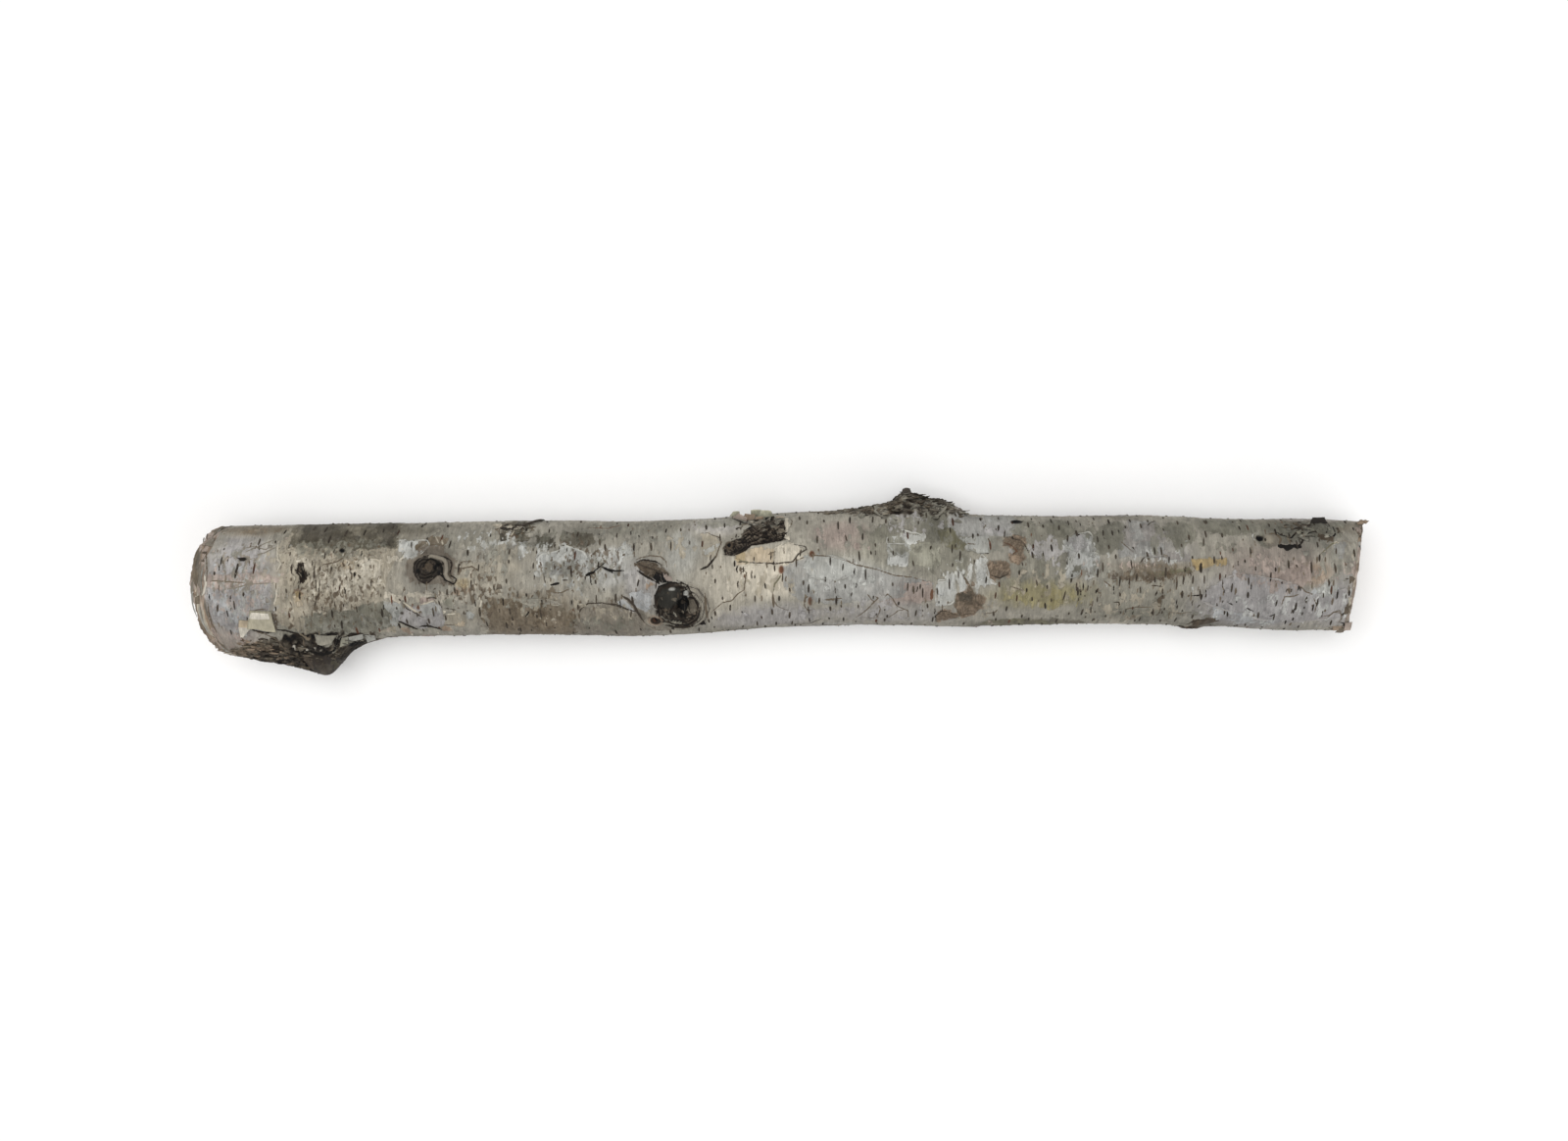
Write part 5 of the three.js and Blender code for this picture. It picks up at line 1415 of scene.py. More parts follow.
def short_cracks():
    """Rows like those of LINES for the crowds of short cracks."""
    draw = np.random.default_rng(67)
    rows = []
    for x, angle, half_along, half_deg, count, longest, widest in CHAPPED:
        for _ in range(count):
            at = x + half_along * draw.uniform(-1, 1), angle + half_deg * draw.uniform(-1, 1)
            swing = longest * draw.uniform(0.25, 1) / MM_PER_DEGREE
            bends = draw.normal(0, 0.13, 3)
            route = [(at[0] + bends[k], at[1] + (k / 2 - 0.5) * swing) for k in range(3)]
            ink = str(draw.choice(list(CHAPPED_INKS), p=list(CHAPPED_INKS.values())))
            rows.append((draw.uniform(0.5, 1) * widest, ink, 0.12, route))
    return rows


SHORT_CRACKS = short_cracks()


def linear(colour):
    """Screen values from 0 to 255 as linear light."""
    c = np.clip(np.asarray(colour, float) / 255, 0, 1)
    return np.where(c <= 0.04045, c / 12.92, ((c + 0.055) / 1.055) ** 2.4)


def set_colour(mesh, name, colour):
    """Gives each point of a mesh a colour under a name."""
    rgba = np.ones((len(colour), 4), np.float32)
    rgba[:, :3] = linear(colour)
    layer = mesh.color_attributes.new(name=name, type="FLOAT_COLOR", domain="POINT")
    layer.data.foreach_set("color", rgba.ravel())


def set_value(mesh, name, values):
    """Gives each point of a mesh a value under a name."""
    layer = mesh.attributes.new(name, "FLOAT", "POINT")
    layer.data.foreach_set("value", np.asarray(values, np.float32))


def make_mesh(name, points, faces):
    """A mesh from points in mm and faces that all have as many corners."""
    mesh = bpy.data.meshes.new(name)
    faces = np.asarray(faces, np.int32)
    count, corners = faces.shape
    mesh.vertices.add(len(points))
    mesh.vertices.foreach_set("co", (np.asarray(points) * MM).astype(np.float32).ravel())
    mesh.loops.add(count * corners)
    mesh.loops.foreach_set("vertex_index", faces.ravel())
    mesh.polygons.add(count)
    mesh.polygons.foreach_set("loop_start", np.arange(0, count * corners, corners, dtype=np.int32))
    mesh.update(calc_edges=True)
    mesh.validate()
    return mesh


def add_piece(name, mesh, material):
    """Puts in a piece of the branch that stands for the solid."""
    piece = bpy.data.objects.new(name, mesh)
    bpy.context.scene.collection.objects.link(piece)
    mesh.materials.append(material)
    mesh.shade_smooth()
    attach(piece, BODY)
    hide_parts(NODE)


def grid_faces(rows, columns, closed=False):
    """Four-cornered faces of a grid of points; closed joins the last column to the first."""
    i, j = np.meshgrid(np.arange(rows - 1), np.arange(columns if closed else columns - 1), indexing="ij")
    i, j = i.ravel(), j.ravel()
    k = (j + 1) % columns
    return np.stack((i * columns + j, (i + 1) * columns + j, (i + 1) * columns + k, i * columns + k), axis=1)


def grid_normals(points, closed=False):
    """Normals of a grid of points, facing out of the branch."""
    if closed:
        padded = np.concatenate((points[:, -1:], points, points[:, :1]), axis=1)
        across = padded[:, 2:] - padded[:, :-2]
    else:
        across = np.gradient(points, axis=1)
    normals = np.cross(np.gradient(points, axis=0), across)
    return normals / np.maximum(np.linalg.norm(normals, axis=2), 1e-9)[..., None]


def feed(tree, socket, value):
    """Links a value to an input, or sets the input to it."""
    if isinstance(value, bpy.types.NodeSocket):
        tree.links.new(value, socket)
    else:
        socket.default_value = value


def node(tree, kind, inputs=None, **settings):
    """A shader node with its settings and with its inputs linked or set."""
    made = tree.nodes.new(kind)
    for key, value in settings.items():
        setattr(made, key, value)
    for key, value in (inputs or {}).items():
        feed(tree, made.inputs[key], value)
    return made


def new_material(name):
    """A material with its nodes and its shader."""
    material = bpy.data.materials.new(name)
    material.use_nodes = True
    tree = material.node_tree
    return material, tree, tree.nodes["Principled BSDF"]


def own_space(tree, stretch):
    """Places in the piece's own space, in metres, stretched along its three directions."""
    place = node(tree, "ShaderNodeTexCoord").outputs["Object"]
    return node(tree, "ShaderNodeVectorMath", {0: place, 1: stretch}, operation="MULTIPLY").outputs[0]


def texture(tree, scale, stretch, detail, roughness):
    """Noise: scale is waves to the metre."""
    inputs = {"Vector": own_space(tree, stretch), "Scale": scale, "Detail": detail, "Roughness": roughness}
    return node(tree, "ShaderNodeTexNoise", inputs).outputs["Fac"]


def cells(tree, scale, stretch):
    """One random value from 0 to 1 for each many-sided cell: scale is cells to the metre."""
    made = node(tree, "ShaderNodeTexVoronoi", {"Vector": own_space(tree, stretch), "Scale": scale})
    return node(tree, "ShaderNodeSeparateColor", {0: made.outputs["Color"]}).outputs[0]


def ranged(tree, value, low, high, to_low, to_high):
    """A value carried smoothly from one range to another."""
    inputs = {"Value": value, "From Min": low, "From Max": high, "To Min": to_low, "To Max": to_high}
    return node(tree, "ShaderNodeMapRange", inputs, interpolation_type="SMOOTHSTEP").outputs[0]


def maths(tree, operation, a, b):
    """A sum, difference or product of values or plain numbers."""
    return node(tree, "ShaderNodeMath", {0: a, 1: b}, operation=operation).outputs[0]


def blend(tree, share, a, b, how="MIX"):
    """Two colours mixed by a share; sockets or plain colours."""
    made = node(tree, "ShaderNodeMix", {0: share, 6: a, 7: b}, data_type="RGBA", blend_type=how)
    return made.outputs[2]


def attribute(tree, name, output="Color"):
    """Colours or values that the mesh carries under a name."""
    return node(tree, "ShaderNodeAttribute", attribute_name=name).outputs[output]


def weighed(tree, value, weight):
    """A value times a plain number or another value."""
    return maths(tree, "MULTIPLY", value, weight)


def centred(tree, value, weight):
    """How far a value lies from a half, times a number."""
    return weighed(tree, maths(tree, "SUBTRACT", value, 0.5), weight)


def tinted(tree, colour, rows):
    """A colour darkened and lightened by values: value, its low and high, tone at the low and at the high."""
    for row in rows:
        shade = ranged(tree, *row)
        tint = node(tree, "ShaderNodeCombineColor", {0: shade, 1: shade, 2: shade}).outputs[0]
        colour = blend(tree, 1.0, colour, tint, "MULTIPLY")
    return colour


def surface(tree, shader, colour, roughness, specular, relief, strength, distance):
    """Colour, roughness, gloss and relief of a material; distance is the relief's height in metres."""
    bump = node(tree, "ShaderNodeBump", {"Height": relief, "Strength": strength, "Distance": distance})
    tree.links.new(colour, shader.inputs["Base Color"])
    tree.links.new(bump.outputs[0], shader.inputs["Normal"])
    feed(tree, shader.inputs["Roughness"], roughness)
    shader.inputs["Specular IOR Level"].default_value = specular


def bark_material():
    """Papery skin: torn layers, fine streaks round the branch, specks, and fissures where it is corky."""
    material, tree, shader = new_material("Birch bark")
    streak = texture(tree, 800, (1, 0.16, 0.16), 4, 0.6)
    fibre = texture(tree, 2100, (1, 0.12, 0.12), 3, 0.6)
    speck = texture(tree, 1500, (1, 0.7, 0.7), 2, 0.5)
    cloud = texture(tree, 160, (1, 0.6, 0.6), 4, 0.6)
    cork = texture(tree, 620, (0.7, 1, 1), 5, 0.7)
    blocks = texture(tree, 300, (1, 0.5, 0.5), 4, 0.65)
    blocks = maths(tree, "ADD", blocks, weighed(tree, cells(tree, 330, (1, 0.5, 0.5)), 0.16))
    chips = cells(tree, 900, (1, 0.5, 0.5))
    shreds = cells(tree, 950, (1, 0.6, 0.6))
    worn = attribute(tree, "worn", "Fac")

    torn = attribute(tree, "peel", "Fac")
    for value, weight in ((streak, 1.6), (shreds, 1.3), (speck, 0.5)):
        torn = maths(tree, "ADD", torn, centred(tree, value, weight))
    over_share = ranged(tree, torn, -0.1, 0.1, 0, 1)
    # Painted shadow: a dark band just outside each torn layer's edge, where the lifted edge would cast shade.
    painted_edge_shadow = weighed(tree, ranged(tree, torn, -0.55, -0.1, 0, 1), ranged(tree, torn, -0.1, 0.1, 1, 0))
    painted_edge_shadow = weighed(tree, painted_edge_shadow, ranged(tree, cloud, 0.44, 0.56, 0.3, 1))
    # Painted highlight: a bright band just inside each torn layer's edge, on its raised rim.
    painted_edge_highlight = weighed(tree, ranged(tree, torn, 0.05, 0.2, 0, 1), ranged(tree, torn, 0.3, 0.8, 1, 0))
    painted_edge_highlight = weighed(tree, painted_edge_highlight, ranged(tree, cloud, 0.44, 0.56, 1, 0))
    pale_chip = weighed(tree, worn, ranged(tree, chips, 0.83, 0.84, 0, 1))
    dark_chip = weighed(tree, worn, ranged(tree, chips, 0.13, 0.14, 1, 0))

    colour = blend(tree, over_share, attribute(tree, "under"), attribute(tree, "over"))
    colour = tinted(tree, colour, (
        (streak, 0.36, 0.64, 0.91, 1.07), (fibre, 0.34, 0.66, 0.90, 1.08), (cloud, 0.34, 0.66, 0.895, 1.08),
        (speck, 0.30, 0.38, 0.74, 1.0), (painted_edge_shadow, 0, 1, 1, 0.79), (painted_edge_highlight, 0, 1, 1, 1.08),
        (blocks, 0.58, 0.59, 0.95, 1.035), (blocks, 0.475, 0.485, 0.93, 1.0),
        (pale_chip, 0, 1, 1, 1.17), (dark_chip, 0, 1, 1, 0.81),
    ))
    rough = weighed(tree, attribute(tree, "rough", "Fac"), 0.7)
    fissure = weighed(tree, ranged(tree, cork, 0.42, 0.5, 1, 0), rough)
    colour = blend(tree, fissure, colour, FISSURE_COLOUR)
    inside_line = maths(tree, "ADD", attribute(tree, "crack", "Fac"), centred(tree, speck, 0.5))
    colour = blend(tree, ranged(tree, inside_line, -0.06, 0.06, 0, 1), colour, attribute(tree, "line"))

    relief = maths(tree, "ADD", weighed(tree, over_share, 0.5), weighed(tree, streak, 0.55))
    relief = maths(tree, "ADD", relief, weighed(tree, fibre, 0.3))
    relief = maths(tree, "SUBTRACT", relief, weighed(tree, fissure, 2.4))
    roughness = ranged(tree, cloud, 0.3, 0.7, 0.7, 0.9)
    surface(tree, shader, colour, roughness, 0.2, relief, 0.7, 0.00022)
    return material


def bark_grid():
    """Places of the whole skin: rings that lean from one saw cut to the other."""
    starts = np.linspace(LEFT_CUT[0], RIGHT_CUT[0], RINGS + 1)
    start, angle = [g.ravel() for g in np.meshgrid(starts, SIDE_ANGLES, indexing="ij")]
    share = (start - LEFT_CUT[0]) / (RIGHT_CUT[0] - LEFT_CUT[0])
    fray = noise(24 * outward(angle), (4, 4, 4), 110) + 0.6 * noise(24 * outward(angle), (1.6, 1.6, 1.6), 111)
    left, right = np.exp((starts[0] - start) / FRAY_REACH), np.exp((start - starts[-1]) / FRAY_REACH)
    fray = LEFT_FRAY * fray * left - RIGHT_FRAY * fray * right
    x = start.copy()
    for _ in range(LEAN_ROUNDS):
        p = on_form(x, angle)
        x = start + (1 - share) * lean(LEFT_CUT, p) + share * lean(RIGHT_CUT, p) + fray
    return x, angle


def lean(cut, p):
    """How far a leaning cut stands from its own centre at points."""
    at = np.array([float(cut[0])])
    return cut[1] * (p[:, 1] - along(TRUNK, at, Y)) + cut[2] * (p[:, 2] - along(TRUNK, at, Z))


def in_from_cut(cut, side, x, p):
    """How far places lie in from a saw cut; side is 1 for the left cut and -1 for the right one."""
    return side * (x - cut[0] - lean(cut, p))


def bark_pieces(material):
    """The skin, made in stretches; the grid of all its points is returned."""
    x, angle = bark_grid()
    bark = Bark(x, angle)
    points = bark.points.reshape(RINGS + 1, SIDES, 3)
    normals = grid_normals(points, closed=True)
    edges = np.linspace(0, RINGS, len(STRETCHES) + 1).astype(int)
    for name, first, last in zip(STRETCHES, edges, edges[1:]):
        rows = last - first + 1
        part = slice(first * SIDES, (last + 1) * SIDES)
        faces = grid_faces(rows, SIDES, closed=True)
        mesh = make_mesh(name, bark.points[part], faces)
        for layer in ("under", "over", "line"):
            set_colour(mesh, layer, getattr(bark, layer)[part])
        for layer in ("peel", "rough", "crack"):
            set_value(mesh, layer, getattr(bark, layer)[part])
        set_value(mesh, "worn", np.interp(bark.x[part], WORN_AT, WORN))
        unroll(mesh, rows, faces)
        mesh.normals_split_custom_set_from_vertices(normals[first:last + 1].reshape(-1, 3))
        add_piece(name, mesh, material)
    return points


def unroll(mesh, rows, faces):
    """Unrolls a closed stretch of bark into a square, with its seam along the underside."""
    row, column = faces // SIDES, (faces % SIDES - SEAM) % SIDES
    wrapped = (column == 0) & (column.max(axis=1)[:, None] == SIDES - 1)
    column = np.where(wrapped, SIDES, column)
    uv = np.stack((0.01 + 0.98 * row / (rows - 1), 0.01 + 0.98 * column / SIDES), axis=-1)
    layer = mesh.uv_layers.new(name="OFBake")
    layer.data.foreach_set("uv", uv.astype(np.float32).ravel())


def wood_material():
    """Weathered saw-cut wood."""
    material, tree, shader = new_material("Cut wood")
    grain = texture(tree, 1400, (0.3, 1, 1), 4, 0.6)
    cloud = texture(tree, 180, (1, 1, 1), 4, 0.6)
    saw = texture(tree, 900, (0.2, 0.12, 1), 3, 0.6)
    colour = tinted(tree, attribute(tree, "paint"), (
        (grain, 0.35, 0.65, 0.86, 1.1), (cloud, 0.35, 0.65, 0.88, 1.08), (saw, 0.35, 0.65, 0.93, 1.05),
    ))
    surface(tree, shader, colour, 0.82, 0.25, maths(tree, "ADD", grain, saw), 0.6, 0.0002)
    return material


def drying_checks(seed, t, theta, distance, wobble):
    """Cracks that run out from the pith: how open each is at the places, with how wide it gapes."""
    draw = np.random.default_rng(seed)
    for k in range(CHECKS):
        aim = draw.uniform(0, 2 * math.pi)
        inner, outer = draw.uniform(0.04, 0.55), draw.uniform(0.45, 0.93)
        gape = draw.uniform(0.2, 1) ** 1.6
        swing = 0.08 * np.sin(distance / 3 + k) + 0.05 * wobble
        away = np.abs((theta - aim + swing + math.pi) % (2 * math.pi) - math.pi) * distance
        width = WIDEST_CHECK * gape * smooth(t, inner - 0.05, inner + 0.1)
        width = width * smooth(t, outer + 0.06, outer - 0.12)
        yield smooth(away, width + 0.12, width * 0.3) * (width > 0.02), gape


def end_wood(flat, t, theta, seed):
    """Colour and height of a sawn end at its places: rings, checks, pith, inner bark and the papery edge."""
    distance = t * END_RADIUS
    wobble = noise(flat + 7 * seed, 9, 80)
    ring_place = distance + 1.0 * wobble + 0.15 * noise(flat, 2, 81)
    growth = 0.5 + 0.5 * np.sin(2 * math.pi * ring_place / RING_WIDTH)
    wood = mix(INK["wood"], INK["late_wood"], 0.75 * growth ** 3)
    wood = mix(wood, INK["wood_stain"], 0.5 * smooth(noise(flat, 11, 82), 0.0, 0.6))
    wood = mix(wood, INK["pale_wood"], 0.5 * smooth(noise(flat, 8, 83), 0.1, 0.6))
    height = 0.1 * noise(flat, (9, 12, 1.4), 84) - 0.06 * growth
    for check, gape in drying_checks(seed, t, theta, distance, wobble):
        wood = mix(wood, INK["check"], (0.3 + 0.5 * gape) * check)
        height -= 0.9 * gape * check
    pith = smooth(distance + 0.3 * wobble, 1.3, 0.6)
    wood = mix(wood, INK["pith"], pith)
    height -= 0.5 * pith
    bark_start = 1 - (BARK_THICKNESS + 0.5 * noise(flat, 6, 85)) / END_RADIUS
    inner_bark = smooth(t, bark_start - 0.004, bark_start + 0.012)
    crumbs = noise(flat, (2, 1.5, 1.5), 86)
    bark_colour = mix(INK["inner_bark"], INK["bark_crumb"], smooth(crumbs, -0.1, 0.5))
    wood = mix(wood, INK["bark_line"], 0.8 * bell((t - bark_start) / 0.012))
    wood = mix(wood, bark_colour, inner_bark)
    wood = mix(wood, INK["cream"], 0.8 * smooth(t, 0.965, 0.985))
    height += inner_bark * (0.25 * crumbs - 0.25)
    return wood, height * smooth(t, 1.0, 0.97)


def end_piece(name, ring, material, seed, facing):
    """The face of a saw cut, from its middle out to a ring of the skin; facing is its direction along X."""
    centre = ring.mean(axis=0)
    steps_out = np.linspace(0, 1, END_STEPS)
    flat = (centre + steps_out[:, None, None] * (ring - centre)[None]).reshape(-1, 3)
    square = np.cross(ring[0] - centre, ring[SIDES // 4] - centre)
    square *= facing * np.sign(square[0]) / np.linalg.norm(square)
    wood, height = end_wood(flat, np.repeat(steps_out, SIDES), np.tile(SIDE_ANGLES * DEG, END_STEPS), seed)
    faces = grid_faces(END_STEPS, SIDES, closed=True)[:, ::facing]
    mesh = make_mesh(name, flat + square * height[:, None], faces)
    set_colour(mesh, "paint", wood)
    add_piece(name, mesh, material)


class Scraps:
    """Many small closed shapes gathered into one mesh."""

    def __init__(self):
        self.points, self.faces, self.colours, self.count = [], [], [], 0

    def add(self, points, faces, colours):
        """Takes in a shape, with its own points, faces and colours."""
        self.points.append(points)
        self.faces.append(np.asarray(faces) + self.count)
        self.colours.append(np.broadcast_to(colours, points.shape))
        self.count += len(points)

    def piece(self, name, material, slot):
        """Makes one piece of all the shapes."""
        mesh = make_mesh(name, np.concatenate(self.points), np.concatenate(self.faces))
        set_colour(mesh, "paint", np.concatenate(self.colours))
        add_piece(name, mesh, material)


def slab_faces(rows, columns):
    """Both faces of a grid of points, stored one after the other, and the rim between them."""
    top = grid_faces(rows, columns)
    bottom = top[:, ::-1] + rows * columns
    edge = [i * columns for i in range(rows)] + [(rows - 1) * columns + j for j in range(1, columns)]
    edge += [i * columns + columns - 1 for i in range(rows - 2, -1, -1)] + list(range(columns - 2, 0, -1))
    edge = np.array(edge)
    turned = np.roll(edge, -1)
    rim = np.stack((edge, edge + rows * columns, turned + rows * columns, turned), axis=1)
    return np.concatenate((top, bottom, rim))


def directions(angle, heading):
    """The bark's own directions at a place: out from it, along the strip and across the strip."""
    out = np.array([0, math.sin(angle * DEG), math.cos(angle * DEG)])
    around = np.array([0, math.cos(angle * DEG), -math.sin(angle * DEG)])
    run = np.array([math.cos(heading * DEG), 0, 0]) + around * math.sin(heading * DEG)
    return out, run, np.cross(out, run)


def ragged_line(draw, count):
    """Values from 0 to 1 that run from tooth to tooth."""
    teeth = max(3, round(count / 3))
    return np.interp(np.linspace(0, teeth - 1, count), np.arange(teeth), draw.random(teeth))


def add_shell(scraps, root, angle, heading, length, width, bend, thick, outer, inner, draw,
              steps, rows, sink, torn, cup=0.0, twist=0.0):
    """A thin strip that leaves the bark along an arc: its outer bark faces out, its inner bark faces in."""
    out, run, across = directions(angle, heading)
    radius = length / max(bend * DEG, 1e-3)
    side = np.linspace(-1, 1, rows)
    reach = 1 - torn * (0.5 * ragged_line(draw, rows) + 0.25 * (1 + draw.choice((-1, 1)) * side))
    tip_taper = draw.uniform(0.2, 0.7)
    left, right = 1 - 0.5 * torn * ragged_line(draw, steps), 1 - 0.5 * torn * ragged_line(draw, steps)
    at = np.stack(np.broadcast_arrays(
        np.linspace(0, length, steps)[:, None], side[None] * width / 2, draw.uniform(0, 90)), axis=-1)
    bumps = (0.25 * thick + 0.02 * length) * noise(at.reshape(-1, 3), 2.6, 95).reshape(steps, rows)
    grids = []
    for face in (1, 0):
        share = np.linspace(0, 1, steps)[:, None]
        turned = bend * DEG * share * reach[None, :]
        span = radius - face * thick * (1 - 0.5 * share ** 2)
        narrow = 1 - tip_taper * share ** 2
        half = width / 2 * narrow * np.where(side < 0, left[:, None], right[:, None])
        rise = radius - span * np.cos(turned) - sink + bumps * share + cup * (side ** 2) * share
        sway = half * side + twist * share * rise
        grid = (root + run * (span * np.sin(turned))[..., None] + out * rise[..., None]
                + across * sway[..., None])
        grids.append(grid)
    points = np.concatenate([g.reshape(-1, 3) for g in grids])
    colours = np.empty((2 * steps * rows, 3))
    fade = np.repeat(np.linspace(0, 1, steps), rows)[:, None]
    speck = draw.normal(0, 4, (steps * rows, 1))
    # Painted shade: both faces are darker towards the root, and the inner face darker still.
    colours[:steps * rows] = np.asarray(outer, float) * (0.93 + 0.1 * fade) + speck
    colours[steps * rows:] = np.asarray(inner, float) * (0.8 + 0.2 * fade) + speck
    points[:, 2] = np.maximum(points[:, 2], 0)
    scraps.add(points, slab_faces(steps, rows), colours)


def paper_material():
    """Thin papery bark: fine fibres across the strip and faint blotches."""
    material, tree, shader = new_material("Paper bark")
    fibre = texture(tree, 1900, (1, 0.3, 0.3), 3, 0.6)
    blotch = texture(tree, 420, (1, 1, 1), 4, 0.6)
    colour = tinted(tree, attribute(tree, "paint"), (
        (fibre, 0.34, 0.66, 0.86, 1.08), (blotch, 0.34, 0.66, 0.86, 1.08),
    ))
    surface(tree, shader, colour, ranged(tree, blotch, 0.3, 0.7, 0.55, 0.8), 0.3, fibre, 0.5, 0.00015)
    return material


def dark_material():
    """Dark corky scraps: coarse grains and fine cracks."""
    material, tree, shader = new_material("Dark bark")
    grain = texture(tree, 1100, (0.7, 1, 1), 5, 0.7)
    blotch = texture(tree, 380, (1, 1, 1), 4, 0.6)
    colour = tinted(tree, attribute(tree, "paint"), (
        (grain, 0.36, 0.62, 0.6, 1.15), (blotch, 0.34, 0.66, 0.8, 1.15),
    ))
    surface(tree, shader, colour, 0.88, 0.2, grain, 0.8, 0.0003)
    return material


# Strips torn loose: x, angle, heading, length, width, bend, outer and inner colour, as in the solid
CURLS = {
    "curls_burl": [
        (38, 68, 160, 7, 8, 45, "ash", "brown"), (55, 66, 30, 8, 7, 40, "ash", "brown"),
        (46, 108, 95, 8, 9, 50, "brown", "knot"),
    ],
    "curls_hidden": [
        (118, 150, 200, 12, 12, 45, "cream", "tan"), (-70, -150, 20, 12, 10, 60, "white", "tan"),
        (-120, 118, 100, 10, 13, 85, "cream", "tan"),
    ],
}

# Flaps torn loose, by piece: outer and inner colour, then the two corners of the root and the two of the tip,
# each as x, angle and height
FLAPS = {
    "curls_left": [
        ("parchment", "tan", [(-204.4, -18, 0.4), (-196.6, -20, 0.4), (-194.6, -37, 4), (-205.6, -33, 3.6)]),
        ("honey", "tan", [(-208.9, -27, 0.3), (-205, -28, 0.3), (-205.6, -34, 1.6), (-209.4, -33, 1.4)]),
        ("bone", "cream", [
            (-209.4, -32.6, 1.35), (-204.2, -33.4, 1.5), (-208.3, -43, 2.2), (-209, -43, 2.2),
        ]),
        ("bone", "cream", [
            (-205.2, -25.5, 1.9), (-196.9, -26, 2), (-197.2, -20.5, 1.15), (-204, -19.5, 1.1),
        ]),
    ],
    "curls_spur": [
        ("ash", "brown", [(-181.6, -46, 0.3), (-173.6, -52.5, 0.3), (-175.6, -57, 1), (-180.9, -55.5, 0.9)]),
        ("sage", "brown", [(-172.3, -58, 0.3), (-169.8, -58, 0.3), (-170.4, -68, 1), (-173.6, -66, 1)]),
        ("mist", "tan", [(-169.9, -59, 0.3), (-164.3, -58.5, 0.3), (-164.5, -65, 0.8), (-169.8, -65, 1)]),
        ("mist", "tan", [(-163.9, -61, 0.2), (-160.3, -65, 0.2), (-160.6, -76, 0.6), (-164, -78, 0.8)]),
    ],
    "curls_scar": [
        ("lichen", "parchment", [(-23.4, 84, 0.2), (-19.1, 76, 0.3), (-19.4, 72, 2.6), (-21.7, 80, 2.4)]),
        ("rosy", "rosy", [(-22.1, 71, 0.3), (-16.5, 57, 0.3), (-16.2, 55, 2.2), (-19.3, 65, 3)]),
        ("bark_brown", "bark_brown", [
            (-17.5, 60, 0.3), (-13.2, 60, 0.3), (-13.2, 62, 2.6), (-17.3, 66, 2.4),
        ]),
        ("lichen", "parchment", [(-14.8, 72, 0.3), (-11.7, 70, 0.3), (-10.7, 66, 3.4), (-15, 68, 3.4)]),
        ("lichen", "parchment", [(-12.5, 66, 0.3), (-6.2, 64, 0.3), (-7, 62, 3.1), (-10.7, 65, 3.5)]),
        ("tan", "brown", [(-13, 59, 0.3), (-9.9, 59, 0.3), (-9.9, 58, 1.6), (-12.8, 60, 1.6)]),
        ("taupe", "brown", [(-13.6, 54, 0.3), (-10.2, 55, 0.3), (-10.9, 45, 0.7), (-12.9, 46, 0.7)]),
        ("cream", "tan", [(-15.7, 57, 0.3), (-13.6, 56, 0.4), (-13.9, 49, 0.7), (-14.7, 51, 0.7)]),
        ("cream", "umber", [(-5.5, 62, 0.3), (-2.3, 59, 0.3), (-1.7, 53, 0.7), (-5.1, 54, 0.8)]),
        ("tan", "umber", [(-5.1, 61, 0.6), (-2.4, 58, 0.6), (-2, 54, 0.85), (-4.8, 55.4, 0.95)]),
    ],
    "curls_burl": [("knot", "deep", [(43.5, 86, 0), (48, 86, 0), (47.5, 92, 2.2), (44.5, 92, 2.2)])],
    "curls_right": [
        ("deep", "deep", [(201.5, 64, 0.1), (208.3, 64, 0.1), (208.1, 71, 1.8), (203.1, 70, 1.7)]),
        ("tan", "brown", [(210.6, -64, 0.2), (214, -62, 0.3), (214.4, -72, 0.9), (211.4, -74, 0.9)]),
        ("rosy", "tan", [(214.6, -56, 0.3), (217.2, -54, 0.3), (217.8, -68, 1.1), (215.4, -72, 1.2)]),
        ("brown", "umber", [(213.2, -66, 0.6), (215.4, -66, 0.6), (216, -78, 1.2), (213, -80, 1.2)]),
    ],
}


# Flaps: steps from root to tip and from side to side, share torn off, bulge and thickness in mm
FLAP_STEPS = 11
FLAP_ROWS = 13
FLAP_TORN = 0.13
FLAP_BULGE = 0.1
FLAP_THICKNESS = 0.25


def flap_grid(corners, draw):
    """Places and heights over a four-cornered flap, torn at its tip and at both sides."""
    down, side = np.meshgrid(np.linspace(0, 1, FLAP_STEPS), np.linspace(0, 1, FLAP_ROWS), indexing="ij")
    down = down * (1 - FLAP_TORN * ragged_line(draw, FLAP_ROWS))
    near, far = ragged_line(draw, FLAP_STEPS)[:, None], ragged_line(draw, FLAP_STEPS)[:, None]
    side = 0.5 + (side - 0.5) * (1 - FLAP_TORN * np.where(side < 0.5, near, far) * down)
    a, b, c, d = [np.array(corner, float) for corner in corners]
    root, tip = a + (b - a) * side[..., None], d + (c - d) * side[..., None]
    grid = root + (tip - root) * down[..., None]
    grid[..., 2] += FLAP_BULGE * np.sin(math.pi * down) * np.sin(math.pi * np.clip(side, 0, 1)) ** 0.5
    return grid


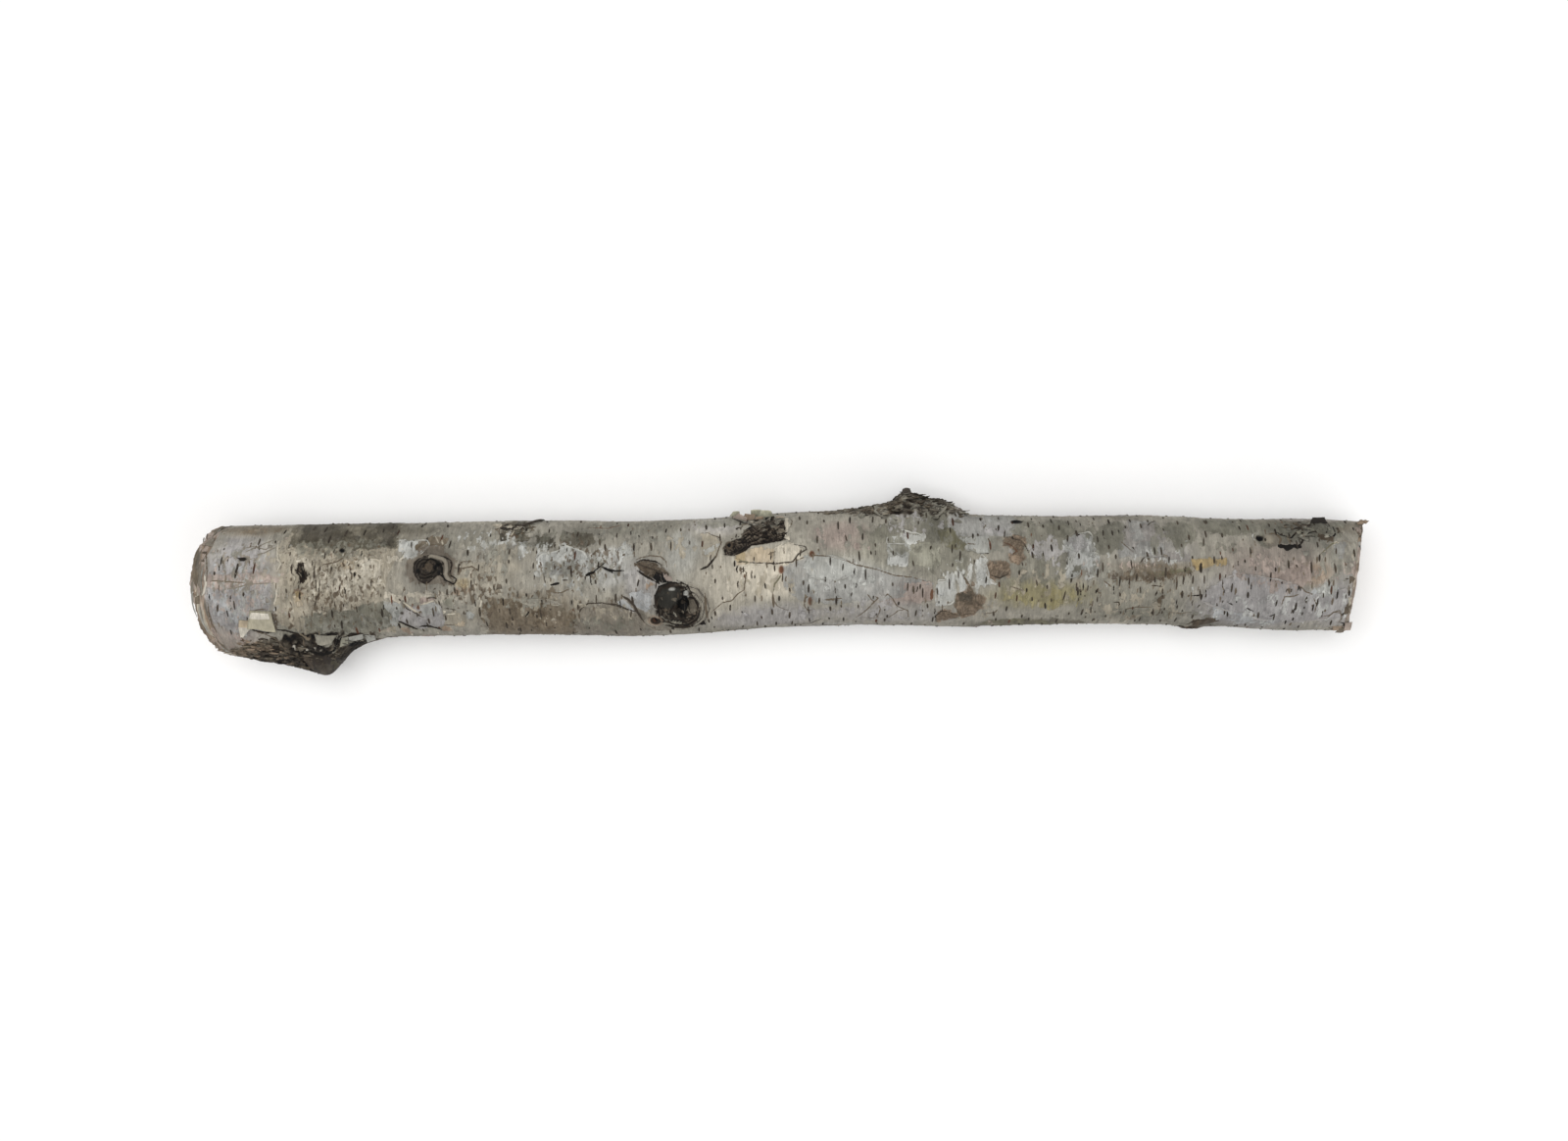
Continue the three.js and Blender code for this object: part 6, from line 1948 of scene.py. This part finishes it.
def add_flap(scraps, points, outer, inner):
    """A thin torn flap through a grid of points, with a pale torn tip."""
    steps, rows = points.shape[:2]
    normals = grid_normals(points)
    normals *= np.sign((normals * (points - points.mean(axis=(0, 1)) * (1, 0, 0))).sum(axis=2).mean())
    bumps = 0.09 * noise(points.reshape(-1, 3), 1.6, 98).reshape(steps, rows, 1)
    top, bottom = points + normals * bumps, points + normals * (bumps - FLAP_THICKNESS)
    fade = np.linspace(0, 1, steps)[:, None, None] * np.ones((1, rows, 1))
    streak = 1 + 0.06 * noise(points.reshape(-1, 3), (0.8, 3, 3), 99).reshape(steps, rows, 1)
    # Painted shade: both faces are darker towards the root, and the underside darker still.
    tip = 1 + 0.12 * (fade > 0.99)
    pale = np.array(INK[outer], float) * (0.94 + 0.1 * fade) * streak * tip
    dark = np.array(INK[inner], float) * (0.75 + 0.2 * fade) * streak
    both = np.concatenate((top.reshape(-1, 3), bottom.reshape(-1, 3)))
    both[:, 2] = np.maximum(both[:, 2], 0)
    scraps.add(both, slab_faces(steps, rows), np.concatenate((pale.reshape(-1, 3), dark.reshape(-1, 3))))


def curl_pieces(material):
    """The strips of the solid, thinner and torn, as shells with smaller layers behind them or as flaps."""
    draw = np.random.default_rng(31)
    for name in sorted({*CURLS, *FLAPS}):
        scraps = Scraps()
        for x, angle, heading, length, width, bend, outer, inner in CURLS.get(name, []):
            root = Bark([x], [angle]).form[0]
            add_shell(scraps, root, angle, heading, length, width, bend, 0.35, INK[outer], INK[inner], draw,
                      steps=18, rows=15, sink=1.2, torn=0.4, cup=0.5, twist=0.1)
            for _ in range(2):
                turned = heading + draw.uniform(-25, 25)
                shift = np.array([draw.uniform(-0.3, 0.3) * width, 0, 0])
                add_shell(scraps, root + shift, angle, turned, length * draw.uniform(0.45, 0.8),
                          width * draw.uniform(0.3, 0.6), bend * draw.uniform(0.5, 1.1), 0.3,
                          INK[outer], INK[inner], draw, steps=10, rows=7, sink=0.9, torn=0.5, cup=0.3)
        for outer, inner, corners in FLAPS.get(name, []):
            grid = flap_grid(corners, draw)
            places = grid.reshape(-1, 3)
            seat = Bark(places[:, 0], places[:, 1])
            points = (seat.form + seat.out * places[:, 2:]).reshape(grid.shape)
            add_flap(scraps, points, outer, inner)
        scraps.piece(name, material, "paper_bark")


# Crowds of small scraps: name, how many, x and angle of the middle, spread along in mm and round in degrees,
# heading and its spread, longest in mm, steepest bend, colours
CROWDS = [
    ("spur_scales", 130, -201, -80, 14, 28, 0, 30, 4.5, 9, ("umber", "ridge", "knot", "brown", "tan")),
    ("spur_crumbs", 46, -184, -70, 9, 6, -60, 60, 2.6, 12, ("knot", "umber", "ridge", "deep", "brown")),
    ("spur_flakes", 22, -166, -64, 9, 8, -40, 50, 3.4, 12, ("ash", "mist", "grey", "olive")),
    ("burl_scales", 120, 44, 88, 24, 26, 0, 60, 4.4, 18, ("umber", "ridge", "ash", "brown", "knot")),
    ("burl_flakes", 60, 40, 68, 26, 12, 30, 90, 3.6, 26, ("ash", "grey", "beige", "umber")),
    ("scar_flakes", 44, -13, 39, 9, 9, 27, 25, 3.6, 18, ("knot", "ridge", "umber", "deep", "ash")),
    ("knot_flakes", 36, -43, -38, 9, 22, 0, 180, 2.6, 25, ("ridge", "knot", "umber", "deep")),
    ("mossy_flakes", 40, -107, 60, 7, 16, 20, 60, 4.2, 26, ("knot", "brown", "dark_olive", "ash", "cream")),
    ("end_knot_flakes", 36, 199, 50, 11, 13, 0, 50, 3.2, 22, ("knot", "grey", "umber", "olive")),
]


# Places tried for the flakes of the whole skin, and the most flakes that are made
FLAKE_TRIES = 9000
MOST_FLAKES = 600


def crowd_pieces(material):
    """Scales and flakes that stand thick on the rough places."""
    for seed, row in enumerate(CROWDS):
        name, count, x, angle, half_along, half_deg, heading, swing, longest, steepest, inks = row
        draw = np.random.default_rng(50 + seed)
        xs = x + half_along * np.clip(draw.normal(0, 0.5, count), -1, 1)
        angles = angle + half_deg * np.clip(draw.normal(0, 0.5, count), -1, 1)
        roots = Bark(xs, angles)
        scraps = Scraps()
        for place, at in zip(roots.points, angles):
            ink = np.array(INK[str(draw.choice(inks))], float) * draw.uniform(0.8, 1.1)
            length = draw.uniform(0.35, 1) * longest
            # The inner face is a darker copy of the outer colour: painted shade on the scale's underside.
            add_shell(scraps, place, at, heading + draw.uniform(-swing, swing), length,
                      length * draw.uniform(0.5, 1.3), draw.uniform(0.15, 1) * steepest, 0.32,
                      ink, 0.7 * ink, draw, steps=6, rows=5, sink=0.3, torn=0.6, cup=0.15)
        scraps.piece(name, material, "dark_bark")


def skin_flakes(material):
    """Small papery flakes along the torn edges of the whole skin."""
    draw = np.random.default_rng(77)
    xs, angles = draw.uniform(-219, 219, FLAKE_TRIES), draw.uniform(-180, 180, FLAKE_TRIES)
    at = Bark(xs, angles)
    edge = (np.abs(at.peel) < 0.35) & (at.rough < 0.2) & (at.points[:, 2] > 0.5)
    for cut, side in ((LEFT_CUT, 1), (RIGHT_CUT, -1)):
        edge &= in_from_cut(cut, side, xs, at.form) > 3.5
    picked = np.nonzero(edge)[0][:MOST_FLAKES]
    scraps = Scraps()
    for k in picked:
        ink = at.over[k] * draw.uniform(0.96, 1.12)
        length = draw.uniform(0.8, 2.6)
        heading = draw.choice([0, 180, 90, -90]) + draw.uniform(-30, 30)
        # The inner face is a darker copy of the outer colour: painted shade on the flake's underside.
        add_shell(scraps, at.points[k], angles[k], heading, length, draw.uniform(0.8, 3.2),
                  draw.uniform(3, 20), 0.16, ink, 0.75 * ink, draw,
                  steps=4, rows=4, sink=0.14, torn=0.5, cup=0.1)
    scraps.piece("skin_flakes", material, "paper_bark")


# Pores: steps from one place to the next along in mm and round in degrees; the share of places that have one
# on the left and on the right; and where along the branch the right begins
PORE_STEP_ALONG = 6.6
PORE_STEP_ROUND = 19.0
LEFT_PORES = 0.5
RIGHT_PORES = 0.95
RIGHT_FROM = -28


def pore_places(draw):
    """Where the pores lie: spread over the skin, and thicker to the right of the great knot."""
    xs, angles = [], []
    for x in np.arange(-218, 220, PORE_STEP_ALONG):
        for angle in np.arange(-180, 180, PORE_STEP_ROUND):
            if draw.random() < (RIGHT_PORES if x > RIGHT_FROM else LEFT_PORES):
                xs.append(x + draw.uniform(-3, 3))
                angles.append(angle + draw.uniform(-9, 9))
    xs, angles = np.array(xs), np.array(angles)
    at = Bark(xs, angles)
    keep = (at.rough < 0.15) & (at.form[:, 2] > 0.6)
    return xs[keep], angles[keep]


def lenticels(material):
    """Corky pores, raised lips across the branch: each is a small grid of stations and lanes."""
    draw = np.random.default_rng(41)
    xs, angles = pore_places(draw)
    count = len(xs)
    lengths = np.where(draw.random(count) < 0.3, draw.uniform(1.4, 2.2, count), draw.uniform(2.4, 4.8, count))
    widths = draw.uniform(0.62, 1.1, count) * np.where(lengths < 2.2, 0.85, 1)
    slants = draw.normal(0, 0.07, count)
    stations, lanes = np.linspace(-1, 1, 9), np.array([-1, -0.55, 0, 0.55, 1])
    s, lane = [g.ravel() for g in np.meshgrid(stations, lanes, indexing="ij")]
    wide = np.sqrt(np.maximum(1 - s ** 2, 0)) ** 1.2
    u = widths[:, None] / 2 * wide * lane + slants[:, None] * lengths[:, None] / 2 * s
    v = lengths[:, None] / 2 * s
    seat = Bark((xs[:, None] + u).ravel(), (angles[:, None] + v / MM_PER_DEGREE).ravel())
    lift = np.where(np.abs(lane) > 0.9, -0.12, np.where(lane == 0, 0.10, 0.24))
    lift = lift * np.where(np.abs(s) > 0.95, -0.5, 1)
    points = seat.points + seat.out * np.tile(lift, count)[:, None]
    faces = grid_faces(len(stations), len(lanes))
    faces = np.concatenate([faces + k * len(s) for k in range(count)])
    shade = np.where(lane == 0, 0.75, np.where(np.abs(lane) < 0.9, 0.9, 0.62))
    tone = draw.uniform(0.8, 1.25, count)
    red = draw.random(count) < 0.08
    base = np.where(red[:, None], INK["red_pore"], INK["pore"])
    colours = (base * tone[:, None])[:, None, :] * shade[None, :, None]
    mesh = make_mesh("lenticels", points, faces)
    set_colour(mesh, "paint", colours.reshape(-1, 3))
    add_piece("lenticels", mesh, material)


def spline(route, steps):
    """A smooth curve through rows of numbers."""
    rows = np.asarray(route, float)
    rows = np.vstack((2 * rows[0] - rows[1], rows, 2 * rows[-1] - rows[-2]))
    t = np.linspace(0, len(route) - 1, steps)
    i = np.minimum(t.astype(int), len(route) - 2)
    f = (t - i)[:, None]
    a, b, c, d = rows[i], rows[i + 1], rows[i + 2], rows[i + 3]
    bend, twist = 2 * a - 5 * b + 4 * c - d, 3 * b - a - 3 * c + d
    return 0.5 * (2 * b + (c - a) * f + bend * f ** 2 + twist * f ** 3)


# Corners of the round pieces
TUBE_SIDES = 12


def add_tube(scraps, centres, radii, colour):
    """A tube along points, with painted light on its upper side and painted shade below, that closes where
    its radius runs out.
    """
    way = np.gradient(centres, axis=0)
    way /= np.linalg.norm(way, axis=1)[:, None]
    first = np.cross(way, (0.1, 0.2, 1.0))
    first /= np.linalg.norm(first, axis=1)[:, None]
    second = np.cross(first, way)
    turn = (np.arange(TUBE_SIDES) * 2 * math.pi / TUBE_SIDES)[None, :, None]
    ring = first[:, None] * np.cos(turn) + second[:, None] * np.sin(turn)
    points = (centres[:, None] + ring * radii[:, None, None]).reshape(-1, 3)
    points += 0.12 * noise(points, (2.5, 2.5, 2.5), 97)[:, None] * ring.reshape(-1, 3)
    # Painted light and shade: the colour is lighter where the tube faces up and darker where it faces down.
    shade = 0.45 + 0.6 * smooth(ring[:, :, 2].ravel(), -0.4, 0.9)
    faces = grid_faces(len(centres), TUBE_SIDES, closed=True)
    scraps.add(points, faces, shade[:, None] * np.array(INK[colour], float))


# The dried tendril, a twig and the splinter: routes as x, angle and height, and radii in mm
TENDRIL = [
    (-137.6, 20, -0.3), (-136.4, 21.4, 0.5), (-134.2, 19.8, 0.9), (-131.9, 18, 1.0), (-130.5, 14.6, 1.0),
    (-130.2, 8, 0.9), (-130.4, 4, 0.8), (-129.5, 0, 0.6), (-127.8, -2.4, 0.1),
]
TENDRIL_RADIUS = 0.85
TWIG = [(-107, 60, -0.3), (-102, 65, 0.5), (-98, 74, 0.7), (-95.5, 84, 0.3)]
TWIG_RADIUS = 0.5
SPLINTER_RADIUS = 1.2
SPLINTER_ROOT = 222, 70
SPLINTER_HEADING = 22


def slim_pieces(material):
    """The tendril over its knot, a twig, and the splinter at the right end."""
    scraps = Scraps()
    for route, radius, ink in ((TENDRIL, TENDRIL_RADIUS, "taupe"), (TWIG, TWIG_RADIUS, "knot")):
        path = spline(route, 40)
        seat = Bark(path[:, 0], path[:, 1])
        share = np.linspace(0, 1, len(path))
        radii = radius * np.sqrt(np.clip(6 * share, 0, 1) * np.clip(6 * (1 - share), 0, 1)) + 0.01
        add_tube(scraps, seat.form + seat.out * path[:, 2:], radii, ink)
    x, angle = SPLINTER_ROOT
    root = Bark([x], [angle])
    out, run, _ = directions(angle, SPLINTER_HEADING)
    share = np.linspace(0, 1, 14)
    reach = 5.6 * share - 1.6
    centres = root.form + run * reach[:, None] + out * (0.28 * reach + 0.4 * np.sin(5 * share))[:, None]
    radii = SPLINTER_RADIUS * (1 - share ** 3) * (0.6 + 0.4 * np.cos(9 * share) ** 2) + 0.01
    add_tube(scraps, centres, radii, "bark_brown")
    scraps.piece("slim_pieces", material, "paper_bark")


def beside_cut(cut, side, back, angle):
    """Where along the branch places lie that are so many mm in from a saw cut."""
    x = np.full(len(angle), float(cut[0]))
    for _ in range(LEAN_ROUNDS):
        x = cut[0] + lean(cut, on_form(x, angle)) + side * back
    return x


def add_peels(scraps, strips):
    """Thin strips on the bark: places along it and round it, heights and colours, each by station and lane.

    A colour that isn't a number takes the skin's own.
    """
    xs, angles, lifts = [np.concatenate([strip[k].ravel() for strip in strips]) for k in range(3)]
    colours = np.concatenate([strip[3].reshape(-1, 3) for strip in strips])
    seat = Bark(xs, angles)
    points = seat.points + seat.out * lifts[:, None]
    points[:, 2] = np.maximum(points[:, 2], 0)
    skin = np.where((seat.peel > 0)[:, None], seat.over, seat.under)
    colours = np.where(np.isnan(colours), skin, colours)
    first = 0
    for strip in strips:
        rows, lanes = strip[0].shape
        part = slice(first, first + rows * lanes)
        scraps.add(points[part], grid_faces(rows, lanes), colours[part])
        first += rows * lanes


# Lifted edges of raised layers, in mm: shortest outline that has them, outline for each, and their lengths
SHORTEST_OUTLINE = 30
OUTLINE_PER_EDGE = 9
EDGE_LENGTHS = (2.5, 8)

# Torn layers beside the saw cuts: cut, direction in from it along X, how many, reach and how far past it
# in mm
RIM_LAYERS = ((LEFT_CUT, 1, 80, 5.2, 0.7), (RIGHT_CUT, -1, 46, 1.6, 0.3))
RIM_INKS = ("brown", "tan", "rosy", "pink", "mist", "taupe", "cream", "rosy")

# Loose tatters there: cut, direction in from it along X, how many, longest in mm
RIM_TATTERS = ((LEFT_CUT, 1, 36, 5), (RIGHT_CUT, -1, 40, 3))
TATTER_INKS = ("brown", "tan", "pink", "cream", "taupe", "umber")


def edge_strips(draw):
    """Lifted edges along the outlines of the raised layers."""
    strips = []
    lanes = np.array([-0.5, 0.0, 0.5, 1.0])
    for ink, lift, _, places in BLOCKS:
        if lift < 0.1:
            continue
        corners = np.array(places + places[:1], float) * (1, MM_PER_DEGREE)
        lengths = np.hypot(*np.diff(corners, axis=0).T)
        marks = np.concatenate(([0], np.cumsum(lengths)))
        if marks[-1] < SHORTEST_OUTLINE:
            continue
        area = (corners[:-1, 0] * corners[1:, 1] - corners[1:, 0] * corners[:-1, 1]).sum()
        for _ in range(round(marks[-1] / OUTLINE_PER_EDGE)):
            length = draw.uniform(*EDGE_LENGTHS)
            count = int(length / 0.5) + 3
            at = draw.uniform(0, marks[-1]) + np.linspace(0, length, count)
            line = np.stack([np.interp(at % marks[-1], marks, corners[:, k]) for k in (0, 1)], axis=1)
            way = np.gradient(line, axis=0)
            away = np.stack((way[:, 1], -way[:, 0]), axis=1) * np.sign(area)
            away /= np.maximum(np.linalg.norm(away, axis=1), 1e-6)[:, None]
            taper = np.sin(math.pi * np.linspace(0.02, 0.98, count)) ** 0.6
            torn = 0.35 + 0.65 * ragged_line(draw, count)
            spread = np.where(lanes > 0, 0.75 * torn[:, None], 0.7) * lanes * taper[:, None]
            place = line[:, None] + away[:, None] * spread[..., None]
            height = np.where(lanes < 0, -0.1, 0.1 + draw.uniform(0.1, 0.5) * lanes ** 2) * taper[:, None]
            # Painted highlight: the lifted free edge is lighter than the rest of the strip.
            tone = np.where(lanes > 0.9, 1.08, 1.0)[:, None] * np.array(INK[ink], float)
            colour = np.broadcast_to(tone, (count, len(lanes), 3)).copy()
            colour[:, :2] = np.nan
            strips.append((place[..., 0], place[..., 1] / MM_PER_DEGREE, height, colour))
    return strips


def rim_strips(draw):
    """Torn layers that run round the branch beside the two saw cuts."""
    strips = []
    lanes = np.array([0.0, 0.35, 0.7, 1.0])
    for cut, side, count, reach, past in RIM_LAYERS:
        for _ in range(count):
            sweep = draw.uniform(8, 40)
            rows = int(sweep / 1.6) + 4
            angle = draw.uniform(-180, 180) + np.linspace(0, sweep, rows)
            taper = np.sin(math.pi * np.linspace(0.03, 0.97, rows)) ** 0.6
            width = draw.uniform(0.6, 2.0) * min(1, reach / 3)
            near = draw.uniform(-past, max(0.2, reach - width))
            free = lanes if draw.random() < 0.6 else 1 - lanes
            torn = 0.3 + 0.7 * ragged_line(draw, rows)
            spread = (lanes - 0.5) * np.where(free > 0.4, torn[:, None], 1) * taper[:, None]
            back = near + width * (0.5 + spread)
            back += 0.25 * np.sin(angle / 9 + near)[:, None]
            back = np.maximum(back, -past)
            angles = np.repeat(angle[:, None], len(lanes), axis=1)
            x = beside_cut(cut, side, back.ravel(), angles.ravel()).reshape(back.shape)
            height = -0.08 + (0.1 + draw.uniform(0.08, 0.4) * free ** 2) * taper[:, None]
            ink = np.array(INK[str(draw.choice(RIM_INKS))], float) * draw.uniform(0.92, 1.05)
            # Painted shade and highlight: the strip is darker where it lies on the bark and lighter along its
            # lifted free edge.
            tone = (0.92 + 0.2 * (free > 0.9))[:, None] * ink
            strips.append((x, angles, height, np.broadcast_to(tone, (rows, len(lanes), 3))))
    return strips


def lifted_edges(material):
    """Lifted edges of torn layers, over the skin and round both rims."""
    draw = np.random.default_rng(88)
    scraps = Scraps()
    add_peels(scraps, edge_strips(draw))
    scraps.piece("lifted_edges", material, "paper_bark")
    scraps = Scraps()
    add_peels(scraps, rim_strips(draw))
    for cut, side, count, longest in RIM_TATTERS:
        angles = draw.uniform(-180, 180, count)
        back = draw.uniform(0.6, longest, count)
        seat = Bark(beside_cut(cut, side, back, angles), angles)
        for k in range(count):
            ink = np.array(INK[str(draw.choice(TATTER_INKS))], float)
            heading = 90 + 90 * side + draw.uniform(-12, 12)
            # The inner face is a darker copy of the outer colour: painted shade on the tatter's underside.
            add_shell(scraps, seat.points[k], angles[k], heading, back[k] - 0.2, draw.uniform(2, 6),
                      draw.uniform(1, 7), 0.25, ink, 0.75 * ink, draw, steps=6, rows=7, sink=0.2, torn=0.5)
    scraps.piece("rim_tatters", material, "paper_bark")


# Camera: place in metres, lens and sensor width in mm
CAMERA_PLACE = (-0.002, 0.0052, 0.7925)
LENS = 45
SENSOR_WIDTH = 36

# Soft lights that aim at the origin: name, place and size in metres, power in watts
LIGHTS = (("Key", (-0.2, 0.12, 1.5), 0.9, 13.4), ("Fill", (0.5, -0.7, 1.3), 1.3, 5))
SURROUNDINGS = (1.0, 0.995, 0.985, 1)
SURROUNDINGS_POWER = 0.5

# Floor: half size and drop below the branch in metres, tone
FLOOR_HALF = 3.0
FLOOR_DROP = 0.0001
FLOOR_TONE = (0.96, 0.96, 0.96, 1)


def camera():
    """Straight above the branch, as the photograph was taken."""
    data = bpy.data.cameras.new("Camera")
    data.lens = LENS
    data.sensor_width = SENSOR_WIDTH
    data.sensor_fit = "HORIZONTAL"
    placed = bpy.data.objects.new("Camera", data)
    placed.location = CAMERA_PLACE
    bpy.context.scene.collection.objects.link(placed)
    bpy.context.scene.camera = placed


def soft_light(name, place, size, power):
    """A square lamp aimed at the origin."""
    data = bpy.data.lights.new(name, "AREA")
    data.shape = "SQUARE"
    data.size = size
    data.energy = power
    lamp = bpy.data.objects.new(name, data)
    lamp.location = place
    lamp.rotation_euler = (-lamp.location).to_track_quat("-Z", "Y").to_euler()
    bpy.context.scene.collection.objects.link(lamp)


def surroundings():
    """Pale, even light from all round."""
    world = bpy.data.worlds.new("Studio")
    world.use_nodes = True
    background = world.node_tree.nodes["Background"]
    background.inputs["Color"].default_value = SURROUNDINGS
    background.inputs["Strength"].default_value = SURROUNDINGS_POWER
    bpy.context.scene.world = world


def floor():
    """A plain pale floor just under the branch."""
    corners = [(x * FLOOR_HALF, y * FLOOR_HALF, 0) for x, y in ((-1, -1), (1, -1), (1, 1), (-1, 1))]
    mesh = bpy.data.meshes.new("Floor")
    mesh.from_pydata(corners, [], [(0, 1, 2, 3)])
    placed = bpy.data.objects.new("Floor", mesh)
    placed.location.z = -FLOOR_DROP
    bpy.context.scene.collection.objects.link(placed)
    material, _, shader = new_material("Pale floor")
    shader.inputs["Base Color"].default_value = FLOOR_TONE
    shader.inputs["Roughness"].default_value = 0.9
    mesh.materials.append(material)


def studio():
    """Pale floor, pale surroundings and two large soft lights."""
    bpy.context.scene.view_settings.view_transform = "Standard"
    surroundings()
    for light in LIGHTS:
        soft_light(*light)
    floor()


camera()
studio()
bark_look = bark_material()
wood_look = wood_material()
paper_look = paper_material()
dark_look = dark_material()
skin = bark_pieces(bark_look)
end_piece("end_left", skin[0], wood_look, 3, -1)
end_piece("end_right", skin[-1], wood_look, 5, 1)
curl_pieces(paper_look)
crowd_pieces(dark_look)
skin_flakes(paper_look)
lenticels(dark_look)
slim_pieces(paper_look)
lifted_edges(paper_look)
